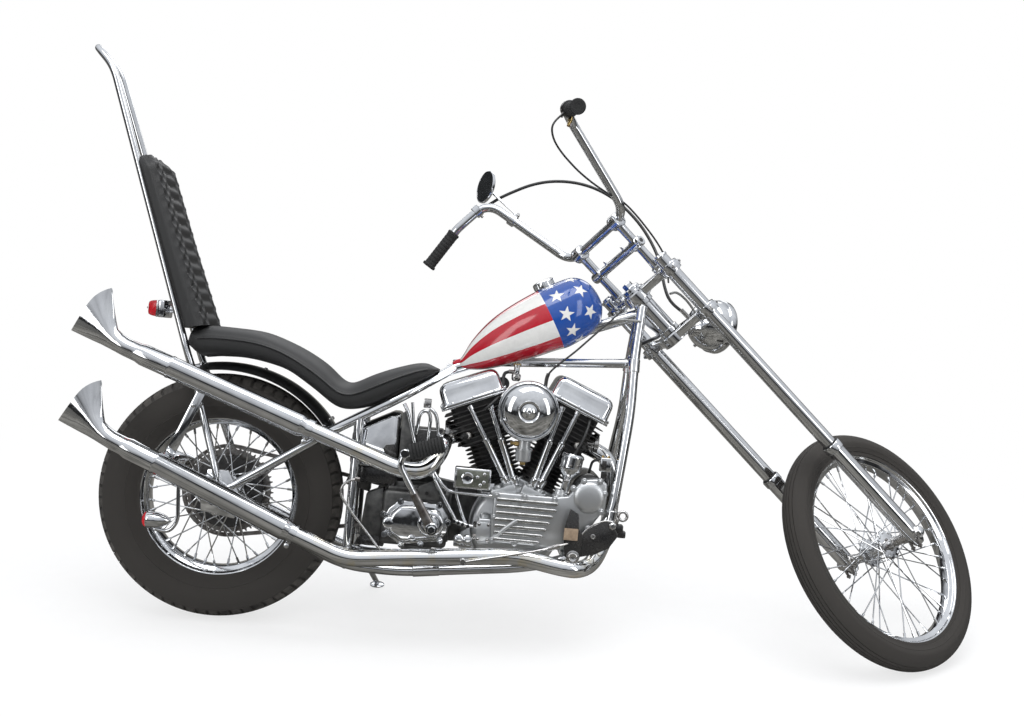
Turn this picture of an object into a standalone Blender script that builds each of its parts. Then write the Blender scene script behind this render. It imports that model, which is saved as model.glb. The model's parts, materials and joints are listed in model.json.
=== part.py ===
"""Chopper motorcycle with a long raked fork, a high backrest and twin upswept exhausts.

Metres, +Z up. The machine is modelled upright with X forward, Y to its left, Z up and the rear
wheel's contact point at the origin. It is then leaned over onto its side stand, with its steering
turned onto the left stop.
"""

import math

import bmesh
import bpy
from mathutils import Matrix, Vector

# Driving sizes, in metres and degrees.
REAR_REACH = 0.362       # rear axle to the seat posts
RAIL_LENGTH = 0.638      # seat posts to the front end of the flat lower rails
CHASSIS = REAR_REACH + RAIL_LENGTH
# The head tube's lower end. The wheelbase, 1.833 m, follows from it, the rake and the fork's length.
HEAD_SHARES = (1.1814928, 0.0, 0.88235418)
RAKE = 47.9              # steering axis from the vertical
STEER_TURN = 42.5        # each way from straight ahead, and the way it stands
LEAN = 11.0              # towards the side stand
GAP = 0.0003             # between pieces that touch
RUNNING_GAP = 0.005      # between pieces that move past each other

# Wheels.
REAR_TYRE_RADIUS = 0.330
REAR_TYRE_HALF_WIDTH = 0.065
REAR_TYRE_HEIGHT = 0.111
REAR_RIM_RADIUS = REAR_TYRE_RADIUS - REAR_TYRE_HEIGHT
REAR_RIM_HALF_WIDTH = 0.046
FRONT_TYRE_RADIUS = 0.343
FRONT_TYRE_HALF_WIDTH = 0.040
FRONT_TYRE_HEIGHT = 0.063
FRONT_RIM_RADIUS = FRONT_TYRE_RADIUS - FRONT_TYRE_HEIGHT
FRONT_RIM_HALF_WIDTH = 0.028
RIM_WALL = 0.004
RIM_WELL_DEPTH = 0.020
SPOKE_RADIUS = 0.0022
SPOKES_A_SIDE = 20
AXLE_RADIUS = 0.009
REAR_HUB_RADIUS = 0.036
REAR_FLANGE_RADIUS = 0.050
REAR_HUB_HALF_WIDTH = 0.058
FRONT_HUB_RADIUS = 0.022
FRONT_FLANGE_RADIUS = 0.040
FRONT_HUB_HALF_WIDTH = 0.040
FLANGE_THICKNESS = 0.006
DRUM_RADIUS = 0.100
DRUM_THICKNESS = 0.022
SPROCKET_RADIUS = 0.125
SPROCKET_THICKNESS = 0.005
CHAIN_Y = 0.088
CHAIN_HALF_WIDTH = 0.007
CHAIN_HEIGHT = 0.012
GEARBOX_SPROCKET_RADIUS = 0.042

# Frame.
FRAME_TUBE = 0.014
STAY_TUBE = 0.0125
RAIL_Y = 0.120
HEAD_TUBE_RADIUS = 0.030
HEAD_TUBE_BOTTOM = 0.845   # along the steering axis, from its foot
HEAD_TUBE_LENGTH = 0.120
HEAD_TUBE_TOP = HEAD_TUBE_BOTTOM + HEAD_TUBE_LENGTH

# Steering, along the steering axis from its foot, and forward of it.
FORK_OFFSET = 0.0366
FORK_HALF_SPACING = 0.121
FORK_TUBE = 0.0195
FORK_SLIDER = 0.0235
FORK_RISE = 0.065         # fork tubes above the head tube
FORK_TOP = HEAD_TUBE_TOP + FORK_RISE
SLIDER_TOP = 0.335
SLIDER_BOTTOM = -0.032
TREE_THICKNESS = 0.030
HANDLEBAR_TUBE = 0.0125
GRIP_RADIUS = 0.0175
LAMP_RADIUS = 0.072

TYRE_ROUND = 115         # degrees round the tyre's section on each side of its crown
TYRE_STEPS = 3
WHEEL_SIDES = 32
HUB_SIDES = 10
BEND_STEPS = 2
BEND_REACH_SHARE = 0.49   # of a straight piece, at most
MITRE_LEAST_SHARE = 0.5
FOLD_LEAST_SHARE = 1e-6
TURNED_SIDES = 14
BEAD_DEPTH = 0.010
BEAD_REVEAL = 0.002
BORE_CLEARANCE = 0.0005
SIDE_PLAY = 0.001
WELL_FLOOR_SHARE = 0.35
HUB_CAP_SHARE = 0.80
DRUM_NECK_SHARE = 0.60
SPOKE_SIDES = 3
SPOKE_PAIR_SHARE = 0.55
SPOKE_PHASE_SHARE = 0.25
SPOKE_LACE = 62          # degrees between a spoke's hub hole and its rim hole
NUT_RADIUS = 0.014
NUT_THICKNESS = 0.011
SPACER_RADIUS = 0.016

BACKBONE_TUBE = 0.016
CROSS_TUBE = 0.0105
FRAME_BEND = 0.045
GUSSET_HALF_THICKNESS = 0.006
CUT_OVERRUN = 0.004
SHARP_ANGLE = 35
FENDER_RADIUS = 0.362
FENDER_HALF_WIDTH = 0.062
FENDER_START = 36        # degrees up from straight ahead, about the rear axle
FENDER_END = 110
FENDER_STEPS = 12
FENDER_DROP = 0.022
FENDER_WALL = 0.003
FENDER_UNDER_SHARE = 0.95
FENDER_CROWN_SHARES = (
    # across, drop from the crown
    (-1.0, 1.0), (-0.88, 0.45), (-0.5, 0.10), (0.0, 0.0), (0.5, 0.10), (0.88, 0.45), (1.0, 1.0),
)
FENDER_MOUNT_HALF_SHARE = 0.0985
PITCH_SEARCH = 5

TANK_SIDES = 20
TUNNEL_CLEARANCE = 0.003
TUNNEL_HALF_WIDTH = 0.0161
TUNNEL_DEPTH = 0.300
FILLER_CAP_SHARES = (0.8255, 0.0, 0.9749)
FILLER_TILT = 29
CAP_NECK_RADIUS = 0.024
CAP_NECK_HEIGHT = 0.012
CAP_RADIUS = 0.031
CAP_HEIGHT = 0.030
CAP_TOP_SHARE = 0.70
CAP_SIDE_SHARE = 0.80
SEAT_HALF_WIDTH = 0.125
BACKREST_HALF_WIDTH = 0.115
SISSY_TUBE = 0.0095
SISSY_RUNG = 0.006
SISSY_BEND = 0.030
SISSY_RUNG_SHARES = (
    # x, half length, z
    (-0.1526, 0.064, 0.818), (-0.2600, 0.046, 1.110),
)
TAIL_LAMP_SHARES = ((-0.237, -0.045, 0.795), (-0.188, 0.045, 0.842))
TAIL_LAMP_NECK_SHARES = ((-0.190, -0.020, 0.808), (-0.1590, 0.020, 0.828))

CRANK_SHARES = (0.800, 0.0, 0.316)
CASE_RADIUS = 0.120
CASE_HALF_WIDTH = 0.070
CASE_DECK = 0.130
DECK_RADIUS = 0.062
LUG_HALF_WIDTH = 0.040
TIMING_JOINT_Y = 0.100
TIMING_FACE_Y = 0.150
TAPPET_Y = (0.0705, 0.118)
CYLINDER_LEAN = 22.5
BARREL_TOP = 0.250
BARREL_FINS = 8
BARREL_FIN_RADIUS = 0.066
BARREL_RADIUS = 0.054
BARREL_SIDES = 14
HEAD_DECK = 0.340
HEAD_FINS = 5
HEAD_LID = 0.020
HEAD_TOP = HEAD_DECK + HEAD_LID
HEAD_HALF_LENGTH = 0.092
HEAD_HALF_WIDTH = 0.092
HEAD_CORNER = 0.020
COVER_FLANGE = 0.012
COVER_STEP = 0.008
COVER_ROUND = 0.014
COVER_HEIGHT = 0.070
COVER_TOP = HEAD_TOP + COVER_HEIGHT
PUSHROD_TUBE = 0.009

GEARBOX_SHARES = ((0.440, -0.070, 0.245), (0.620, 0.070, 0.400))
GEARBOX_FOOT_SHARES = ((0.500, -0.060, 0.2002), (0.580, 0.060, 0.250))
KICK_COVER_SHARES = (
    (0.470, 0.244), (0.600, 0.244), (0.632, 0.290), (0.632, 0.345), (0.600, 0.380), (0.490, 0.380),
    (0.452, 0.345), (0.452, 0.270),
)
KICK_COVER_Y = 0.130
KICK_PIVOT_SHARES = (0.582, -0.228, 0.321)
KICK_ARM_SHARES = ((0.486, 0.2350, 0.478), (0.497, 0.2350, 0.508), (0.595, 0.2350, 0.540))
KICK_BOSS_RADIUS = 0.016
KICK_ARM_RADIUS = 0.009
KICK_PEDAL_RADIUS = 0.022
KICK_BEND = 0.020
CLUTCH_SHARES = (0.500, 0.0, 0.330)
PRIMARY_REAR_RADIUS = 0.098
PRIMARY_FRONT_RADIUS = 0.064
PRIMARY_Y = (0.100, 0.165)
PRIMARY_BOSS_RADIUS = 0.050
SHAFT_RADIUS = 0.014
CHAIN_STEPS = 9
OIL_TANK_SHARES = (
    (0.343, 0.448), (0.472, 0.448), (0.472, 0.598), (0.446, 0.598), (0.372, 0.560), (0.343, 0.540),
)
OIL_TANK_HALF_WIDTH = 0.075
OIL_TANK_LUG_SHARES = (0.362, 0.0921, 0.500)
OIL_TANK_LUG_RADIUS = 0.008

PIPE_RADIUS = 0.022
PIPE_BEND = 0.040
PIPE_BAND = 0.030
BAND_STEP = 0.003
MUFFLER_RADIUS = 0.0285
NECK_LENGTH = 0.030
TAIL_NECK_RADIUS = 0.0235
FISHTAIL_LENGTH = 0.150
FISHTAIL_SIDES = 12
FISHTAIL_SHARES = (
    # back, rise, tip lag, half height, half thickness
    (0.15, 0.00, 0.00, 0.157, 0.157), (0.40, 0.04, 0.00, 0.175, 0.130), (0.68, 0.17, 0.03, 0.300, 0.105),
    (1.03, 0.35, 0.08, 0.470, 0.085), (0.90, 0.29, 0.06, 0.360, 0.050), (0.70, 0.19, 0.03, 0.220, 0.050),
)
STRIP_Y = (0.1668, 0.1720)
EXHAUST_STRIP_SHARES = ((-0.022, 0.632), (-0.044, 0.640), (-0.130, 0.428), (-0.108, 0.418))
STRIP_SPACER_SHARES = (-0.060, 0.1046, 0.577)
BRAKE_PLATE_Y = (0.1720, 0.1640)
BRAKE_PLATE_SHARES = (
    (0.930, 0.268), (0.972, 0.268), (1.045, 0.295), (1.070, 0.335), (1.050, 0.372), (0.985, 0.345),
    (0.965, 0.335), (0.960, 0.385), (0.935, 0.400), (0.925, 0.330),
)
BRAKE_PIVOT_SHARES = (1.050, 0.1330, 0.362)
BRAKE_PIVOT_RADIUS = 0.010
BRAKE_ROD_SHARES = ((0.670, 0.2080, 0.240), (0.860, 0.2080, 0.286), (0.940, 0.1680, 0.306))
BRAKE_ROD_RADIUS = 0.0035
MARKER_LENGTH = 0.075
MARKER_RADIUS = 0.0215
MARKER_PROFILE_SHARES = (
    (-0.50, 0.70), (-0.42, 0.95), (-0.20, 1.0), (0.05, 0.95), (0.28, 0.72), (0.44, 0.38), (0.50, 0.12),
)
STALK_RADIUS = 0.005
STALK_BEND = 0.015
MARKER_LAMPS = (
    # name, hand, centre shares, stalk route shares
    ("right_marker_lamp", -1, (-0.132, 0.150, 0.270),
     ((-0.020, 0.1195, 0.385), (-0.020, 0.150, 0.385), (-0.085, 0.150, 0.370), (-0.078, 0.150, 0.270),
      (-0.100, 0.150, 0.240), (-0.135, 0.150, 0.247))),
    ("left_marker_lamp", 1, (-0.145, 0.150, 0.396),
     ((-0.020, 0.1195, 0.385), (-0.020, 0.150, 0.385), (-0.085, 0.150, 0.392), (-0.140, 0.150, 0.394))),
)

COLLAR_RADIUS = 0.0265
COLLAR_HEIGHT = 0.022
SLIDER_FOOT_SHARE = 0.60
TREE_WALL = 0.009
TREE_EASE = 0.004
LAMP_PLACE = (0.155, 0.0, -0.076)      # from the head tube's lower end
LAMP_STEPS = 4
LAMP_FRONT_SHARES = ((0.10, 1.0), (0.12, 1.06), (0.42, 1.06), (0.52, 0.96), (0.60, 0.60), (0.62, 0.20))
LAMP_STUD_RADIUS = 0.011
# The handlebar, its clamps, lever and mirror are placed from the head tube's upper end.
HANDLEBAR_PLACES = (
    (0.043, 0.0, 0.207), (0.043, 0.131, 0.207), (0.038, 0.210, 0.498), (-0.045, 0.284, 0.501),
    (-0.058, 0.297, 0.498),
)
HANDLEBAR_BEND = 0.028
CLAMP_PLACE = (0.043, 0.0870, 0.207)
CLAMP_HALF_WIDTH = 0.015
CLAMP_RADIUS = 0.0215
RISER_RADIUS = 0.013
BRACE_HEIGHT_SHARE = 0.5344   # of the risers
BRACE_RADIUS = 0.011
CONTROL_LENGTH = 0.028
CONTROL_RADIUS = 0.022
GRIP_LENGTH = 0.118
GRIP_END = 0.006
GRIP_FLANGE_SHARE = 1.15
MIRROR_PLACE = (0.085, 0.215, 0.535)
MIRROR_RADIUS = 0.0485
MIRROR_THICKNESS = 0.007
MIRROR_BACK_SHARE = 0.70
MIRROR_SEGMENT = 1
MIRROR_CLAMP_SHARE = 0.70
MIRROR_CLAMP_HALF = 0.010
MIRROR_CLAMP_WALL = 0.006
MIRROR_STEM = 0.004
LEVER_SEGMENT = 2
LEVER_CLAMP_SHARE = 0.35
LEVER_STUB_PLACE = (0.029, 0.258, 0.499)
LEVER_END_PLACE = (-0.010, 0.300, 0.504)
LEVER_RADIUS = 0.0045
LEVER_STUB_RADIUS = 0.008
LEVER_BALL_RADIUS = 0.0085
BALL_STEPS = 6
CABLE_RADIUS = 0.0045
# The lever's cable, from its perch to the lower tree, along the steering axis from its foot.
CABLE_PLACES = (
    (0.0400, 0.2520, 1.4640), (0.0650, 0.2340, 1.4580), (0.0960, 0.2020, 1.4500), (0.1680, 0.1200, 1.4080),
    (0.2210, 0.0600, 1.3320), (0.2420, 0.0200, 1.2380), (0.2300, 0.0000, 1.1300), (0.1950, -0.0050, 1.0400),
    (0.1400, -0.0150, 0.9860), (0.0750, -0.0300, 0.9450), (0.0300, -0.0480, 0.9100), (0.0240, -0.0620, 0.8650),
    (0.0240, -0.0640, 0.8453),
)
CABLE_BEND = 0.030

STAND_PIVOT_SHARES = (0.385, 0.1560, 0.172)
STAND_FOOT_SHARES = (0.425, 0.268, 0.090)
STAND_FOLDED_WAY = (-1.0, 0.05, 0.12)
STAND_BRACKET_SHARES = ((0.365, 0.1120, 0.150), (0.405, 0.1386, 0.1860))
STAND_PAD = 0.006
STAND_LEG_RADIUS = 0.009
STAND_FOOT_RADIUS = 0.021
STAND_KNUCKLE_HALF = 0.011
STAND_KNUCKLE_RADIUS = 0.013

# Outlines and routes are shares of CHASSIS, each point as (x, z) or (x, y, z), on the right
# side where a piece has a mirror image on the left.
DOWN_TUBE_AND_RAIL_SHARES = (
    (1.095, 0.020, 0.945), (1.083, 0.045, 0.800), (1.081, 0.075, 0.652), (1.067, 0.105, 0.539),
    (1.050, 0.120, 0.370), (0.957, 0.120, 0.258), (0.827, 0.120, 0.224), (0.507, 0.120, 0.186),
    (0.362, 0.120, 0.190), (0.020, 0.112, 0.325),
)
UPPER_STAY_SHARES = (
    (0.020, 0.112, 0.350), (0.294, 0.108, 0.539), (0.463, 0.090, 0.640), (0.598, 0.016, 0.731),
)
SEAT_POST_SHARES = ((0.362, 0.1008, 0.582), (0.362, 0.120, 0.190))
BACKBONE_SHARES = ((1.120, 0.0, 0.936), (0.582, 0.0, 0.7237))
TOP_TUBE_SHARES = ((1.083, 0.0, 0.788), (0.800, 0.0, 0.765), (0.690, 0.0, 0.757))
CROSS_TUBE_SHARES = (
    # x, z, half length
    (0.360, 0.190, 0.120), (0.540, 0.190, 0.120), (0.670, 0.205, 0.120), (0.940, 0.2545, 0.120),
    (1.083, 0.788, 0.045),
)
GUSSET_SHARES = ((1.085, 0.935), (1.160, 0.882), (1.165, 0.872), (1.085, 0.825))
AXLE_PLATE_SHARES = (
    (-0.030, 0.300), (0.060, 0.285), (0.070, 0.350), (0.035, 0.410), (-0.020, 0.410), (-0.035, 0.360),
)
AXLE_PLATE_Y = (0.105, 0.119)

TANK_SECTION_SHARES = (
    # x, middle z, half width, half height
    (0.612, 0.746, 0.012, 0.010), (0.640, 0.770, 0.034, 0.041), (0.690, 0.805, 0.066, 0.070),
    (0.760, 0.8445, 0.092, 0.0875), (0.830, 0.8815, 0.106, 0.0955), (0.890, 0.9085, 0.104, 0.0970),
    (0.940, 0.9205, 0.086, 0.0780), (0.970, 0.9195, 0.058, 0.0490), (0.985, 0.9180, 0.030, 0.0230),
)
SEAT_SHARES = (
    (-0.124, 0.7728), (-0.060, 0.786), (0.054, 0.784), (0.158, 0.756), (0.248, 0.711), (0.317, 0.662),
    (0.380, 0.692), (0.454, 0.722), (0.522, 0.739), (0.556, 0.728), (0.560, 0.720), (0.463, 0.6555),
    (0.380, 0.6055), (0.318, 0.594), (0.227, 0.645), (0.145, 0.690), (0.028, 0.708), (-0.095, 0.700),
)
BACKREST_SHARES = (
    (-0.124, 0.7732), (-0.062, 0.7864), (-0.150, 1.000), (-0.228, 1.200), (-0.260, 1.225), (-0.286, 1.212),
)
SISSY_BAR_SHARES = (
    (0.010, 0.1289, 0.372), (0.004, 0.1315, 0.410), (-0.095, 0.0722, 0.670), (-0.110, 0.0722, 0.705),
    (-0.386, 0.030, 1.454), (-0.439, 0.012, 1.506),
)

CRANKCASE_LUG_SHARES = (
    ((0.860, 0.2648), (0.960, 0.2648), (0.960, 0.290), (0.880, 0.330)),
    ((0.655, 0.2153), (0.720, 0.2153), (0.760, 0.270), (0.690, 0.310), (0.655, 0.290)),
)
MANIFOLD_SHARES = ((0.7575, 0.0, 0.600), (0.8425, 0.0, 0.600))
MANIFOLD_RADIUS = 0.018
CARBURETTOR_SHARES = ((0.804, -0.095, 0.500), (0.804, -0.095, 0.620))
CARBURETTOR_RADIUS = 0.022
INTAKE_Y = 0.1290
TIMER_FOOT_SHARES = (0.918, -0.120, 0.4271)
TIMER_LEAN = 10
TIMER_HEIGHT = 0.112
TIMER_RADIUS = 0.030
TIMER_PROFILE_SHARES = (
    (0.0, 0.37), (0.42, 0.37), (0.46, 0.62), (0.58, 0.94), (0.62, 1.0), (0.92, 1.0), (1.0, 0.84),
)
TAP_SHARES = (0.768, -0.040, 0.7645)
TAP_HEIGHT = 0.048
TAP_RADIUS = 0.013
TAP_OUTLET = 0.022
TAP_PROFILE_SHARES = ((0.0, 0.62), (0.60, 0.62), (0.62, 1.0), (0.94, 1.0), (1.0, 0.70))
OIL_PUMP_SHARES = ((0.700, -0.098, 0.275), (0.740, -0.060, 0.358))
TIMING_COVER_SHARES = (
    (0.735, 0.285), (0.735, 0.420), (0.900, 0.420), (0.930, 0.425), (0.955, 0.460), (1.010, 0.478),
    (1.030, 0.470), (1.030, 0.400), (1.010, 0.370), (0.985, 0.330), (0.930, 0.285),
)
TAPPET_SHARES = (
    (0.748, 0.4203), (0.878, 0.4203), (0.878, 0.445), (0.826, 0.445), (0.811, 0.432), (0.800, 0.445),
    (0.748, 0.445),
)
PUSHROD_SHARES = (
    # bottom, top
    ((0.765, 0.095, 0.4400), (0.652, 0.080, 0.0)),
    ((0.787, 0.095, 0.4400), (0.705, 0.080, 0.0)),
    ((0.857, 0.095, 0.4400), (0.941, 0.080, 0.0)),
    ((0.838, 0.095, 0.4400), (0.898, 0.080, 0.0)),
)
UPPER_PIPE_SHARES = (
    (0.6310, 0.0, 0.5545), (0.586, 0.0, 0.536), (0.592, -0.130, 0.536), (0.580, -0.165, 0.500),
    (0.548, -0.185, 0.462),
    (0.490, -0.200, 0.461), (0.250, -0.200, 0.5435),
)
LOWER_PIPE_SHARES = (
    (0.9690, 0.0, 0.5545), (1.052, 0.0, 0.520), (1.062, 0.0, 0.400), (1.056, -0.025, 0.318),
    (1.018, -0.092, 0.246), (0.975, -0.160, 0.236), (0.930, -0.172, 0.240), (0.806, -0.175, 0.262),
    (0.508, -0.185, 0.234),
    (0.367, -0.200, 0.2215), (0.232, -0.200, 0.273),
)
UPPER_MUFFLER_SHARES = ((0.250, -0.200, 0.5435), (-0.215, -0.200, 0.704))
LOWER_MUFFLER_SHARES = ((0.232, -0.200, 0.273), (-0.230, -0.200, 0.4633))


# The scene starts empty.
for old in list(bpy.data.objects):
    bpy.data.objects.remove(old)


def finish(name, colour, roughness, metallic):
    """A plain material of one colour."""
    material = bpy.data.materials.new(name)
    material.use_nodes = True
    shader = material.node_tree.nodes["Principled BSDF"]
    shader.inputs["Base Color"].default_value = (*colour, 1.0)
    shader.inputs["Roughness"].default_value = roughness
    shader.inputs["Metallic"].default_value = metallic
    material.diffuse_color = (*colour, 1.0)
    return material


CHROME = finish("chrome", (0.80, 0.81, 0.82), 0.08, 1.0)
ALUMINIUM = finish("cast_aluminium", (0.62, 0.63, 0.64), 0.35, 1.0)
BLACK_IRON = finish("black_iron", (0.06, 0.06, 0.06), 0.45, 0.6)
BLACK_PAINT = finish("black_paint", (0.02, 0.02, 0.02), 0.35, 0.0)
RUBBER = finish("tyre_rubber", (0.035, 0.030, 0.027), 0.85, 0.0)
GRIP_RUBBER = finish("grip_rubber", (0.02, 0.02, 0.02), 0.70, 0.0)
LEATHER = finish("black_leather", (0.018, 0.018, 0.020), 0.45, 0.0)
TANK_PAINT = finish("tank_paint", (0.62, 0.03, 0.05), 0.15, 0.0)
RED_LENS = finish("red_lens", (0.55, 0.01, 0.02), 0.15, 0.0)
STEEL = finish("dull_steel", (0.35, 0.34, 0.33), 0.40, 1.0)

TURNED_FITTING_SHARES = (
    # name, finish, sides, centre shares, profile shares of (along, radius)
    ("air_cleaner", CHROME, 20, (0.804, -0.1300, 0.640),
     ((0.0, 0.060), (0.010, 0.078), (0.040, 0.080), (0.058, 0.070), (0.070, 0.045), (0.074, 0.012),
      (0.080, 0.011))),
    ("generator", BLACK_PAINT, 16, (0.985, 0.1000, 0.440), ((0.0, 0.046), (0.1655, 0.046))),
)
BOX_FITTING_SHARES = (
    # name, finish, boxes from low corner to high corner
    ("regulator", CHROME, (((0.625, -0.125, 0.432), (0.722, -0.085, 0.474)),
                           ((0.702, -0.100, 0.398), (0.7347, -0.086, 0.440)))),
    ("relay_box", CHROME, (((1.0085, -0.1235, 0.4955), (1.0385, -0.0975, 0.5330)),
                           ((1.0140, -0.1180, 0.4767), (1.0300, -0.1040, 0.4965)))),
)


def link(name, mesh):
    """An object for a mesh."""
    obj = bpy.data.objects.new(name, mesh)
    bpy.context.collection.objects.link(obj)
    return obj


def solid(vertices, faces):
    """A closed mesh object with its faces pointing out."""
    mesh = bpy.data.meshes.new("solid")
    mesh.from_pydata(vertices, [], faces)
    work = bmesh.new()
    work.from_mesh(mesh)
    bmesh.ops.recalc_face_normals(work, faces=work.faces)
    work.to_mesh(mesh)
    work.free()
    return link("solid", mesh)


def loft(rings, endless=False):
    """Rings of equal counts, skinned in order. An endless loft joins its last ring to its first."""
    count = len(rings[0])
    vertices = [point for ring in rings for point in ring]
    faces = []
    for step in range(len(rings) if endless else len(rings) - 1):
        first = step * count
        second = (step + 1) % len(rings) * count
        for corner in range(count):
            following = (corner + 1) % count
            faces.append((first + corner, first + following, second + following, second + corner))
    if not endless:
        faces.append(tuple(range(count)))
        faces.append(tuple(range(len(vertices) - count, len(vertices))))
    return solid(vertices, faces)


def across(axis):
    """Two unit vectors square to an axis and to each other."""
    axis = axis.normalized()
    helper = Vector((0, 1, 0)) if abs(axis.y) < abs(axis.z) + abs(axis.x) else Vector((1, 0, 0))
    first = axis.cross(helper).normalized()
    return first, axis.cross(first)


def circle(centre, axis, radius, sides):
    """Points round a circle."""
    first, second = across(axis)
    turns = [2 * math.pi * (i + 0.5) / sides for i in range(sides)]
    return [centre + first * (radius * math.cos(t)) + second * (radius * math.sin(t)) for t in turns]


def rounded(route, bend, steps=BEND_STEPS):
    """A route whose corners are eased, each with a short curve reaching bend along its two sides."""
    eased = [route[0]]
    for before, corner, after in zip(route, route[1:], route[2:]):
        reach_in = min(bend, (before - corner).length * BEND_REACH_SHARE)
        reach_out = min(bend, (after - corner).length * BEND_REACH_SHARE)
        start = corner + (before - corner).normalized() * reach_in
        end = corner + (after - corner).normalized() * reach_out
        for i in range(steps + 1):
            t = i / steps
            eased.append(start.lerp(corner, t).lerp(corner.lerp(end, t), t))
    eased.append(route[-1])
    return eased


def tube(route, radius, sides=8, bend=0.0):
    """A round bar along a route."""
    path = rounded(route, bend) if bend else route
    axis = (path[1] - path[0]).normalized()
    first, _ = across(axis)
    rings = []
    for i, point in enumerate(path):
        before = (point - path[i - 1]).normalized() if i else axis
        after = (path[i + 1] - point).normalized() if i + 1 < len(path) else before
        middle = (before + after).normalized()
        first = (first - middle * first.dot(middle)).normalized()
        second = middle.cross(first)
        # A mitred ring is stretched across the corner so that the bar keeps its width.
        stretch = 1 / max(before.dot(middle), MITRE_LEAST_SHARE)
        fold = before - after
        fold = fold.normalized() if fold.length > FOLD_LEAST_SHARE else first
        ring = []
        for k in range(sides):
            t = 2 * math.pi * (k + 0.5) / sides
            offset = first * (radius * math.cos(t)) + second * (radius * math.sin(t))
            ring.append(point + offset + fold * (offset.dot(fold) * (stretch - 1)))
        rings.append(ring)
    return loft(rings)


def turned(base, axis, profile, sides=TURNED_SIDES):
    """A solid of revolution from (along, radius) pairs, closed by flat ends."""
    axis = axis.normalized()
    return loft([circle(base + axis * along, axis, radius, sides) for along, radius in profile])


def turned_ring(base, axis, profile, sides=48):
    """A ring of revolution about an axis, from a closed outline of (along, radius) pairs."""
    axis = axis.normalized()
    first, second = across(axis)
    rings = []
    for i in range(sides):
        t = 2 * math.pi * (i + 0.5) / sides
        out = first * math.cos(t) + second * math.sin(t)
        rings.append([base + axis * along + out * radius for along, radius in profile])
    return loft(rings, endless=True)


def bar(start, end, radius, sides=10):
    """A straight round bar between two points."""
    return turned(start, end - start, ((0, radius), ((end - start).length, radius)), sides)


def clear_of(radius, sides):
    """The radius of a many-sided bore whose flats keep the gap from a bar of the given radius."""
    return (radius + GAP) / math.cos(math.pi / sides)


def prism(outline, near, far):
    """A flat outline in X and Z, with thickness across Y."""
    return loft([[Vector((x, y, z)) for x, z in outline] for y in (near, far)])


def block(low, high):
    """A box between two corners."""
    outline = ((low.x, low.z), (high.x, low.z), (high.x, high.z), (low.x, high.z))
    return prism(outline, low.y, high.y)


def changed(base, others, operation):
    """The base with other solids joined to it or cut from it, which are used up."""
    for other in others:
        modifier = base.modifiers.new(operation, "BOOLEAN")
        modifier.operation = operation
        modifier.object = other
    bpy.context.view_layer.update()
    whole = base.evaluated_get(bpy.context.evaluated_depsgraph_get())
    mesh = bpy.data.meshes.new_from_object(whole)
    base.modifiers.clear()
    base.data = mesh
    for other in others:
        bpy.data.objects.remove(other)
    return base


def joined(base, *others):
    """One solid from touching solids."""
    return changed(base, others, "UNION")


def cut(base, *tools):
    """A solid with others cut from it."""
    return changed(base, tools, "DIFFERENCE")


def gathered(parts):
    """Solids that don't touch, held in one object as a cutting or joining tool."""
    work = bmesh.new()
    for part in parts:
        work.from_mesh(part.data)
        bpy.data.objects.remove(part)
    mesh = bpy.data.meshes.new("gathered")
    work.to_mesh(mesh)
    work.free()
    return link("gathered", mesh)


def place(shares):
    """A point from its shares of the chassis length."""
    return Vector(shares) * CHASSIS


def flat(shares):
    """A flat outline from its shares of the chassis length."""
    return [(x * CHASSIS, z * CHASSIS) for x, z in shares]


def side(shares, hand):
    """A route from its shares, on the left for hand 1 and on the right for hand -1."""
    return [Vector((x, y * hand, z)) * CHASSIS for x, y, z in shares]


def hull_of_two(first, first_radius, second, second_radius, steps=10):
    """The outline of a belt round two circles in X and Z, the second one ahead of the first."""
    span = second - first
    tilt = math.atan2(span.y, span.x)
    spread = math.acos((first_radius - second_radius) / span.length)
    outline = []
    for i in range(steps + 1):
        t = tilt + spread + (2 * math.pi - 2 * spread) * i / steps
        outline.append((first.x + first_radius * math.cos(t), first.y + first_radius * math.sin(t)))
    for i in range(steps + 1):
        t = tilt - spread + 2 * spread * i / steps
        outline.append((second.x + second_radius * math.cos(t), second.y + second_radius * math.sin(t)))
    return outline


def hang(obj, name, material, carrier, origin=Vector()):
    """A finished sub-part: named, coloured, shaded and hung on its carrier's empty."""
    obj.name = name
    obj.data.name = name
    obj.data.materials.clear()
    obj.data.materials.append(material)
    obj.data.transform(Matrix.Translation(-origin))
    obj.data.shade_smooth()
    obj.data.set_sharp_from_angle(angle=math.radians(SHARP_ANGLE))
    obj.parent = carrier
    return obj


def empty(name, parent, location, turn=Matrix.Identity(4)):
    """A carrier with its own origin and axes."""
    carrier = bpy.data.objects.new(name, None)
    bpy.context.collection.objects.link(carrier)
    carrier.parent = parent
    carrier.matrix_basis = Matrix.Translation(location) @ turn
    return carrier

# The steering axis leans back from its foot, ahead of and below which the front axle sits.
UP_AXIS = Vector((-math.sin(math.radians(RAKE)), 0, math.cos(math.radians(RAKE))))
AHEAD = Vector((math.cos(math.radians(RAKE)), 0, math.sin(math.radians(RAKE))))
LEFT = Vector((0, 1, 0))
STEERING_FOOT = Vector(HEAD_SHARES) * CHASSIS - UP_AXIS * HEAD_TUBE_BOTTOM
FRONT_AXLE = STEERING_FOOT + AHEAD * FORK_OFFSET
REAR_AXLE = Vector((0, 0, REAR_TYRE_RADIUS))
STEERING_FRAME = Matrix((
    (AHEAD.x, 0, UP_AXIS.x, 0), (0, 1, 0, 0), (AHEAD.z, 0, UP_AXIS.z, 0), (0, 0, 0, 1),
))


def lowest(centre, axle, ring_radius, round_radius, turn):
    """The height of a round tyre's lowest point once it is turned."""
    centre = turn @ centre
    axle = turn.to_3x3() @ axle
    return centre.z - ring_radius * math.sqrt(1 - axle.z ** 2) - round_radius


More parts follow.
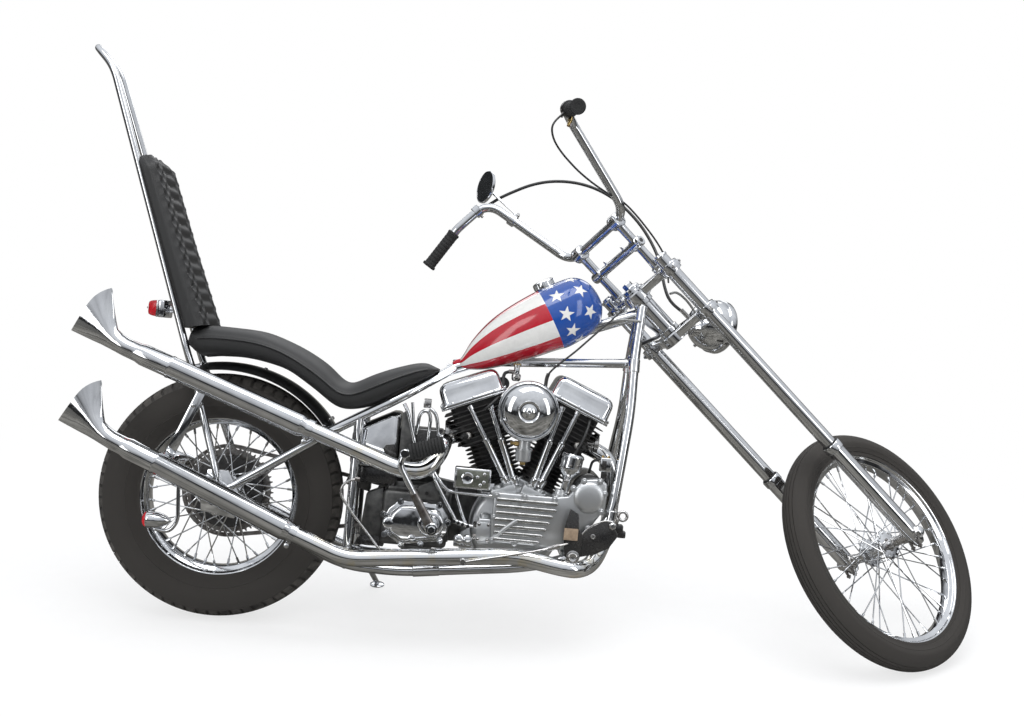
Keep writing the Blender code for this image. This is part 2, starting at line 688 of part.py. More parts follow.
def standing():
    """The lean and the nose-down pitch at which both tyres touch the floor."""
    spin = STEERING_FRAME @ Matrix.Rotation(math.radians(STEER_TURN), 4, "Z") @ STEERING_FRAME.inverted()
    front = STEERING_FOOT + spin @ (FRONT_AXLE - STEERING_FOOT)
    front_axle = spin @ LEFT
    low, high = math.radians(-PITCH_SEARCH), math.radians(PITCH_SEARCH)
    for _ in range(50):
        pitch = (low + high) / 2
        turn = Matrix.Rotation(math.radians(-LEAN), 4, "X") @ Matrix.Rotation(pitch, 4, "Y")
        rear_low = lowest(REAR_AXLE, LEFT, REAR_TYRE_RADIUS - REAR_TYRE_HALF_WIDTH,
                          REAR_TYRE_HALF_WIDTH, turn)
        front_low = lowest(front, front_axle, FRONT_TYRE_RADIUS - FRONT_TYRE_HALF_WIDTH,
                           FRONT_TYRE_HALF_WIDTH, turn)
        if front_low > rear_low:
            low = pitch
        else:
            high = pitch
    return turn, -rear_low


STANDING_TURN, STANDING_HEIGHT = standing()

# Carriers. Everything that is not steered, rolling or folding hangs on the chassis.
chassis = empty("chassis_frame", None, Vector((0, 0, STANDING_HEIGHT)), STANDING_TURN)
steering = empty("steering_axis", chassis, STEERING_FOOT,
                 STEERING_FRAME @ Matrix.Rotation(math.radians(STEER_TURN), 4, "Z"))
rear_wheel = empty("rear_wheel_axis", chassis, REAR_AXLE)
front_wheel = empty("front_wheel_axis", steering, Vector((FORK_OFFSET, 0, 0)))
stand_axis = empty("stand_axis", chassis, place(STAND_PIVOT_SHARES))


def wheel(end, carrier, radius, half_width, rim, rim_half_width, hub, flange, hub_half_width):
    """A tyre, a stepped rim, and a hub with its laced spokes, all turned about the axle."""
    seat = rim - BEAD_DEPTH
    inner = rim_half_width - RIM_WALL - GAP
    crown = radius - half_width
    round_side = [
        (half_width * math.sin(t), crown + half_width * math.cos(t))
        for t in (math.radians(TYRE_ROUND * i / TYRE_STEPS) for i in range(-TYRE_STEPS, TYRE_STEPS + 1))
    ]
    profile = [(-inner, seat + GAP), (-inner, rim + BEAD_REVEAL), *round_side,
               (inner, rim + BEAD_REVEAL), (inner, seat + GAP)]
    tyre = turned_ring(Vector(), LEFT, profile, WHEEL_SIDES)
    hang(tyre, end + "_tyre", RUBBER, carrier)

    floor = rim_half_width * WELL_FLOOR_SHARE
    well = seat - RIM_WELL_DEPTH
    outside = [(rim_half_width, rim), (rim_half_width - RIM_WALL, rim), (rim_half_width - RIM_WALL, seat),
               (floor, well)]
    inside = [(floor, well - RIM_WALL), (rim_half_width, seat - RIM_WALL)]
    right = [(-y, r) for y, r in outside]
    right_inside = [(-y, r) for y, r in inside]
    hoop = right + outside[::-1] + inside[::-1] + right_inside
    ring = turned_ring(Vector(), LEFT, hoop, WHEEL_SIDES)

    bore = AXLE_RADIUS + BORE_CLEARANCE
    neck = hub_half_width - FLANGE_THICKNESS
    half = [(hub_half_width, bore), (hub_half_width, hub * HUB_CAP_SHARE), (neck + FLANGE_THICKNESS / 2, hub),
            (neck + FLANGE_THICKNESS / 2, flange), (neck - FLANGE_THICKNESS / 2, flange),
            (neck - FLANGE_THICKNESS / 2, hub)]
    barrel = half + [(-y, r) for y, r in half[::-1]]
    core = turned_ring(Vector(), LEFT, barrel, HUB_SIDES)
    end_radius = well - RIM_WALL / 2
    groups = []
    for hand in (-1, 1):
        for way in (-1, 1):
            spokes = []
            for i in range(SPOKES_A_SIDE // 2):
                step = 4 * math.pi / SPOKES_A_SIDE
                rim_turn = step * (i + SPOKE_PHASE_SHARE * (way * SPOKE_PAIR_SHARE + hand))
                hub_turn = rim_turn + way * math.radians(SPOKE_LACE)
                hole = (flange + hub) / 2
                reach = hand * neck + hand * way * SPOKE_RADIUS
                start = Vector((hole * math.cos(hub_turn), reach, hole * math.sin(hub_turn)))
                stop = Vector((end_radius * math.cos(rim_turn), hand * way * SPOKE_RADIUS,
                               end_radius * math.sin(rim_turn)))
                spokes.append(bar(start, stop, SPOKE_RADIUS, SPOKE_SIDES))
            groups.append(gathered(spokes))
    hang(joined(core, *groups, ring), end + "_wire_wheel", CHROME, carrier)


def wheels():
    """Both wheels, with the drum and the sprocket on the rear one's left."""
    wheel("rear", rear_wheel, REAR_TYRE_RADIUS, REAR_TYRE_HALF_WIDTH, REAR_RIM_RADIUS, REAR_RIM_HALF_WIDTH,
          REAR_HUB_RADIUS, REAR_FLANGE_RADIUS, REAR_HUB_HALF_WIDTH)
    wheel("front", front_wheel, FRONT_TYRE_RADIUS, FRONT_TYRE_HALF_WIDTH, FRONT_RIM_RADIUS,
          FRONT_RIM_HALF_WIDTH, FRONT_HUB_RADIUS, FRONT_FLANGE_RADIUS, FRONT_HUB_HALF_WIDTH)
    bore = AXLE_RADIUS + BORE_CLEARANCE
    drum_start = REAR_HUB_HALF_WIDTH + GAP
    drum_end = drum_start + DRUM_THICKNESS
    disc_start = CHAIN_Y - SPROCKET_THICKNESS / 2
    disc_end = CHAIN_Y + SPROCKET_THICKNESS / 2
    profile = [(drum_start, bore), (drum_start, DRUM_RADIUS), (drum_end, DRUM_RADIUS),
               (drum_end, DRUM_RADIUS * DRUM_NECK_SHARE), (disc_start, DRUM_RADIUS * DRUM_NECK_SHARE),
               (disc_start, SPROCKET_RADIUS), (disc_end, SPROCKET_RADIUS), (disc_end, bore)]
    drum = turned_ring(Vector(), LEFT, profile, WHEEL_SIDES)
    hang(drum, "rear_drum_and_sprocket", BLACK_IRON, rear_wheel)


def axles():
    """The rear axle with its spacers and nuts in the axle plates, and the front one in the sliders."""
    inner, outer = AXLE_PLATE_Y
    nut = outer + GAP
    right = -inner + GAP
    left = inner - GAP
    hub = REAR_HUB_HALF_WIDTH + SIDE_PLAY
    disc = CHAIN_Y + SPROCKET_THICKNESS / 2 + SIDE_PLAY
    profile = ((-nut - NUT_THICKNESS, NUT_RADIUS), (-nut, NUT_RADIUS), (-nut, AXLE_RADIUS), (right, AXLE_RADIUS),
               (right, SPACER_RADIUS), (-hub, SPACER_RADIUS), (-hub, AXLE_RADIUS), (disc, AXLE_RADIUS),
               (disc, SPACER_RADIUS), (left, SPACER_RADIUS), (left, AXLE_RADIUS), (nut, AXLE_RADIUS),
               (nut, NUT_RADIUS), (nut + NUT_THICKNESS, NUT_RADIUS))
    hang(turned(REAR_AXLE, LEFT, profile, HUB_SIDES), "rear_axle", CHROME, chassis)
    nut = FORK_HALF_SPACING + FORK_SLIDER + GAP
    face = FORK_HALF_SPACING - FORK_SLIDER - GAP
    hub = FRONT_HUB_HALF_WIDTH + SIDE_PLAY
    profile = ((-nut - NUT_THICKNESS, NUT_RADIUS), (-nut, NUT_RADIUS), (-nut, AXLE_RADIUS), (-face, AXLE_RADIUS),
               (-face, SPACER_RADIUS), (-hub, SPACER_RADIUS), (-hub, AXLE_RADIUS), (hub, AXLE_RADIUS),
               (hub, SPACER_RADIUS), (face, SPACER_RADIUS), (face, AXLE_RADIUS), (nut, AXLE_RADIUS),
               (nut, NUT_RADIUS), (nut + NUT_THICKNESS, NUT_RADIUS))
    axle = turned(Vector((FORK_OFFSET, 0, 0)), LEFT, profile, HUB_SIDES)
    hang(axle, "front_axle", CHROME, steering)


def frame():
    """The welded rigid frame: head tube, backbone, twin down tubes and rails, stays and axle plates."""
    head = bar(STEERING_FOOT + UP_AXIS * HEAD_TUBE_BOTTOM, STEERING_FOOT + UP_AXIS * HEAD_TUBE_TOP,
               HEAD_TUBE_RADIUS, 14)
    tubes = [tube(side(BACKBONE_SHARES, 1), BACKBONE_TUBE), tube(side(TOP_TUBE_SHARES, 1), STAY_TUBE),
             prism(flat(GUSSET_SHARES), -GUSSET_HALF_THICKNESS, GUSSET_HALF_THICKNESS)]
    for hand in (-1, 1):
        tubes.append(tube(side(DOWN_TUBE_AND_RAIL_SHARES, hand), FRAME_TUBE, bend=FRAME_BEND))
        tubes.append(tube(side(UPPER_STAY_SHARES, hand), STAY_TUBE, bend=FRAME_BEND))
        tubes.append(tube(side(SEAT_POST_SHARES, hand), STAY_TUBE))
        inner, outer = AXLE_PLATE_Y
        tubes.append(prism(flat(AXLE_PLATE_SHARES), inner * hand, outer * hand))
    for x, z, half in CROSS_TUBE_SHARES:
        tubes.append(tube([place((x, -half, z)), place((x, half, z))], CROSS_TUBE))
    angle = math.radians(FENDER_START)
    reach = FENDER_RADIUS + CROSS_TUBE + GAP
    middle = REAR_AXLE + Vector((math.cos(angle), 0, math.sin(angle))) * reach
    half = place((0, FENDER_MOUNT_HALF_SHARE, 0))
    tubes.append(tube([middle - half, middle + half], CROSS_TUBE))
    tubes.append(block(*(place(corner) for corner in STAND_BRACKET_SHARES)))
    whole = joined(head, *tubes)
    reach = LEFT * (AXLE_PLATE_Y[1] + CUT_OVERRUN)
    bore = bar(REAR_AXLE - reach, REAR_AXLE + reach, AXLE_RADIUS + GAP, HUB_SIDES)
    hang(cut(whole, bore), "frame", CHROME, chassis)


def tank():
    """The teardrop tank, which straddles the backbone, and its round filler cap."""
    rings = []
    for x, z, half_width, half_height in TANK_SECTION_SHARES:
        centre = place((x, 0, z))
        rings.append([
            centre + Vector((0, half_width * CHASSIS * math.sin(t), half_height * CHASSIS * math.cos(t)))
            for t in (2 * math.pi * i / TANK_SIDES for i in range(TANK_SIDES))
        ])
    shell = loft(rings)
    start, end = side(BACKBONE_SHARES, 1)
    along = (end - start).normalized()
    up = LEFT.cross(along).normalized()
    up = up if up.z > 0 else -up
    top = up * (BACKBONE_TUBE + TUNNEL_CLEARANCE)
    low = Vector((0, 0, TUNNEL_DEPTH))
    outline = [start + top, end + top, end - low, start - low]
    tunnel = prism([(p.x, p.z) for p in outline], -TUNNEL_HALF_WIDTH, TUNNEL_HALF_WIDTH)
    hang(cut(shell, tunnel), "fuel_tank", TANK_PAINT, chassis)
    base = place(FILLER_CAP_SHARES)
    axis = Vector((-math.sin(math.radians(FILLER_TILT)), 0, math.cos(math.radians(FILLER_TILT))))
    profile = ((0, CAP_NECK_RADIUS), (CAP_NECK_HEIGHT, CAP_NECK_RADIUS), (CAP_NECK_HEIGHT, CAP_RADIUS),
               (CAP_HEIGHT * CAP_SIDE_SHARE, CAP_RADIUS), (CAP_HEIGHT, CAP_RADIUS * CAP_TOP_SHARE))
    hang(turned(base, axis, profile), "filler_cap", CHROME, chassis)


def seating():
    """The low seat and its tall backrest, with the sissy bar behind it."""
    seat = prism(flat(SEAT_SHARES), -SEAT_HALF_WIDTH, SEAT_HALF_WIDTH)
    hang(seat, "seat", LEATHER, chassis)
    back = prism(flat(BACKREST_SHARES), -BACKREST_HALF_WIDTH, BACKREST_HALF_WIDTH)
    hang(back, "backrest", LEATHER, chassis)
    right = side(SISSY_BAR_SHARES, -1)
    left = side(SISSY_BAR_SHARES, 1)
    hoop = tube(right + left[::-1], SISSY_TUBE, sides=8, bend=SISSY_BEND)
    rungs = []
    for x, half, z in SISSY_RUNG_SHARES:
        rungs.append(tube([place((x, -half, z)), place((x, half, z))], SISSY_RUNG, sides=6))
    hang(joined(hoop, *rungs), "sissy_bar", CHROME, chassis)
    rings = []
    for i in range(FENDER_STEPS + 1):
        t = math.radians(FENDER_START + (FENDER_END - FENDER_START) * i / FENDER_STEPS)
        out = Vector((math.cos(t), 0, math.sin(t)))
        crown = [(y * FENDER_HALF_WIDTH, FENDER_RADIUS - drop * FENDER_DROP) for y, drop in FENDER_CROWN_SHARES]
        under = [(y * FENDER_UNDER_SHARE, r - FENDER_WALL) for y, r in crown[::-1]]
        rings.append([REAR_AXLE + out * r + LEFT * y for y, r in crown + under])
    hang(loft(rings), "rear_fender", CHROME, chassis)
    low, high = (place(corner) for corner in TAIL_LAMP_SHARES)
    neck_low, neck_high = (place(corner) for corner in TAIL_LAMP_NECK_SHARES)
    hang(joined(block(low, high), block(neck_low, neck_high)), "tail_lamp", RED_LENS, chassis)


def engine():
    """The V-twin: crankcase, cylinders, heads, rocker covers, push rods and what is bolted round them."""
    crank = place(CRANK_SHARES)
    half = LEFT * CASE_HALF_WIDTH
    case = bar(crank - half, crank + half, CASE_RADIUS, 24)
    lean = math.radians(CYLINDER_LEAN)
    cylinders = (("rear", Vector((-math.sin(lean), 0, math.cos(lean)))),
                 ("front", Vector((math.sin(lean), 0, math.cos(lean)))))
    more = [cut(bar(crank, crank + up * CASE_DECK, DECK_RADIUS, 16), beyond(crank, up, -GAP / 2))
            for _, up in cylinders]
    more += [prism(flat(lug), -LUG_HALF_WIDTH, LUG_HALF_WIDTH) for lug in CRANKCASE_LUG_SHARES]
    more.append(prism(flat(TIMING_COVER_SHARES), -TIMING_JOINT_Y, -CASE_HALF_WIDTH + CUT_OVERRUN))
    more.append(block(*(place(corner) for corner in OIL_PUMP_SHARES)))
    hang(joined(case, *more), "crankcase", ALUMINIUM, chassis)
    cover = prism(flat(TIMING_COVER_SHARES), -TIMING_FACE_Y, -TIMING_JOINT_Y - GAP)
    hang(cover, "timing_cover", ALUMINIUM, chassis)
    tappets = prism(flat(TAPPET_SHARES), -TAPPET_Y[1], -TAPPET_Y[0])

    for name, up in cylinders:
        foot = CASE_DECK + GAP
        pitch = (BARREL_TOP - foot) / (2 * BARREL_FINS - 1)
        profile = []
        for i in range(2 * BARREL_FINS - 1):
            radius = BARREL_FIN_RADIUS if i % 2 == 0 else BARREL_RADIUS
            profile += [(foot + pitch * i, radius), (foot + pitch * (i + 1), radius)]
        barrel = cut(turned(crank, up, profile, BARREL_SIDES), beyond(crank, up, GAP))
        hang(barrel, name + "_cylinder", BLACK_IRON, chassis)
        foot = BARREL_TOP + GAP
        pitch = (HEAD_DECK - foot) / (2 * HEAD_FINS)
        profile = []
        for i in range(2 * HEAD_FINS):
            radius = BARREL_FIN_RADIUS if i % 2 == 0 else BARREL_RADIUS
            profile += [(foot + pitch * i, radius), (foot + pitch * (i + 1), radius)]
        finned = turned(crank, up, profile, BARREL_SIDES)
        deck = lid(crank, up, ((HEAD_DECK - GAP, 0.0), (HEAD_TOP, 0.0)), BARREL_RADIUS)
        hang(joined(finned, deck), name + "_head", ALUMINIUM, chassis)
        cover_rings = ((HEAD_TOP + GAP, 0.0), (HEAD_TOP + COVER_FLANGE, 0.0), (HEAD_TOP + COVER_FLANGE, COVER_STEP),
                       (COVER_TOP - COVER_ROUND, COVER_STEP), (COVER_TOP, COVER_STEP + COVER_ROUND))
        hang(lid(crank, up, cover_rings, BARREL_RADIUS), name + "_rocker_cover", CHROME, chassis)

    rods = []
    for i, (bottom, top) in enumerate(PUSHROD_SHARES):
        up = cylinders[i // 2][1]
        start, end = side((bottom, top), -1)
        # The tube's top lies under the head's deck, found along the cylinder's axis.
        end.z = crank.z + (HEAD_DECK - GAP * 2 - PUSHROD_TUBE * math.sin(lean) - (end.x - crank.x) * up.x) / up.z
        rods.append(bar(start, end, PUSHROD_TUBE, 8))
    hang(joined(tappets, *rods), "push_rods_and_tappets", CHROME, chassis)


def beyond(crank, up, short):
    """A block on the far side of the plane between the two cylinders, short of it by a little."""
    hand = math.copysign(1, up.x)
    reach = CASE_DECK + HEAD_TOP
    near = crank - Vector((-short * hand, CASE_RADIUS, CASE_RADIUS))
    far = crank + Vector((-hand * reach, CASE_RADIUS, reach))
    low = Vector(map(min, near, far))
    high = Vector(map(max, near, far))
    return block(low, high)


def lid(crank, up, rings, radius):
    """A rounded rectangular lid stacked along a cylinder's axis from (along, inset) pairs."""
    aside = LEFT.cross(up)
    loops = []
    for along, inset in rings:
        length = HEAD_HALF_LENGTH - inset
        width = HEAD_HALF_WIDTH - inset
        corner = HEAD_CORNER
        loop = []
        for quarter, (sx, sy) in enumerate(((1, 1), (-1, 1), (-1, -1), (1, -1))):
            for i in range(4):
                t = math.pi / 2 * (quarter + i / 3)
                loop.append(crank + up * along + aside * (sx * (length - corner) + corner * math.cos(t))
                            + LEFT * (sy * (width - corner) + corner * math.sin(t)))
        loops.append(loop)
    return loft(loops)


def engine_fittings():
    """Air cleaner, generator, carburettor with its manifold, and regulator."""
    for name, material, sides, centre, profile in TURNED_FITTING_SHARES:
        pairs = [(along * CHASSIS, radius * CHASSIS) for along, radius in profile]
        hang(turned(place(centre), -LEFT, pairs, sides), name, material, chassis)
    start, end = side(MANIFOLD_SHARES, 1)
    manifold = bar(start, end, MANIFOLD_RADIUS)
    bottom, top = side(CARBURETTOR_SHARES, 1)
    body = bar(bottom, top, CARBURETTOR_RADIUS)
    middle = (start + end) / 2
    neck = bar(middle, Vector((bottom.x, -INTAKE_Y, middle.z)), MANIFOLD_RADIUS)
    hang(joined(manifold, body, neck), "carburettor", ALUMINIUM, chassis)
    lean = math.radians(TIMER_LEAN)
    cup = [(along * TIMER_HEIGHT, radius * TIMER_RADIUS) for along, radius in TIMER_PROFILE_SHARES]
    timer = turned(place(TIMER_FOOT_SHARES), Vector((math.sin(lean), 0, math.cos(lean))), cup)
    hang(timer, "ignition_timer", CHROME, chassis)
    top = place(TAP_SHARES)
    profile = [(along * TAP_HEIGHT, radius * TAP_RADIUS) for along, radius in TAP_PROFILE_SHARES]
    outlet = bar(top + Vector((0, 0, -TAP_HEIGHT / 2)), top + Vector((-TAP_OUTLET, 0, -TAP_HEIGHT / 2)),
                 TAP_RADIUS / 2, 8)
    hang(joined(turned(top, Vector((0, 0, -1)), profile, 10), outlet), "fuel_tap", STEEL, chassis)
    for name, material, boxes in BOX_FITTING_SHARES:
        blocks = [block(place(low), place(high)) for low, high in boxes]
        hang(joined(blocks[0], *blocks[1:]), name, material, chassis)


def drive():
    """Gearbox, primary cover, kick starter, oil tank, gearbox sprocket and the chain."""
    low, high = (place(corner) for corner in GEARBOX_SHARES)
    box = block(low, high)
    foot_low, foot_high = (place(corner) for corner in GEARBOX_FOOT_SHARES)
    cover = prism(flat(KICK_COVER_SHARES), -KICK_COVER_Y, low.y - GAP)
    hang(cover, "kick_cover", CHROME, chassis)
    pivot = place(KICK_PIVOT_SHARES)
    knee, pedal_start, pedal_end = side(KICK_ARM_SHARES, -1)
    shaft = bar(Vector((pivot.x, -KICK_COVER_Y - GAP, pivot.z)), pivot - LEFT * KICK_BOSS_RADIUS / 2,
                KICK_BOSS_RADIUS, 12)
    arm = tube([pivot, knee, pedal_start], KICK_ARM_RADIUS, sides=8, bend=KICK_BEND)
    pedal = bar(pedal_start, pedal_end, KICK_PEDAL_RADIUS, 12)
    hang(joined(shaft, arm, pedal), "kick_lever", CHROME, chassis)

    crank = place(CRANK_SHARES)
    clutch = place(CLUTCH_SHARES)
    outline = hull_of_two(Vector((clutch.x, clutch.z)), PRIMARY_REAR_RADIUS, Vector((crank.x, crank.z)),
                          PRIMARY_FRONT_RADIUS)
    inner, outer = PRIMARY_Y
    body = prism(outline, inner, outer)
    boss = bar(Vector((crank.x, CASE_HALF_WIDTH + GAP, crank.z)), Vector((crank.x, inner + CUT_OVERRUN, crank.z)),
               PRIMARY_BOSS_RADIUS, 24)
    hang(joined(body, boss), "primary_cover", CHROME, chassis)
    profile = ((-CUT_OVERRUN, SHAFT_RADIUS), (CHAIN_Y - high.y - CHAIN_HALF_WIDTH, SHAFT_RADIUS),
               (CHAIN_Y - high.y - CHAIN_HALF_WIDTH, GEARBOX_SPROCKET_RADIUS),
               (CHAIN_Y - high.y + CHAIN_HALF_WIDTH, GEARBOX_SPROCKET_RADIUS),
               (CHAIN_Y - high.y + CHAIN_HALF_WIDTH, SHAFT_RADIUS), (inner - high.y - 2 * GAP, SHAFT_RADIUS))
    sprocket = turned(Vector((clutch.x, high.y, clutch.z)), LEFT, profile, 24)
    hang(joined(box, block(foot_low, foot_high), sprocket), "gearbox", ALUMINIUM, chassis)

    rear = Vector((REAR_AXLE.x, REAR_AXLE.z))
    front = Vector((clutch.x, clutch.z))
    loops = []
    for more, y in ((0, -1), (CHAIN_HEIGHT, -1), (CHAIN_HEIGHT, 1), (0, 1)):
        outline = hull_of_two(rear, SPROCKET_RADIUS + RUNNING_GAP + more, front,
                              GEARBOX_SPROCKET_RADIUS + GAP * 2 + more, CHAIN_STEPS)
        loops.append([Vector((x, CHAIN_Y + y * (CHAIN_HALF_WIDTH - GAP), z)) for x, z in outline])
    hang(loft(list(zip(*loops)), endless=True), "drive_chain", STEEL, chassis)

    tank_body = prism(flat(OIL_TANK_SHARES), -OIL_TANK_HALF_WIDTH, OIL_TANK_HALF_WIDTH)
    x, half, z = OIL_TANK_LUG_SHARES
    lugs = bar(place((x, -half, z)), place((x, half, z)), OIL_TANK_LUG_RADIUS, 8)
    hang(joined(tank_body, lugs), "oil_tank", CHROME, chassis)


def exhaust(name, pipe, muffler):
    """One exhaust: a pipe, a straight muffler with end bands and an upswept fishtail."""
    start, end = (place(point) for point in muffler)
    run = tube([place(point) for point in pipe], PIPE_RADIUS, sides=8, bend=PIPE_BEND)
    length = (end - start).length
    along = (end - start).normalized()
    can = turned(start, along, ((-PIPE_BAND, PIPE_RADIUS + BAND_STEP), (0, PIPE_RADIUS + BAND_STEP),
                                (0, MUFFLER_RADIUS), (length, MUFFLER_RADIUS),
                                (length + NECK_LENGTH, TAIL_NECK_RADIUS)), 12)
    up = along.cross(LEFT).normalized()
    up = up if up.z > 0 else -up
    rings = []
    for back, rise, tip, height, thickness in FISHTAIL_SHARES:
        centre = end + (along * back + up * rise) * FISHTAIL_LENGTH
        tall = (up * height - along * tip) * FISHTAIL_LENGTH
        wide = LEFT * thickness * FISHTAIL_LENGTH
        rings.append([centre + tall * math.cos(t) + wide * math.sin(t)
                      for t in (2 * math.pi * i / FISHTAIL_SIDES for i in range(FISHTAIL_SIDES))])
    hang(joined(can, run, loft(rings)), name, CHROME, chassis)


def exhausts():
    """Both exhausts and the flat strip that ties their mufflers to the sissy bar's leg."""
    exhaust("upper_exhaust", UPPER_PIPE_SHARES, UPPER_MUFFLER_SHARES)
    exhaust("lower_exhaust", LOWER_PIPE_SHARES, LOWER_MUFFLER_SHARES)
    strip = prism(flat(EXHAUST_STRIP_SHARES), -STRIP_Y[1], -STRIP_Y[0])
    x, y, z = STRIP_SPACER_SHARES
    spacer = bar(place((x, -y, z)), Vector((x * CHASSIS, -STRIP_Y[0] - CUT_OVERRUN, z * CHASSIS)), SPACER_RADIUS / 2, 12)
    hang(joined(strip, spacer), "exhaust_strip", CHROME, chassis)


def brake_pedal():
    """The forward brake pedal's black plates on their pivot, and its rod."""
    outer, inner = BRAKE_PLATE_Y
    plate = prism(flat(BRAKE_PLATE_SHARES), -outer, -inner)
    x, y, z = BRAKE_PIVOT_SHARES
    pivot = bar(place((x, -y, z)), Vector((x * CHASSIS, -outer - NUT_THICKNESS, z * CHASSIS)), BRAKE_PIVOT_RADIUS, 10)
    rod = tube(side(BRAKE_ROD_SHARES, -1), BRAKE_ROD_RADIUS, sides=6)
    hang(joined(plate, pivot, rod), "brake_pedal", BLACK_PAINT, chassis)


def marker_lamps():
    """Two bullet lamps on curved stalks from the axle plates."""
    for name, hand, centre, stalk in MARKER_LAMPS:
        middle = side((centre,), hand)[0]
        ahead = Vector((1, 0, 0))
        profile = [(along * MARKER_LENGTH, radius * MARKER_RADIUS) for along, radius in MARKER_PROFILE_SHARES]
        bullet = turned(middle, ahead, profile, 12)
        stem = tube(side(stalk, hand), STALK_RADIUS, sides=6, bend=STALK_BEND)
        hang(joined(bullet, stem), name, CHROME, chassis)


def fork():
    """Long fork tubes in sliders, the two trees that clamp them, and the headlamp on the lower one."""
    for name, hand in (("right", -1), ("left", 1)):
        x, y = FORK_OFFSET, FORK_HALF_SPACING * hand
        leg = bar(Vector((x, y, SLIDER_TOP - COLLAR_HEIGHT)), Vector((x, y, FORK_TOP)), FORK_TUBE, 12)
        slider = turned(Vector((x, y, 0)), Vector((0, 0, 1)),
                        ((SLIDER_BOTTOM, FORK_SLIDER * SLIDER_FOOT_SHARE), (SLIDER_BOTTOM / 2, FORK_SLIDER),
                         (SLIDER_TOP - COLLAR_HEIGHT, FORK_SLIDER), (SLIDER_TOP - COLLAR_HEIGHT, COLLAR_RADIUS),
                         (SLIDER_TOP, COLLAR_RADIUS)), 12)
        reach = LEFT * (FORK_SLIDER + CUT_OVERRUN)
        bore = bar(Vector((x, y, 0)) - reach, Vector((x, y, 0)) + reach, AXLE_RADIUS + GAP, HUB_SIDES)
        hang(cut(joined(slider, leg), bore), "fork_leg_" + name, CHROME, steering)
    centre = Vector(LAMP_PLACE) + Vector((0, 0, HEAD_TUBE_BOTTOM))
    for name, bottom in (("lower_tree", HEAD_TUBE_BOTTOM - GAP - TREE_THICKNESS), ("upper_tree", HEAD_TUBE_TOP + GAP)):
        top = bottom + TREE_THICKNESS
        hub = bar(Vector((0, 0, bottom)), Vector((0, 0, top)), HEAD_TUBE_RADIUS + TREE_WALL, 14)
        arm = block(Vector((0, -FORK_HALF_SPACING, bottom + TREE_EASE)),
                    Vector((FORK_OFFSET + TREE_WALL, FORK_HALF_SPACING, top)))
        collars = [bar(Vector((FORK_OFFSET, y, bottom)), Vector((FORK_OFFSET, y, top)), FORK_TUBE + TREE_WALL, 12)
                   for y in (-FORK_HALF_SPACING, FORK_HALF_SPACING)]
        bores = [bar(Vector((FORK_OFFSET, y, bottom - CUT_OVERRUN)), Vector((FORK_OFFSET, y, top + CUT_OVERRUN)),
                     FORK_TUBE + GAP, 12) for y in (-FORK_HALF_SPACING, FORK_HALF_SPACING)]
        more = [arm, *collars]
        if name == "lower_tree":
            mount = Vector((FORK_OFFSET, 0, bottom + TREE_THICKNESS / 2))
            toward = centre - mount
            reach = toward.length - LAMP_RADIUS - GAP * 2
            more.append(bar(mount, mount + toward.normalized() * reach, LAMP_STUD_RADIUS, 8))
        hang(cut(joined(hub, *more), *bores), name, CHROME, steering)

    ahead = STEERING_FRAME.to_3x3().inverted() @ Vector((1, 0, 0))
    profile = [(-LAMP_RADIUS * math.cos(t), LAMP_RADIUS * math.sin(t))
               for t in (math.pi / 2 * (i + 1) / LAMP_STEPS for i in range(LAMP_STEPS))]
    profile += [(along * LAMP_RADIUS, radius * LAMP_RADIUS) for along, radius in LAMP_FRONT_SHARES]
    hang(turned(centre, ahead, profile, 18), "headlamp", CHROME, steering)


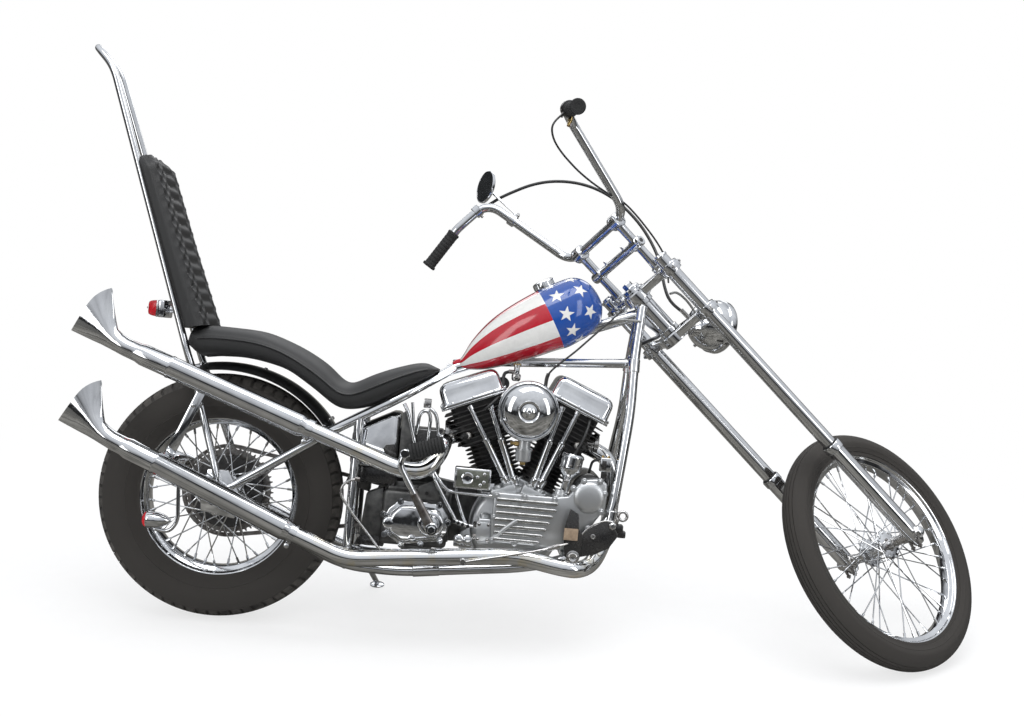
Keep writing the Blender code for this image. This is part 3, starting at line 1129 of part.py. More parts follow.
def handlebar():
    """Risers with their clamps, the tall handlebar, its grips, the right-hand control and the mirror."""
    top = Vector((0, 0, HEAD_TUBE_TOP))
    half = [Vector(point) + top for point in HANDLEBAR_PLACES]
    right = [Vector((p.x, -p.y, p.z)) for p in half]
    whole = right[::-1] + half
    bend = tube(whole, HANDLEBAR_TUBE, sides=8, bend=HANDLEBAR_BEND)
    hang(bend, "handlebar", CHROME, steering)
    clamp = Vector(CLAMP_PLACE) + top
    posts = []
    for hand in (-1, 1):
        middle = Vector((clamp.x, clamp.y * hand, clamp.z))
        foot = Vector((clamp.x, middle.y, HEAD_TUBE_TOP + 2 * GAP + TREE_THICKNESS))
        posts.append(bar(foot, middle, RISER_RADIUS, 10))
        posts.append(bar(middle - LEFT * CLAMP_HALF_WIDTH, middle + LEFT * CLAMP_HALF_WIDTH, CLAMP_RADIUS, 12))
    height = foot.z + (clamp.z - foot.z) * BRACE_HEIGHT_SHARE
    brace = bar(Vector((clamp.x, -clamp.y, height)), Vector((clamp.x, clamp.y, height)), BRACE_RADIUS, 8)
    reach = LEFT * (clamp.y + CLAMP_HALF_WIDTH + CUT_OVERRUN)
    middle = Vector((clamp.x, 0, clamp.z))
    bore = bar(middle - reach, middle + reach, clear_of(HANDLEBAR_TUBE, HUB_SIDES), HUB_SIDES)
    hang(cut(joined(posts[0], *posts[1:], brace), bore), "risers", CHROME, steering)

    end = half[-1]
    out = (half[-1] - half[-2]).normalized()
    for name, hand in (("right", -1), ("left", 1)):
        start = Vector((end.x, end.y * hand, end.z))
        way = Vector((out.x, out.y * hand, out.z))
        gap = way * GAP
        if hand < 0:
            housing = bar(start + gap, start + way * CONTROL_LENGTH, CONTROL_RADIUS, TURNED_SIDES)
            hang(housing, "right_control", BLACK_IRON, steering)
            start = start + way * CONTROL_LENGTH
        grip = turned(start + gap, way, ((0, GRIP_RADIUS), (GRIP_LENGTH, GRIP_RADIUS),
                                         (GRIP_LENGTH, GRIP_RADIUS * GRIP_FLANGE_SHARE),
                                         (GRIP_LENGTH + GRIP_END, GRIP_RADIUS * GRIP_FLANGE_SHARE)))
        hang(grip, name + "_grip", GRIP_RUBBER, steering)

    centre = Vector(MIRROR_PLACE) + top
    back = STEERING_FRAME.to_3x3().inverted() @ Vector((-1, 0, 0))
    head = turned(centre, back, ((-MIRROR_THICKNESS, MIRROR_RADIUS * MIRROR_BACK_SHARE), (0, MIRROR_RADIUS),
                                 (MIRROR_THICKNESS, MIRROR_RADIUS)), 16)
    low, high = half[MIRROR_SEGMENT], half[MIRROR_SEGMENT + 1]
    seat = low.lerp(high, MIRROR_CLAMP_SHARE)
    along = (high - low).normalized() * MIRROR_CLAMP_HALF
    ring = bar(seat - along, seat + along, HANDLEBAR_TUBE + MIRROR_CLAMP_WALL, 12)
    aside = (centre - seat) - along * (centre - seat).dot(along) / along.length_squared
    root = seat + aside.normalized() * (HANDLEBAR_TUBE + MIRROR_CLAMP_WALL / 2)
    stem = tube([root, centre], MIRROR_STEM, sides=6)
    bore = bar(seat - along * 2, seat + along * 2, clear_of(HANDLEBAR_TUBE, 12), 12)
    hang(cut(joined(ring, stem, head), bore), "mirror", CHROME, steering)

    low, high = half[LEVER_SEGMENT], half[LEVER_SEGMENT + 1]
    seat = low.lerp(high, LEVER_CLAMP_SHARE)
    along = (high - low).normalized() * MIRROR_CLAMP_HALF
    ring = bar(seat - along, seat + along, HANDLEBAR_TUBE + MIRROR_CLAMP_WALL, 12)
    perch = Vector(LEVER_STUB_PLACE) + top
    end = Vector(LEVER_END_PLACE) + top
    stub = bar(seat, perch, LEVER_STUB_RADIUS, 8)
    blade = bar(perch - (perch - seat).normalized() * LEVER_RADIUS, end, LEVER_RADIUS, 8)
    ball = turned(end, end - perch, [(-LEVER_BALL_RADIUS * math.cos(t), LEVER_BALL_RADIUS * math.sin(t))
                                     for t in (math.pi * (i + 1) / BALL_STEPS for i in range(BALL_STEPS - 1))], 8)
    bore = bar(seat - along * 2, seat + along * 2, clear_of(HANDLEBAR_TUBE, 12), 12)
    hang(cut(joined(ring, stub, blade, ball), bore), "left_lever", CHROME, steering)
    cable = tube([Vector(point) for point in CABLE_PLACES], CABLE_RADIUS, sides=6, bend=CABLE_BEND)
    hang(cable, "lever_cable", GRIP_RUBBER, steering)


def side_stand():
    """The stand's bracket on the left rail, and the leg whose foot lies flat on the floor."""
    pivot = place(STAND_PIVOT_SHARES)
    up = STANDING_TURN.to_3x3().inverted() @ Vector((0, 0, 1))
    foot = place(STAND_FOOT_SHARES)
    height = (STANDING_TURN @ foot).z + STANDING_HEIGHT
    foot = foot - up * height
    hinge = stand_hinge(pivot, foot)
    leg = bar(pivot, foot + up * STAND_PAD, STAND_LEG_RADIUS, 10)
    knuckle = bar(pivot - hinge * STAND_KNUCKLE_HALF, pivot + hinge * STAND_KNUCKLE_HALF, STAND_KNUCKLE_RADIUS, 12)
    pad = bar(foot, foot + up * STAND_PAD, STAND_FOOT_RADIUS, 16)
    hang(joined(knuckle, leg, pad), "side_stand", CHROME, stand_axis, pivot)


def stand_hinge(pivot, foot):
    """The side stand's hinge line, square to the leg when it is down and when it is folded back."""
    return (foot - pivot).cross(Vector(STAND_FOLDED_WAY)).normalized()


wheels()
axles()
frame()
tank()
seating()
engine()
engine_fittings()
drive()
exhausts()
brake_pedal()
marker_lamps()
fork()
handlebar()
side_stand()

# The origin is under the middle of the whole machine, on the floor.
bpy.context.view_layer.update()
points = [obj.matrix_world @ vertex.co for obj in bpy.data.objects if obj.type == "MESH"
          for vertex in obj.data.vertices]
shift = Vector(((min(p.x for p in points) + max(p.x for p in points)) / 2,
                (min(p.y for p in points) + max(p.y for p in points)) / 2,
                min(p.z for p in points)))
chassis.location -= shift
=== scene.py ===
"""Looks of a chopper motorcycle that leans on its side stand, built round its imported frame.

The machine's pieces are modelled in the upright machine's own axes, X ahead, Y to its left and Z up
from the floor under the rear axle, or in the steering's axes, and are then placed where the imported
model stands. Lengths are metres.
"""

from __future__ import annotations

import json
import logging
import math
from dataclasses import dataclass
from enum import Enum
from typing import Iterable, Sequence

import bmesh
import bpy
import numpy as np
from mathutils import Matrix, Quaternion, Vector

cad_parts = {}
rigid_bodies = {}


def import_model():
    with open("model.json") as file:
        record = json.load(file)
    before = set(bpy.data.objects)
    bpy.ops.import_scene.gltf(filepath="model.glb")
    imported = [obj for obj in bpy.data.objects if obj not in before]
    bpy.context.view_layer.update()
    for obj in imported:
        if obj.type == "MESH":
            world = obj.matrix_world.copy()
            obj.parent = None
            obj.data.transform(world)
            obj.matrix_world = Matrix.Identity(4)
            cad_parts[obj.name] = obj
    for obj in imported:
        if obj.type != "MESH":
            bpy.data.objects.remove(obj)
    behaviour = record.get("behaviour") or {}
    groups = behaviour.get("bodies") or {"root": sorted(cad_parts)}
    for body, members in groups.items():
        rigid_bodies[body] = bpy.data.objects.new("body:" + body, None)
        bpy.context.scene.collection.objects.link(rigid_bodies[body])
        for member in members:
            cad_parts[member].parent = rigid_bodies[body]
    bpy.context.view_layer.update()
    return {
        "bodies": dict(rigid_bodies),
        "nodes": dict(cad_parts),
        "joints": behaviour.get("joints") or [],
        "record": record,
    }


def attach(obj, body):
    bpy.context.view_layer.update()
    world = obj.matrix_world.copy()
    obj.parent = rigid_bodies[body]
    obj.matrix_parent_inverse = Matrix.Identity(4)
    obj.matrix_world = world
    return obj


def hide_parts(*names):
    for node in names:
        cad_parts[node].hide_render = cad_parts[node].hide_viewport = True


LOG = logging.getLogger("chopper")
RAKE = math.radians(47.9)
REAR_AXLE_HEIGHT = 0.33
HEAD_FOOT = (1.80873, 0.0, 0.31765)
SMOOTH_ANGLE = math.radians(38)
Point = Sequence[float]


class Axis(Enum):
    """Directions in a part's own axes."""

    AHEAD = (1.0, 0.0, 0.0)
    LEFT = (0.0, 1.0, 0.0)
    UP = (0.0, 0.0, 1.0)
    RIGHT = (0.0, -1.0, 0.0)


class Body(Enum):
    """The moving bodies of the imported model."""

    CHASSIS = "chassis"
    STEERING = "fork_and_handlebar"
    REAR = "rear_wheel"
    FRONT = "front_wheel"
    STAND = "side_stand"


class Shader:
    """A node tree in the making, with short ways to add and join its nodes."""

    def __init__(self, name: str) -> None:
        """Starts a material with one Principled shader."""
        self.material = bpy.data.materials.new(name)
        self.material.use_nodes = True
        self.nodes = self.material.node_tree.nodes
        self.links = self.material.node_tree.links
        self.shader = self.nodes["Principled BSDF"]
        self.place = self.nodes.new("ShaderNodeTexCoord").outputs["Object"]

    def set(self, **values: float | tuple[float, ...]) -> None:
        """Sets constant values on the shader's sockets, named with underscores for spaces."""
        for key, value in values.items():
            self.shader.inputs[key.replace("_", " ")].default_value = value

    def join(self, source: bpy.types.NodeSocket, target: str) -> None:
        """Feeds one of the shader's sockets."""
        self.links.new(source, self.shader.inputs[target])

    def noise(self, size: float, detail: float = 3.0, rough: float = 0.55,
              place: bpy.types.NodeSocket | None = None) -> bpy.types.NodeSocket:
        """Cloudy noise.

        Args:
            size: the size of a cloud, in metres.
            detail: how many finer layers it has.
            rough: how strong the finer layers are.
            place: the coordinates, or the object's own.

        Returns:
            The noise's value, about 0.5 on average.
        """
        node = self.nodes.new("ShaderNodeTexNoise")
        node.inputs["Scale"].default_value = 1.0 / size
        node.inputs["Detail"].default_value = detail
        node.inputs["Roughness"].default_value = rough
        self.links.new(place or self.place, node.inputs["Vector"])
        return node.outputs["Fac"]

    def cells(self, size: float, feature: str = "F1") -> bpy.types.NodeSocket:
        """The distance in a cell pattern of cells of a size, in metres."""
        node = self.nodes.new("ShaderNodeTexVoronoi")
        node.feature = feature
        node.inputs["Scale"].default_value = 1.0 / size
        self.links.new(self.place, node.inputs["Vector"])
        return node.outputs["Distance"]

    def spread(self, source: bpy.types.NodeSocket, low: float, high: float,
               start: float = 0.3, end: float = 0.7) -> bpy.types.NodeSocket:
        """A value mapped from one range to another, held at its ends."""
        node = self.nodes.new("ShaderNodeMapRange")
        for key, value in (("From Min", start), ("From Max", end), ("To Min", low), ("To Max", high)):
            node.inputs[key].default_value = value
        self.links.new(source, node.inputs["Value"])
        return node.outputs["Result"]

    def ramp(self, source: bpy.types.NodeSocket,
             stops: Sequence[tuple[float, tuple[float, float, float]]],
             sharp: bool = False) -> bpy.types.NodeSocket:
        """Colours along a value.

        Args:
            source: the value.
            stops: where each colour stands, and the colour.
            sharp: whether the colours meet at edges instead of blending.

        Returns:
            The colour.
        """
        node = self.nodes.new("ShaderNodeValToRGB")
        node.color_ramp.interpolation = "CONSTANT" if sharp else "LINEAR"
        elements = node.color_ramp.elements
        while len(elements) < len(stops):
            elements.new(1.0)
        for element, (at, colour) in zip(elements, stops):
            element.position = at
            element.color = (*colour, 1.0)
        self.links.new(source, node.inputs["Fac"])
        return node.outputs["Color"]

    def mix(self, share: bpy.types.NodeSocket, first: bpy.types.NodeSocket | tuple[float, float, float],
            second: bpy.types.NodeSocket | tuple[float, float, float]) -> bpy.types.NodeSocket:
        """Two colours mixed by a share."""
        node = self.nodes.new("ShaderNodeMix")
        node.data_type = "RGBA"
        self.links.new(share, node.inputs[0])
        for value, index in ((first, 6), (second, 7)):
            if isinstance(value, tuple):
                node.inputs[index].default_value = (*value, 1.0)
            else:
                self.links.new(value, node.inputs[index])
        return node.outputs[2]

    def maths(self, operation: str, first: bpy.types.NodeSocket | float,
              second: bpy.types.NodeSocket | float = 0.0) -> bpy.types.NodeSocket:
        """One sum of two values."""
        node = self.nodes.new("ShaderNodeMath")
        node.operation = operation
        for value, socket in ((first, node.inputs[0]), (second, node.inputs[1])):
            if isinstance(value, (int, float)):
                socket.default_value = value
            else:
                self.links.new(value, socket)
        return node.outputs[0]

    def attribute(self, name: str) -> bpy.types.NodeSocket:
        """A value that the piece carries at its points."""
        node = self.nodes.new("ShaderNodeAttribute")
        node.attribute_name = name
        return node.outputs["Fac"]

    def bump(self, height: bpy.types.NodeSocket, depth: float, strength: float = 1.0) -> None:
        """Relief of a depth, in metres."""
        node = self.nodes.new("ShaderNodeBump")
        node.inputs["Distance"].default_value = depth
        node.inputs["Strength"].default_value = strength
        self.links.new(height, node.inputs["Height"])
        self.join(node.outputs["Normal"], "Normal")


@dataclass(frozen=True)
class Finish:
    """A surface's colour, gloss, clouding and grain."""

    name: str
    colour: tuple[float, float, float]
    other: tuple[float, float, float]
    roughness: tuple[float, float]
    metallic: float = 0.0
    coat: float = 0.0
    cloud: float = 0.06
    grain: float = 0.0
    depth: float = 0.0
    cellular: bool = False

    def make(self) -> bpy.types.Material:
        """The finish as a material."""
        made = bpy.data.materials.get(self.name)
        if made:
            return made
        shader = Shader(self.name)
        shader.set(Metallic=self.metallic, Coat_Weight=self.coat)
        cloud = shader.noise(self.cloud, 4.0)
        shader.join(shader.mix(shader.spread(cloud, 0.0, 1.0), self.colour, self.other), "Base Color")
        fine = shader.noise(self.cloud / 6, 5.0, 0.65)
        shader.join(shader.spread(fine, *self.roughness), "Roughness")
        if self.depth:
            height = (shader.cells(self.grain, "SMOOTH_F1") if self.cellular
                      else shader.noise(self.grain, 4.0, 0.6))
            shader.bump(height, self.depth)
        shader.material.diffuse_color = (*self.colour, 1.0)
        return shader.material


@dataclass(frozen=True)
class HeatedPipe:
    """Chrome that engine heat has turned straw, bronze and blue, from the piece's heat at each point."""

    name: str = "heated_chrome"

    def make(self) -> bpy.types.Material:
        """The finish as a material."""
        made = bpy.data.materials.get(self.name)
        if made:
            return made
        shader = Shader(self.name)
        shader.set(Metallic=1.0)
        wander = shader.spread(shader.noise(0.035, 4.0), -0.12, 0.12)
        heat = shader.maths("ADD", shader.attribute("heat"), wander)
        colour = shader.ramp(heat, (
            (0.0, (0.8, 0.81, 0.82)), (0.16, (0.84, 0.77, 0.6)), (0.32, (0.78, 0.56, 0.27)),
            (0.52, (0.52, 0.3, 0.13)), (0.66, (0.32, 0.25, 0.3)), (0.82, (0.2, 0.31, 0.52)),
            (1.0, (0.13, 0.2, 0.38)),
        ))
        shader.join(colour, "Base Color")
        rough = shader.maths("ADD", shader.spread(shader.noise(0.008, 5.0), 0.04, 0.1),
                             shader.maths("MULTIPLY", heat, 0.12))
        shader.join(rough, "Roughness")
        return shader.material


@dataclass(frozen=True)
class TankPaint:
    """Gloss paint in stripes, with a blue front, from the piece's stripe height and length."""

    name: str = "striped_paint"
    red: tuple[float, float, float] = (0.46, 0.01, 0.024)
    white: tuple[float, float, float] = (0.8, 0.79, 0.76)
    blue: tuple[float, float, float] = (0.01, 0.072, 0.34)
    bands: tuple[float, ...] = (0.162, 0.174, 0.187, 0.178, 0.176, 0.123)
    blue_start: float = 0.8405

    def make(self) -> bpy.types.Material:
        """The finish as a material."""
        shader = Shader(self.name)
        shader.set(Roughness=0.16, Coat_Weight=0.7, Coat_Roughness=0.04)
        stops = []
        edge = 0.0
        for index, share in enumerate(self.bands):
            stops.append((edge, self.red if index % 2 == 0 else self.white))
            edge += share
        stripes = shader.ramp(shader.attribute("stripe"), stops, sharp=True)
        front = shader.maths("GREATER_THAN", shader.attribute("length"), self.blue_start)
        body = shader.mix(front, stripes, self.blue)
        speck = shader.spread(shader.noise(0.012, 4.0, 0.7), 0.0, 0.1)
        shader.join(shader.mix(speck, body, (0.1, 0.08, 0.07)), "Base Color")
        shader.material.diffuse_color = (*self.red, 1.0)
        return shader.material


@dataclass(frozen=True)
class Clear:
    """Glass or a clear coloured lens."""

    name: str
    colour: tuple[float, float, float]
    roughness: float = 0.03
    through: float = 1.0

    def make(self) -> bpy.types.Material:
        """The finish as a material."""
        made = bpy.data.materials.get(self.name)
        if made:
            return made
        shader = Shader(self.name)
        shader.set(Base_Color=(*self.colour, 1.0), Transmission_Weight=self.through, IOR=1.48,
                   Roughness=self.roughness)
        shader.bump(shader.cells(0.004), 0.0004)
        return shader.material


CHROME = Finish("polished_chrome", (0.8, 0.81, 0.82), (0.66, 0.67, 0.69), (0.03, 0.1), 1.0, cloud=0.05)
WORN_CHROME = Finish("worn_chrome", (0.72, 0.72, 0.72), (0.52, 0.5, 0.48), (0.12, 0.32), 1.0, cloud=0.03,
                     grain=0.004, depth=0.00006)
ALUMINIUM = Finish("cast_aluminium", (0.54, 0.54, 0.53), (0.24, 0.24, 0.235), (0.2, 0.42), 1.0, cloud=0.022,
                   grain=0.0016, depth=0.00012)
POLISHED = Finish("polished_aluminium", (0.7, 0.7, 0.69), (0.36, 0.36, 0.35), (0.12, 0.28), 1.0, cloud=0.018,
                  grain=0.0012, depth=0.00008)
CASTING = Finish("dark_casting", (0.16, 0.16, 0.155), (0.055, 0.055, 0.055), (0.32, 0.55), 0.8, cloud=0.03,
                 grain=0.0016, depth=0.00015)
STEEL = Finish("oiled_steel", (0.4, 0.39, 0.38), (0.16, 0.14, 0.13), (0.25, 0.45), 1.0, cloud=0.02,
               grain=0.003, depth=0.0001)
BLACK_IRON = Finish("black_fins", (0.03, 0.03, 0.031), (0.075, 0.072, 0.07), (0.32, 0.55), 0.35, cloud=0.03,
                    grain=0.002, depth=0.0001)
BLACK_PAINT = Finish("black_enamel", (0.012, 0.012, 0.013), (0.03, 0.028, 0.026), (0.16, 0.34), 0.0, 0.4,
                     cloud=0.06)
TYRE = Finish("tyre_rubber", (0.018, 0.016, 0.014), (0.046, 0.04, 0.034), (0.58, 0.82), cloud=0.05,
              grain=0.0012, depth=0.00012)
TREAD = Finish("worn_tread", (0.032, 0.029, 0.026), (0.088, 0.08, 0.07), (0.7, 0.92), cloud=0.03,
               grain=0.002, depth=0.0002)
GRIP = Finish("grip_rubber", (0.014, 0.014, 0.014), (0.03, 0.029, 0.028), (0.5, 0.72), cloud=0.02,
              grain=0.001, depth=0.0001)
CABLE = Finish("cable_sheath", (0.012, 0.012, 0.012), (0.028, 0.028, 0.028), (0.3, 0.5), cloud=0.02)
BRAIDED = Finish("braided_sheath", (0.45, 0.45, 0.44), (0.2, 0.2, 0.19), (0.3, 0.5), 0.7, cloud=0.004,
                 grain=0.002, depth=0.0003)
LEATHER = Finish("black_leather", (0.008, 0.008, 0.009), (0.02, 0.02, 0.021), (0.3, 0.46), 0.0, 0.12,
                 cloud=0.05, grain=0.0028, depth=0.00035, cellular=True)
PIPING = Finish("leather_piping", (0.008, 0.008, 0.008), (0.018, 0.018, 0.018), (0.25, 0.42), cloud=0.03)
BRASS = Finish("dull_brass", (0.62, 0.46, 0.2), (0.4, 0.28, 0.12), (0.22, 0.42), 1.0, cloud=0.02)
# Near-black glass: on the round mirror it is a painted dark reflection in place of a silvered face, and the
# headlamp bulb takes the same glass.
GLASS_WITH_PAINTED_DARK_REFLECTION = Finish("mirror_glass", (0.01, 0.011, 0.012), (0.03, 0.031, 0.032), (0.02, 0.05), 0.0,
                0.6, cloud=0.08)
PAD = Finish("buff_pad", (0.34, 0.25, 0.17), (0.2, 0.14, 0.09), (0.55, 0.75), cloud=0.01)
STAR_WHITE = Finish("white_paint", (0.8, 0.79, 0.76), (0.7, 0.69, 0.66), (0.14, 0.22), 0.0, 0.6, cloud=0.05)
HEATED = HeatedPipe()
RED_LENS = Clear("red_lens", (0.55, 0.006, 0.012), 0.08, 0.75)
HEADLAMP_GLASS = Clear("headlamp_glass", (0.92, 0.94, 0.96), 0.02, 1.0)


class Bench:
    """Modelling tools for the pieces of one body, in that part's own axes."""

    def __init__(self, place: Matrix, body: Body) -> None:
        """Takes the matrix from the part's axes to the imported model's, and the body."""
        self.place = place
        self.body = body

    @staticmethod
    def clear() -> None:
        """Leaves edit mode, with nothing selected."""
        if bpy.context.object and bpy.context.object.mode == "EDIT":
            bpy.ops.object.mode_set(mode="OBJECT")
        bpy.ops.object.select_all(action="DESELECT")

    @staticmethod
    def hold(piece: bpy.types.Object) -> None:
        """Selects one piece and makes it active."""
        Bench.clear()
        piece.select_set(True)
        bpy.context.view_layer.objects.active = piece

    @staticmethod
    def tidy(piece: bpy.types.Object, merge: float = 0.0) -> bpy.types.Object:
        """Merges doubled points if asked, points the faces outwards and leaves edit mode."""
        Bench.hold(piece)
        bpy.ops.object.mode_set(mode="EDIT")
        bpy.ops.mesh.select_all(action="SELECT")
        if merge:
            bpy.ops.mesh.remove_doubles(threshold=merge)
        bpy.ops.mesh.normals_make_consistent(inside=False)
        bpy.ops.object.mode_set(mode="OBJECT")
        return piece

    @staticmethod
    def circle(centre: Vector, axis: Vector, radius: float, sides: int, filled: bool) -> bpy.types.Object:
        """Adds a circle square to an axis, with its place in its mesh."""
        Bench.clear()
        bpy.ops.mesh.primitive_circle_add(
            vertices=sides, radius=radius, fill_type="NGON" if filled else "NOTHING", location=centre,
            rotation=axis.to_track_quat("Z", "Y").to_euler())
        bpy.ops.object.transform_apply(location=True, rotation=True, scale=True)
        return bpy.context.object

    def turned(self, base: Point, axis: Point, profile: Sequence[tuple[float, float]],
               sides: int = 40) -> bpy.types.Object:
        """A solid of revolution, extruded and scaled step by step from a filled circle.

        Args:
            base: where its axis starts.
            axis: the way it points.
            profile: pairs of distance along the axis and radius. A last radius of zero closes to a point.
            sides: corners round it.

        Returns:
            The closed piece.
        """
        foot, way = Vector(base), Vector(axis).normalized()
        piece = self.circle(foot + way * profile[0][0], way, profile[0][1], sides, True)
        bpy.ops.object.mode_set(mode="EDIT")
        bpy.ops.mesh.select_all(action="SELECT")
        for (start, before), (end, after) in zip(profile, profile[1:]):
            bpy.ops.mesh.extrude_region_move(TRANSFORM_OT_translate={"value": way * (end - start)})
            if after == 0:
                bpy.ops.mesh.merge(type="CENTER")
            elif abs(after - before) > 1e-7:
                bpy.ops.transform.resize(value=(after / before,) * 3, center_override=foot + way * end)
        bpy.ops.mesh.select_all(action="SELECT")
        bpy.ops.mesh.normals_make_consistent(inside=False)
        bpy.ops.object.mode_set(mode="OBJECT")
        return piece

    def hoop(self, centre: Point, axis: Point, outline: Sequence[tuple[float, float]],
             sides: int = 96) -> bpy.types.Object:
        """A ring of revolution, extruded round a closed outline and bridged to its start.

        Args:
            centre: a point on its axis.
            axis: the way its axis points.
            outline: pairs of distance along the axis and radius, in order round the section.
            sides: corners round it.

        Returns:
            The closed ring.
        """
        foot, way = Vector(centre), Vector(axis).normalized()
        piece = self.circle(foot + way * outline[0][0], way, outline[0][1], sides, False)
        bpy.ops.object.mode_set(mode="EDIT")
        bpy.ops.mesh.select_mode(type="EDGE")
        bpy.ops.mesh.select_all(action="SELECT")
        for (start, before), (end, after) in zip(outline, outline[1:]):
            bpy.ops.mesh.extrude_region_move(TRANSFORM_OT_translate={"value": way * (end - start)})
            bpy.ops.transform.resize(value=(after / before,) * 3, center_override=foot + way * end)
        bpy.ops.mesh.select_all(action="DESELECT")
        bpy.ops.mesh.select_non_manifold()
        bpy.ops.mesh.bridge_edge_loops()
        bpy.ops.mesh.select_all(action="SELECT")
        bpy.ops.mesh.normals_make_consistent(inside=False)
        bpy.ops.mesh.select_mode(type="VERT")
        bpy.ops.object.mode_set(mode="OBJECT")
        return piece

    def bar(self, start: Point, end: Point, radius: float, sides: int = 20,
            ease: float = 0.0) -> bpy.types.Object:
        """A straight round bar, with eased ends if asked."""
        foot, tip = Vector(start), Vector(end)
        length = (tip - foot).length
        if ease:
            profile = ((0.0, radius - ease), (ease, radius), (length - ease, radius), (length, radius - ease))
        else:
            profile = ((0.0, radius), (length, radius))
        return self.turned(foot, tip - foot, profile, sides)

    @staticmethod
    def rounded(route: Sequence[Point], bend: float, steps: int) -> list[Vector]:
        """A route with each corner eased over a distance along its two sides."""
        points = [Vector(point) for point in route]
        eased = [points[0]]
        for before, corner, after in zip(points, points[1:], points[2:]):
            reach_in = min(bend, (before - corner).length / 2)
            reach_out = min(bend, (after - corner).length / 2)
            start = corner + (before - corner).normalized() * reach_in
            end = corner + (after - corner).normalized() * reach_out
            for i in range(steps + 1):
                t = i / steps
                eased.append(start.lerp(corner, t).lerp(corner.lerp(end, t), t))
        eased.append(points[-1])
        kept = [eased[0]]
        for point in eased[1:]:
            if (point - kept[-1]).length > 1e-5:
                kept.append(point)
        return kept

    def tube(self, route: Sequence[Point], radius: float, bend: float = 0.0, sides: int = 16,
             steps: int = 7, taper: Sequence[float] | None = None) -> bpy.types.Object:
        """A round tube along a route, drawn as a curve with a round section and made a mesh.

        Args:
            route: its corner points.
            radius: its radius.
            bend: how far along its sides each corner is eased.
            sides: corners round it.
            steps: pieces in each eased corner.
            taper: shares of the radius along the route, spread evenly by length.

        Returns:
            The closed tube.
        """
        path = self.rounded(route, bend, steps) if bend else [Vector(point) for point in route]
        self.clear()
        bpy.ops.curve.primitive_nurbs_path_add()
        line = bpy.context.object
        data = line.data
        data.splines.clear()
        spline = data.splines.new("POLY")
        spline.points.add(len(path) - 1)
        run = [0.0]
        for first, second in zip(path, path[1:]):
            run.append(run[-1] + (second - first).length)
        for point, place, at in zip(spline.points, path, run):
            point.co = (*place, 1.0)
            if taper:
                point.radius = float(np.interp(at / run[-1], np.linspace(0, 1, len(taper)), taper))
        data.dimensions = "3D"
        data.bevel_depth = radius
        data.bevel_resolution = max(0, (sides - 4) // 2)
        data.use_fill_caps = True
        bpy.ops.object.convert(target="MESH")
        return self.tidy(bpy.context.object, 1e-6)

    def loft(self, rings: Sequence[Sequence[Point]]) -> bpy.types.Object:
        """A skin over rings of equal counts: a filled ring is extruded, its corners placed, ring by ring."""
        count = len(rings[0])
        piece = self.circle(Vector(), Vector((0, 0, 1)), 1.0, count, True)
        bpy.ops.object.mode_set(mode="EDIT")
        work = bmesh.from_edit_mesh(piece.data)
        work.verts.ensure_lookup_table()
        order = list(range(count))
        corners = [work.verts[i] for i in order]
        for vertex, point in zip(corners, rings[0]):
            vertex.co = point
        for ring in rings[1:]:
            bpy.ops.mesh.extrude_region_move(TRANSFORM_OT_translate={"value": (0, 0, 0)})
            work = bmesh.from_edit_mesh(piece.data)
            work.verts.ensure_lookup_table()
            fresh = [vertex for vertex in work.verts if vertex.select]
            old = [work.verts[i] for i in order]
            partner = {}
            for vertex in fresh:
                for edge in vertex.link_edges:
                    other = edge.other_vert(vertex)
                    if not other.select:
                        partner[other.index] = vertex
            corners = [partner[vertex.index] for vertex in old]
            for vertex, point in zip(corners, ring):
                vertex.co = point
            work.verts.index_update()
            order = [vertex.index for vertex in corners]
            bmesh.update_edit_mesh(piece.data)
        bpy.ops.mesh.select_all(action="SELECT")
        bpy.ops.mesh.normals_make_consistent(inside=False)
        bpy.ops.object.mode_set(mode="OBJECT")
        return piece

    def plate(self, outline: Sequence[tuple[float, float]], low: float, high: float, ease: float = 0.0,
              segments: int = 2) -> bpy.types.Object:
        """A flat shape in X and Z with thickness across Y, its edges eased if asked."""
        piece = self.loft([[(x, y, z) for x, z in outline] for y in (low, high)])
        return self.eased(piece, ease, segments) if ease else piece

    def block(self, low: Point, high: Point, ease: float = 0.0, segments: int = 2) -> bpy.types.Object:
        """A box between two corners, its edges eased if asked."""
        first, second = Vector(low), Vector(high)
        self.clear()
        bpy.ops.mesh.primitive_cube_add(size=1.0, location=(first + second) / 2, scale=second - first)
        bpy.ops.object.transform_apply(location=True, rotation=True, scale=True)
        piece = bpy.context.object
        return self.eased(piece, ease, segments) if ease else piece

    @staticmethod
    def apply(piece: bpy.types.Object, kind: str, **settings: object) -> bpy.types.Object:
        """Adds a modifier with settings, and applies it."""
        Bench.hold(piece)
        modifier = piece.modifiers.new(kind.lower(), kind)
        for key, value in settings.items():
            setattr(modifier, key, value)
        bpy.ops.object.modifier_apply(modifier=modifier.name)
        return piece

    @staticmethod
    def eased(piece: bpy.types.Object, width: float, segments: int = 2,
              angle: float = 30.0) -> bpy.types.Object:
        """A piece with its sharp edges rounded over a width."""
        return Bench.apply(piece, "BEVEL", width=width, segments=segments, limit_method="ANGLE",
                           angle_limit=math.radians(angle), harden_normals=False)

    @staticmethod
    def cut(piece: bpy.types.Object, tool: bpy.types.Object) -> bpy.types.Object:
        """A piece with a tool's shape cut out of it, and the tool removed."""
        Bench.apply(piece, "BOOLEAN", operation="DIFFERENCE", solver="EXACT", object=tool)
        bpy.data.objects.remove(tool)
        return piece

    @staticmethod
    def copies(piece: bpy.types.Object, places: Iterable[Matrix]) -> list[bpy.types.Object]:
        """Copies of a piece, each with its own mesh, moved by a matrix. The first piece is used up."""
        made = []
        for place in places:
            Bench.hold(piece)
            bpy.ops.object.duplicate(linked=False)
            copy = bpy.context.object
            copy.data.transform(place)
            made.append(copy)
        bpy.data.objects.remove(piece)
        return made

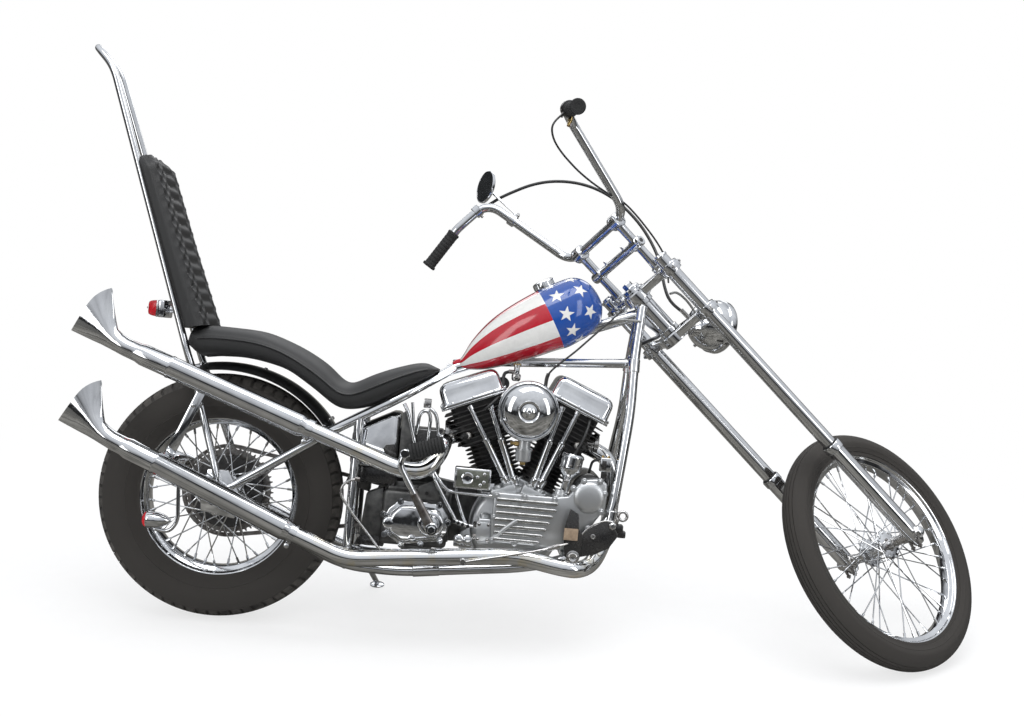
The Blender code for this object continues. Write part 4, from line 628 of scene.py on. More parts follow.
    @staticmethod
    def joined(pieces: Sequence[bpy.types.Object]) -> bpy.types.Object:
        """Several pieces in one object."""
        Bench.clear()
        for piece in pieces:
            piece.select_set(True)
        bpy.context.view_layer.objects.active = pieces[0]
        if len(pieces) > 1:
            bpy.ops.object.join()
        return bpy.context.object

    @staticmethod
    def paint(piece: bpy.types.Object, finish: Finish | HeatedPipe | TankPaint | Clear) -> bpy.types.Object:
        """A piece in one finish."""
        piece.data.materials.clear()
        piece.data.materials.append(finish.make())
        return piece

    @staticmethod
    def painted(finish: Finish, *pieces: bpy.types.Object) -> list[bpy.types.Object]:
        """Several pieces in one finish."""
        return [Bench.paint(piece, finish) for piece in pieces]

    def place_piece(self, piece: bpy.types.Object, name: str, slot: str, *nodes: str,
                    smooth: float = SMOOTH_ANGLE) -> bpy.types.Object:
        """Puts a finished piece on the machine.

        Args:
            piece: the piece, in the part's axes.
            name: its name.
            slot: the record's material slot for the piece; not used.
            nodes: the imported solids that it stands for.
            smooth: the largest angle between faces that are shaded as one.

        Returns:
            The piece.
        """
        self.hold(piece)
        if smooth:
            bpy.ops.object.shade_smooth_by_angle(angle=smooth)
        piece.data.transform(self.place)
        piece.name = name.replace(" ", "_")
        piece.data.name = piece.name
        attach(piece, self.body.value)
        if nodes:
            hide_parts(*nodes)
        LOG.info("%s rides on %s", name, self.body.value)
        return piece


@dataclass(frozen=True)
class Places:
    """The matrices from each body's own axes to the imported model's."""

    bike: Matrix
    steering: Matrix
    rear: Matrix
    front: Matrix

    @classmethod
    def measured(cls, joints: dict, turn: float = 42.5, offset: float = 0.0366) -> Places:
        """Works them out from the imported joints.

        Args:
            joints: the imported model's joints by name, each with a place and an axis.
            turn: how far the steering stands to the left, in degrees.
            offset: how far the front axle lies ahead of the steering's axis.

        Returns:
            The matrices.
        """
        across = Vector(joints["rear_wheel_spin"]["axis"]).normalized()
        steer = Vector(joints["steering"]["axis"]).normalized()
        if across.cross(steer).dot(Vector((1, 0, 0))) < 0:
            across = -across
        level = across.cross(steer)
        ahead = level * math.cos(RAKE) - steer * math.sin(RAKE)
        up = ahead.cross(across)
        hub = Vector(joints["rear_wheel_spin"]["pos_m"])
        bike = cls.matrix(ahead, across, up, hub - up * REAR_AXLE_HEIGHT)
        angle = math.radians(turn)
        facing = level * math.cos(angle) + across * math.sin(angle)
        foot = Vector(joints["steering"]["pos_m"])
        steering = cls.matrix(facing, steer.cross(facing), steer, foot)
        rear = bike @ Matrix.Translation((0, 0, REAR_AXLE_HEIGHT))
        front = steering @ Matrix.Translation((offset, 0, 0))
        return cls(bike, steering, rear, front)

    @staticmethod
    def matrix(x: Vector, y: Vector, z: Vector, origin: Vector) -> Matrix:
        """A matrix from its columns."""
        made = Matrix((x, y, z)).transposed().to_4x4()
        made.translation = origin
        return made


@dataclass(frozen=True)
class WheelSize:
    """Sizes of one wire wheel and its tyre, in metres."""

    name: str
    tyre_radius: float
    tyre_half_width: float
    rim_radius: float
    rim_half_width: float
    hub_radius: float
    flange_radius: float
    hub_half_width: float
    blocky: bool
    spokes: int = 40


class WireWheel:
    """A spoked wheel with its tyre."""

    def __init__(self, bench: Bench, size: WheelSize) -> None:
        """Takes the bench of its body and its sizes."""
        self.bench = bench
        self.size = size

    def build(self) -> None:
        """Makes the tyre, rim, hub and spokes."""
        self.tyre()
        self.rim()
        self.hub()
        self.lace()

    def crown(self, side: float) -> float:
        """The tyre's radius at a share of its half width."""
        size = self.size
        if not size.blocky:
            return size.tyre_radius - size.tyre_half_width * (1 - math.sqrt(1 - side ** 2))
        height = size.tyre_radius - size.rim_radius
        return size.tyre_radius - height * 0.46 * (1 - math.sqrt(max(0.0, 1 - (side * 0.96) ** 2)))

    def tyre(self) -> None:
        """Makes the carcass with its ribs or blocks."""
        size = self.size
        half, outer, inner = size.tyre_half_width, size.tyre_radius, size.rim_radius
        height = outer - inner
        groove = 0.004 if size.blocky else 0.0025
        outline = []
        tread_end = 0.8 if size.blocky else 0.7
        if size.blocky:
            ribs = (-0.8, -0.4, -0.36, -0.14, -0.1, 0.1, 0.14, 0.36, 0.4, 0.8)
        else:
            ribs = (-0.7, -0.5, -0.46, -0.27, -0.23, -0.02, 0.02, 0.23, 0.27, 0.46, 0.5, 0.7)
        for index, (start, end) in enumerate(zip(ribs, ribs[1:])):
            drop = groove if (index % 2 or size.blocky) else 0.0
            for side in (start, (start + end) / 2, end) if index % 2 == 0 else (start, end):
                outline.append((side * half, self.crown(side) - drop))
        edge = self.crown(tread_end)
        shoulder = (edge - height * 0.05, inner + height * 0.62)
        if not size.blocky:
            shoulder = (self.crown(0.9), self.crown(0.975))
        flank = (
            (0.9, shoulder[0]), (0.975, shoulder[1]), (1.0, inner + height * 0.48),
            (0.985, inner + height * 0.36), (0.93, inner + height * 0.25), (0.945, inner + height * 0.235),
            (0.9, inner + height * 0.2), (0.8, inner + height * 0.05), (0.74, inner + 0.002),
            (0.7, inner - 0.008),
        )
        right = [(-share * half, radius) for share, radius in flank]
        left = [(share * half, radius) for share, radius in flank]
        tyre = self.bench.hoop((0, 0, 0), Axis.LEFT.value, outline + left + right[::-1], 144)
        pieces = [self.bench.paint(tyre, TYRE)]
        if size.blocky:
            pieces.append(self.bench.paint(self.blocks(), TREAD))
        made = self.bench.joined(pieces)
        self.bench.place_piece(made, size.name + " tyre", "tyre_rubber", size.name + "_tyre")

    def blocks(self) -> bpy.types.Object:
        """Makes the rings of tread blocks: two centre rings of zigzag blocks and the shoulder lugs."""
        size = self.size
        half = size.tyre_half_width
        rows = (
            # from, to, count, turn of the first, slant
            (-0.11, 0.11, 96, 0.0, 0.3), (0.13, 0.37, 72, 0.5, 0.45), (-0.37, -0.13, 72, 0.5, -0.45),
            (0.4, 0.88, 64, 0.25, 0.2), (-0.88, -0.4, 64, 0.25, -0.2),
        )
        rings = []
        for start, end, count, offset, slant in rows:
            step = 2 * math.pi / count
            corners = []
            for depth in (-0.005, 0.0):
                ring = []
                for side, way in ((start, 0), (start, 1), ((start + end) / 2, 1), (end, 1), (end, 0),
                                  ((start + end) / 2, 0)):
                    middle = slant * (1 - abs(2 * (side - start) / (end - start) - 1))
                    turn = step * (way * 0.74 + middle * 0.5 + offset)
                    shoulder = 0.003 if abs(side) > 0.85 else 0.0
                    radius = self.crown(min(abs(side), 0.86)) + depth - shoulder
                    ring.append((radius * math.sin(turn), side * half, radius * math.cos(turn)))
                corners.append(ring)
            block = self.bench.loft(corners)
            rings += self.bench.copies(block, [Matrix.Rotation(step * i, 4, "Y") for i in range(count)])
        return self.bench.joined(rings)

    def rim(self) -> None:
        """Makes the stepped chrome rim."""
        size = self.size
        half, edge = size.rim_half_width, size.rim_radius
        wall = 0.0035
        outer = (
            (-half, edge + 0.003), (-half + 0.003, edge + 0.002), (-half + 0.006, edge - 0.008),
            (-half * 0.62, edge - 0.01), (-half * 0.45, edge - 0.022), (half * 0.45, edge - 0.022),
            (half * 0.62, edge - 0.01), (half - 0.006, edge - 0.008), (half - 0.003, edge + 0.002),
            (half, edge + 0.003),
        )
        inner = (
            (half + 0.001, edge - 0.002), (half - 0.003, edge - 0.011), (half * 0.66, edge - 0.0135),
            (half * 0.5, edge - 0.022 - wall), (-half * 0.5, edge - 0.022 - wall),
            (-half * 0.66, edge - 0.0135), (-half + 0.003, edge - 0.011), (-half - 0.001, edge - 0.002),
        )
        rim = self.bench.hoop((0, 0, 0), Axis.LEFT.value, outer + inner, 128)
        self.bench.eased(rim, 0.0012, 2, 35)
        self.bench.place_piece(self.bench.paint(rim, CHROME), size.name + " rim", "chrome",
                               size.name + "_wire_wheel")

    def hub(self) -> None:
        """Makes the hub barrel, its flanges and its caps."""
        size = self.size
        half, barrel, flange = size.hub_half_width, size.hub_radius, size.flange_radius
        profile = (
            (-half, barrel * 0.72), (-half, barrel * 0.86), (-half + 0.004, flange - 0.002),
            (-half + 0.005, flange), (-half + 0.009, flange), (-half + 0.01, flange - 0.002),
            (-half + 0.013, barrel), (-half * 0.4, barrel * 0.86), (half * 0.4, barrel * 0.86),
            (half - 0.013, barrel), (half - 0.01, flange - 0.002), (half - 0.009, flange),
            (half - 0.005, flange), (half - 0.004, flange - 0.002), (half, barrel * 0.86),
            (half, barrel * 0.72),
        )
        hub = self.bench.turned((0, 0, 0), Axis.LEFT.value, profile, 48)
        pieces = [self.bench.paint(hub, CHROME)]
        for side in (-1, 1):
            cap = self.bench.turned((0, side * half, 0), (0, side, 0),
                                    ((0, barrel * 0.62), (0.003, barrel * 0.62), (0.004, barrel * 0.4),
                                     (0.006, barrel * 0.38)), 32)
            pieces.append(self.bench.paint(cap, WORN_CHROME))
            bolt = self.bench.turned((0, side * (half - 0.001),
                                      barrel * 0.75 if not size.blocky else flange * 0.8),
                                     (0, side, 0), ((0, 0.004), (0.004, 0.004), (0.005, 0.003)), 6)
            bolts = self.bench.copies(bolt, [Matrix.Rotation(math.tau * i / 5, 4, "Y") for i in range(5)])
            pieces += [self.bench.paint(one, STEEL) for one in bolts]
        made = self.bench.joined(pieces)
        self.bench.place_piece(made, size.name + " hub", "chrome")

    def lace(self) -> None:
        """Makes the crossed spokes with their nipples."""
        size = self.size
        a_side = size.spokes // 2
        rim = size.rim_radius - 0.0245
        made = []
        for side in (-1, 1):
            for lean in (-1, 1):
                start = Vector((0, side * (size.hub_half_width - 0.007), size.flange_radius - 0.004))
                start.rotate(Quaternion(Axis.LEFT.value, -lean * math.radians(62)))
                end = Vector((0, side * size.rim_half_width * 0.22, rim))
                way = (end - start).normalized()
                spoke = self.bench.bar(start, end, 0.0018, 8)
                nipple = self.bench.bar(end - way * 0.016, end + way * 0.002, 0.0034, 8, 0.0008)
                head = self.bench.bar(start - Vector((0, side * 0.005, 0)),
                                      start + Vector((0, side * 0.006, 0)),
                                      0.0034, 8, 0.001)
                one = self.bench.joined([spoke, nipple, head])
                pair = (0.5 * (side > 0) + (0.25 if lean > 0 else 0.0))
                step = math.tau / (a_side / 2)
                made += self.bench.copies(one, [Matrix.Rotation(step * (i + pair), 4, "Y")
                                                for i in range(a_side // 2)])
        spokes = self.bench.joined(made)
        self.bench.place_piece(self.bench.paint(spokes, CHROME), size.name + " spokes", "chrome")


@dataclass(frozen=True)
class FrameSize:
    """Routes of the frame's tubes on its left side, in metres."""

    rail: tuple = ((1.095, 0.02, 0.945), (1.083, 0.045, 0.8), (1.081, 0.075, 0.652), (1.067, 0.105, 0.539),
                   (1.05, 0.12, 0.37), (0.957, 0.12, 0.258), (0.827, 0.12, 0.224),
                   (0.507, 0.12, 0.186), (0.362, 0.12, 0.19), (0.012, 0.112, 0.327))
    stay: tuple = ((0.01, 0.112, 0.345), (0.294, 0.108, 0.539), (0.463, 0.09, 0.64), (0.598, 0.01, 0.731))
    post: tuple = ((0.362, 0.1008, 0.582), (0.362, 0.12, 0.19))
    backbone: tuple = ((1.13, 0.0, 0.94), (0.582, 0.0, 0.7237))
    top_tube: tuple = ((1.083, 0.0, 0.788), (0.8, 0.0, 0.765), (0.69, 0.0, 0.757))
    tube: float = 0.014
    stay_tube: float = 0.0125
    crosses: tuple = ((0.36, 0.19, 0.12), (0.54, 0.19, 0.12), (0.67, 0.205, 0.12),
                      (0.94, 0.2545, 0.12), (1.083, 0.788, 0.045))
    gusset: tuple = ((1.085, 0.935), (1.16, 0.882), (1.165, 0.872), (1.085, 0.825))
    axle_plate: tuple = ((-0.03, 0.3), (0.06, 0.285), (0.07, 0.35), (0.035, 0.41), (-0.02, 0.41),
                         (-0.035, 0.36))


class TubeFrame:
    """The chromed double-cradle frame without rear springing."""

    def __init__(self, bench: Bench, size: FrameSize) -> None:
        """Takes the chassis bench and the routes."""
        self.bench = bench
        self.size = size

    def build(self, head_foot: Vector, head_way: Vector) -> None:
        """Makes the tubes, the head and its gusset, and the axle plates.

        Args:
            head_foot: the steering axis's foot in the machine's axes.
            head_way: the steering axis's direction.
        """
        bench, size = self.bench, self.size
        pieces = []
        for hand in (-1, 1):
            mirror = [[(x, y * hand, z) for x, y, z in route] for route in (size.rail, size.stay, size.post)]
            pieces.append(bench.tube(mirror[0], size.tube, 0.055, 24))
            pieces.append(bench.tube(mirror[1], size.stay_tube, 0.045, 20))
            pieces.append(bench.tube(mirror[2], size.stay_tube, 0.0, 20))
            outer = 0.119 * hand
            plate = bench.plate(size.axle_plate, min(outer, outer - hand * 0.014),
                                max(outer, outer - hand * 0.014), 0.003)
            pieces.append(plate)
        pieces.append(bench.tube(size.backbone, 0.016, 0.0, 24))
        pieces.append(bench.tube(size.top_tube, size.stay_tube, 0.03, 20))
        for x, z, half in size.crosses:
            pieces.append(bench.bar((x, -half, z), (x, half, z), 0.0105))
        gusset = bench.plate(size.gusset, -0.007, 0.007, 0.002)
        window = bench.plate(((1.098, 0.905), (1.142, 0.878), (1.142, 0.87), (1.098, 0.848)), -0.02, 0.02)
        pieces.append(bench.cut(gusset, window))
        tube = bench.turned(head_foot, head_way, (
            (0.845, 0.026), (0.846, 0.0295), (0.858, 0.0295), (0.86, 0.0255), (0.95, 0.0255),
            (0.952, 0.0295), (0.964, 0.0295), (0.965, 0.026)), 40)
        pieces.append(tube)
        pieces += self.lugs()
        frame = bench.joined(pieces)
        bench.place_piece(bench.paint(frame, CHROME), "tube frame", "chrome", "frame")

    def lugs(self) -> list[bpy.types.Object]:
        """Makes the forged sleeves and clamps where tubes meet."""
        bench = self.bench
        sleeves = []
        spots = (
            ((1.083, 0.045, 0.8), (1.0825, 0.052, 0.765), 0.0165),
            ((0.54, 0.12, 0.1905), (0.61, 0.12, 0.1995), 0.0165),
            ((0.362, 0.1155, 0.24), (0.362, 0.119, 0.205), 0.016),
            ((1.0525, 0.1185, 0.395), (1.049, 0.12, 0.362), 0.0175),
        )
        for hand in (-1, 1):
            for start, end, radius in spots:
                sleeves.append(bench.bar((start[0], start[1] * hand, start[2]),
                                         (end[0], end[1] * hand, end[2]),
                                         radius, 24, 0.0015))
        return sleeves


class Stage:
    """A pale floor with a soft studio round it, and the photograph's camera."""

    FOCAL_PIXELS = 1188.42
    PHOTO_WIDTH = 1024
    SENSOR_WIDTH = 36.0
    EYE_TURN = (0.5762, -1.7418, 5.3115)
    EYE_PLACE = (0.6527, -3.26055, 0.8012)
    SKY = (
        # height, brightness
        (0.0, 0.25), (0.46, 0.25), (0.495, 0.025), (0.555, 0.045), (0.6, 0.42), (0.7, 0.85), (0.82, 1.1),
        (1.0, 1.35),
    )
    HORIZON_LIFT = 0.245
    HORIZON_ROUGHNESS = 0.5
    SKY_STRENGTH = 0.7

    def __init__(self, places: Places) -> None:
        """Takes the machine's place."""
        self.places = places

    def build(self) -> None:
        """Makes the floor, sky, lights and camera."""
        self.floor()
        self.sky()
        self.lights()
        self.camera()

    def floor(self) -> None:
        """Makes the floor: near white with a faint grain to the camera, and in glossy rays dark patches, a
        painted reflection of ground.
        """
        Bench.clear()
        bpy.ops.mesh.primitive_plane_add(size=40.0, location=(0, 0, 0))
        floor = bpy.context.object
        floor.name = "studio_floor"
        shader = Shader("studio_floor")
        shader.set(Roughness=0.9, Specular_IOR_Level=0.1)
        grain = shader.spread(shader.noise(0.05, 3.0), 0.0, 1.0)
        path = shader.nodes.new("ShaderNodeLightPath")
        seen = shader.mix(grain, (0.93, 0.93, 0.93), (0.96, 0.96, 0.96))
        # Glossy rays see dark patches instead of the white floor: a painted reflection of ground for the
        # chrome.
        reflected_ground_patches = shader.spread(shader.noise(0.55, 4.0), 0.0, 1.0)
        painted_ground_reflection = shader.mix(reflected_ground_patches, (0.04, 0.038, 0.032), (0.32, 0.305, 0.275))
        shader.join(shader.mix(path.outputs["Is Glossy Ray"], seen, painted_ground_reflection), "Base Color")
        far = shader.nodes.new("ShaderNodeVectorMath")
        far.operation = "LENGTH"
        shader.links.new(shader.place, far.inputs[0])
        white = shader.spread(far.outputs["Value"], 0.72, 1.0, 1.3, 2.6)
        share = shader.maths("MULTIPLY", white, path.outputs["Is Camera Ray"])
        glow = shader.nodes.new("ShaderNodeEmission")
        mixer = shader.nodes.new("ShaderNodeMixShader")
        shader.links.new(share, mixer.inputs["Fac"])
        shader.links.new(shader.shader.outputs["BSDF"], mixer.inputs[1])
        shader.links.new(glow.outputs["Emission"], mixer.inputs[2])
        shader.links.new(mixer.outputs["Shader"], shader.nodes["Material Output"].inputs["Surface"])
        floor.data.materials.append(shader.material)

    def sky(self) -> None:
        """Makes a surround that is white to the camera, and shaded from floor to top in reflections."""
        world = bpy.data.worlds.new("studio")
        bpy.context.scene.world = world
        world.use_nodes = True
        nodes, links = world.node_tree.nodes, world.node_tree.links
        ground = nodes["Background"]
        place = nodes.new("ShaderNodeTexCoord")
        split = nodes.new("ShaderNodeSeparateXYZ")
        links.new(place.outputs["Generated"], split.inputs[0])
        ramp = nodes.new("ShaderNodeValToRGB")
        elements = ramp.color_ramp.elements
        while len(elements) < len(self.SKY):
            elements.new(1.0)
        for element, (at, value) in zip(elements, self.SKY):
            element.position = at
            element.color = (value * 0.97, value, value * 1.05, 1.0)
        share = nodes.new("ShaderNodeMapRange")
        share.inputs["From Min"].default_value = -1.0
        share.inputs["From Max"].default_value = 1.0
        trees = nodes.new("ShaderNodeTexNoise")
        trees.inputs["Scale"].default_value = 7.0
        trees.inputs["Detail"].default_value = 3.0
        links.new(place.outputs["Generated"], trees.inputs["Vector"])
        rough = nodes.new("ShaderNodeMath")
        rough.operation = "MULTIPLY_ADD"
        rough.inputs[1].default_value = -self.HORIZON_ROUGHNESS
        links.new(trees.outputs["Fac"], rough.inputs[0])
        lifted = nodes.new("ShaderNodeMath")
        lifted.inputs[1].default_value = self.HORIZON_LIFT
        links.new(split.outputs["Z"], lifted.inputs[0])
        links.new(lifted.outputs[0], rough.inputs[2])
        links.new(rough.outputs[0], share.inputs["Value"])
        links.new(share.outputs["Result"], ramp.inputs["Fac"])
        links.new(ramp.outputs["Color"], ground.inputs["Color"])
        ground.inputs["Strength"].default_value = self.SKY_STRENGTH
        white = nodes.new("ShaderNodeBackground")
        white.inputs["Color"].default_value = (1.0, 1.0, 1.0, 1.0)
        white.inputs["Strength"].default_value = 1.0
        path = nodes.new("ShaderNodeLightPath")
        mixer = nodes.new("ShaderNodeMixShader")
        links.new(path.outputs["Is Camera Ray"], mixer.inputs["Fac"])
        links.new(ground.outputs["Background"], mixer.inputs[1])
        links.new(white.outputs["Background"], mixer.inputs[2])
        links.new(mixer.outputs["Shader"], nodes["World Output"].inputs["Surface"])

    def lights(self) -> None:
        """Makes the soft lights: a wide one above, and a strip on each side."""
        lamps = (
            # name, place, look at, width, height, watts
            ("top light", (0.3, -0.6, 4.2), (0.0, 0.0, 0.6), 4.0, 2.2, 95.0),
            ("left strip", (-3.2, -3.4, 2.4), (0.0, 0.0, 0.6), 1.2, 3.0, 34.0),
            ("right strip", (3.4, -3.0, 2.2), (0.0, 0.0, 0.6), 1.0, 3.0, 26.0),
            ("back light", (0.0, 4.2, 2.6), (0.0, 0.0, 0.6), 4.0, 1.4, 30.0),
        )
        for name, place, target, width, height, watts in lamps:
            data = bpy.data.lights.new(name, "AREA")
            data.shape = "RECTANGLE"
            data.size, data.size_y, data.energy = width, height, watts
            lamp = bpy.data.objects.new(name, data)
            bpy.context.scene.collection.objects.link(lamp)
            lamp.location = place
            lamp.rotation_euler = (Vector(target) - Vector(place)).to_track_quat("-Z", "Y").to_euler()

    def camera(self) -> None:
        """Makes the camera that stands where the photograph was taken from."""
        scene = bpy.context.scene
        data = bpy.data.cameras.new("view")
        data.sensor_width = self.SENSOR_WIDTH
        data.lens = self.FOCAL_PIXELS / self.PHOTO_WIDTH * self.SENSOR_WIDTH
        turn = Vector([math.radians(value) for value in self.EYE_TURN])
        base = Matrix(((1, 0, 0), (0, 0, -1), (0, 1, 0)))
        rows = Quaternion(turn.normalized(), turn.length).to_matrix() @ base
        right, down, ahead = rows[0], rows[1], rows[2]
        eye = Places.matrix(Vector(right), -Vector(down), -Vector(ahead), Vector(self.EYE_PLACE))
        camera = bpy.data.objects.new("view", data)
        scene.collection.objects.link(camera)
        camera.matrix_world = self.places.bike @ eye
        data.clip_end = 200
        scene.camera = camera
        scene.view_settings.view_transform = "Standard"


@dataclass(frozen=True)
class TankSize:
    """The fuel tank's sections and the marks painted on it, in metres."""

    sections: tuple = (
        # x, middle z, half width, half height
        (0.608, 0.746, 0.006, 0.006), (0.615, 0.748, 0.018, 0.014), (0.64, 0.771, 0.036, 0.04),
        (0.69, 0.806, 0.066, 0.069), (0.76, 0.8455, 0.092, 0.087), (0.83, 0.8815, 0.106, 0.0955),
        (0.89, 0.9085, 0.104, 0.0975), (0.94, 0.9195, 0.086, 0.079), (0.97, 0.9185, 0.06, 0.051),
        (0.985, 0.9175, 0.032, 0.025), (0.988, 0.9175, 0.01, 0.007),
    )
    fine: int = 60
    sides: int = 72
    blue_slope: float = 0.581
    blue_height: float = 0.9
    star: float = 0.024
    cap: tuple = (0.8255, 0.0, 0.9749)
    cap_tilt: float = 29.0


class FuelTank:
    """The teardrop tank with striped sides, a starred front, a cap and a tail tab."""

    ROUNDNESS = 2.25

    def __init__(self, bench: Bench, size: TankSize) -> None:
        """Takes the chassis bench and the sizes."""
        self.bench = bench
        self.size = size
        rows = np.array(size.sections)
        run = np.concatenate([[0], np.cumsum(np.hypot(np.diff(rows[:, 0]), np.diff(rows[:, 2])
                                                      + np.diff(rows[:, 3])))])
        fine = np.linspace(0, run[-1], size.fine)
        self.rows = np.stack([self.smooth(run, rows[:, i], fine) for i in range(4)], axis=1)

    @staticmethod
    def smooth(run: np.ndarray, values: np.ndarray, fine: np.ndarray) -> np.ndarray:
        """Values along a run, eased by a monotone cubic through the given ones."""
        slope = np.diff(values) / np.diff(run)
        inner = np.where(slope[1:] * slope[:-1] > 0,
                         2 * slope[1:] * slope[:-1] / (slope[1:] + slope[:-1] + 1e-12), 0)
        tangent = np.concatenate([[slope[0]], inner, [slope[-1]]])
        index = np.clip(np.searchsorted(run, fine) - 1, 0, len(run) - 2)
        span = run[index + 1] - run[index]
        t = (fine - run[index]) / span
        return ((2 * t**3 - 3 * t**2 + 1) * values[index] + (t**3 - 2 * t**2 + t) * span * tangent[index]
                + (3 * t**2 - 2 * t**3) * values[index + 1] + (t**3 - t**2) * span * tangent[index + 1])

    def point(self, x: float, turn: float) -> Vector:
        """A point of the skin at a length and a turn from the top, to the right."""
        middle, half, high = (np.interp(x, self.rows[:, 0], self.rows[:, i]) for i in (1, 2, 3))
        return self.on_section(x, middle, half, high, turn)

    @staticmethod
    def on_section(x: float, middle: float, half: float, high: float, turn: float) -> Vector:
        """A point of one rounded section."""
        c, s = math.cos(turn), math.sin(turn)
        power = 2 / FuelTank.ROUNDNESS
        return Vector((x, -half * math.copysign(abs(s) ** power, s),
                       middle + high * math.copysign(abs(c) ** power, c)))

    def build(self) -> None:
        """Makes the shell, stars, cap and tail tab."""
        self.shell()
        self.stars()
        self.cap()
        self.fittings()

    def shell(self) -> None:
        """Makes the painted shell, and marks its stripes at its points."""
        size = self.size
        rings = []
        for x, middle, half, high in self.rows:
            rings.append([self.on_section(x, middle, half, high, math.tau * i / size.sides)
                          for i in range(size.sides)])
        shell = self.bench.loft(rings)
        count = len(shell.data.vertices)
        points = np.empty(count * 3)
        shell.data.vertices.foreach_get("co", points)
        points = points.reshape(-1, 3)
        x = points[:, 0]
        middle, half, high = (np.interp(x, self.rows[:, 0], self.rows[:, i]) for i in (1, 2, 3))
        turn = np.arctan2(np.abs(points[:, 1]) / half, (points[:, 2] - middle) / high)
        stripe = shell.data.attributes.new("stripe", "FLOAT", "POINT")
        stripe.data.foreach_set("value", np.clip(turn / math.pi, 0, 1))
        slope = shell.data.attributes.new("length", "FLOAT", "POINT")
        slope.data.foreach_set("value", x + size.blue_slope * (points[:, 2] - size.blue_height))
        self.bench.place_piece(self.bench.paint(shell, TankPaint()), "fuel tank shell",
                               "tank_paint", "fuel_tank", smooth=math.radians(60))

    def stars(self) -> None:
        """Lays rows of five-pointed stars on the blue front."""
        size = self.size
        made = []
        spots = (
            # x along the tank, turn from the top in degrees
            (0.836, 19), (0.854, 57), (0.89, 22), (0.884, 91), (0.916, 55), (0.906, 120),
            (0.958, 19), (0.948, 91), (0.93, 155),
        )
        for x, turn in spots:
            for hand in (1, -1):
                made.append(self.star(x, math.radians(turn) * hand, size.star * (0.72 if x > 0.95 else 0.92)))
        stars = self.bench.joined(made)
        self.bench.place_piece(self.bench.paint(stars, STAR_WHITE), "tank stars", "tank_paint")

    def star(self, x: float, turn: float, radius: float) -> bpy.types.Object:
        """Makes one star, wrapped onto the shell a hair above it."""
        centre = self.point(x, turn)
        along = (self.point(x + 0.004, turn) - self.point(x - 0.004, turn)).normalized()
        around = (self.point(x, turn + 0.03) - self.point(x, turn - 0.03)).normalized()
        normal = around.cross(along).normalized()
        if normal.dot(centre - Vector((x, 0, float(np.interp(x, self.rows[:, 0], self.rows[:, 1]))))) < 0:
            normal = -normal
        around = (around - along * around.dot(along)).normalized()
        lean = math.radians(20)
        rings = []
        for scale in (1.0, 0.72, 0.45, 0.2):
            ring = []
            for i in range(30):
                corner, rest = divmod(i, 3)
                reach = radius * scale
                first = reach * (1.0 if corner % 2 == 0 else 0.4)
                second = reach * (0.4 if corner % 2 == 0 else 1.0)
                a = corner * math.pi / 5
                b = (corner + 1) * math.pi / 5
                p = Vector((first * math.sin(a), first * math.cos(a), 0)).lerp(
                    Vector((second * math.sin(b), second * math.cos(b), 0)), rest / 3)
                p.rotate(Quaternion((0, 0, 1), lean))
                ring.append(self.wrapped(centre + along * -p.x - around * p.y, normal, 0.0004))
            rings.append(ring)
        under = [self.wrapped(point, normal, -0.0008) for point in rings[0]]
        return self.bench.loft([under] + rings)

    def wrapped(self, point: Vector, normal: Vector, lift: float) -> Vector:
        """A point moved onto the shell and lifted off it."""
        x = min(max(point.x, self.rows[0, 0]), self.rows[-1, 0] - 0.0005)
        middle, half, high = (float(np.interp(x, self.rows[:, 0], self.rows[:, i])) for i in (1, 2, 3))
        turn = math.atan2(-point.y / half, (point.z - middle) / high)
        power = self.ROUNDNESS / 2
        s, c = math.sin(turn), math.cos(turn)
        angle = math.atan2(math.copysign(abs(s) ** power, s), math.copysign(abs(c) ** power, c))
        skin = self.on_section(x, middle, half, high, angle)
        out = Vector((0, skin.y, skin.z - middle)).normalized()
        out = (out + normal).normalized()
        return skin + out * lift

    def cap(self) -> None:
        """Makes the knurled chrome cap on its neck."""
        size, bench = self.size, self.bench
        way = Vector((-math.sin(math.radians(size.cap_tilt)), 0, math.cos(math.radians(size.cap_tilt))))
        foot = Vector(size.cap) - way * 0.004
        neck = bench.turned(foot, way, ((0, 0.026), (0.002, 0.0285), (0.004, 0.0285), (0.006, 0.025)), 40)
        cap = bench.turned(foot, way, (
            (0.003, 0.0285), (0.004, 0.0302), (0.018, 0.0302), (0.0205, 0.0288), (0.0225, 0.024),
            (0.0235, 0.017), (0.0238, 0.0)), 60)
        rib = bench.turned(foot + Vector((0, 0.0297, 0)) + way * 0.005, way,
                           ((0, 0.0012), (0.0125, 0.0012)), 6)
        centre = Matrix.Translation(foot)
        ribs = bench.copies(rib, [centre @ Matrix.Rotation(math.tau * i / 36, 4, way) @ centre.inverted()
                                  for i in range(36)])
        made = bench.joined([neck, cap] + ribs)
        bench.place_piece(bench.paint(made, CHROME), "filler cap", "chrome", "filler_cap")

    def fittings(self) -> None:
        """Makes the tail tab with its bolt."""
        bench = self.bench
        tab = bench.plate(((0.592, 0.738), (0.592, 0.748), (0.604, 0.756), (0.64, 0.764), (0.64, 0.744),
                           (0.606, 0.736)), -0.012, 0.012, 0.002)
        red = Finish("red_paint", (0.45, 0.01, 0.028), (0.4, 0.008, 0.022), (0.12, 0.22), 0.0, 0.6)
        bench.paint(tab, red)
        bolt = bench.turned((0.602, 0, 0.748), (-0.35, 0, 1), ((0, 0.008), (0.006, 0.008), (0.008, 0.006)), 6)
        made = bench.joined([tab, bench.paint(bolt, CHROME)])
        bench.place_piece(made, "tank tail tab", "tank_paint")


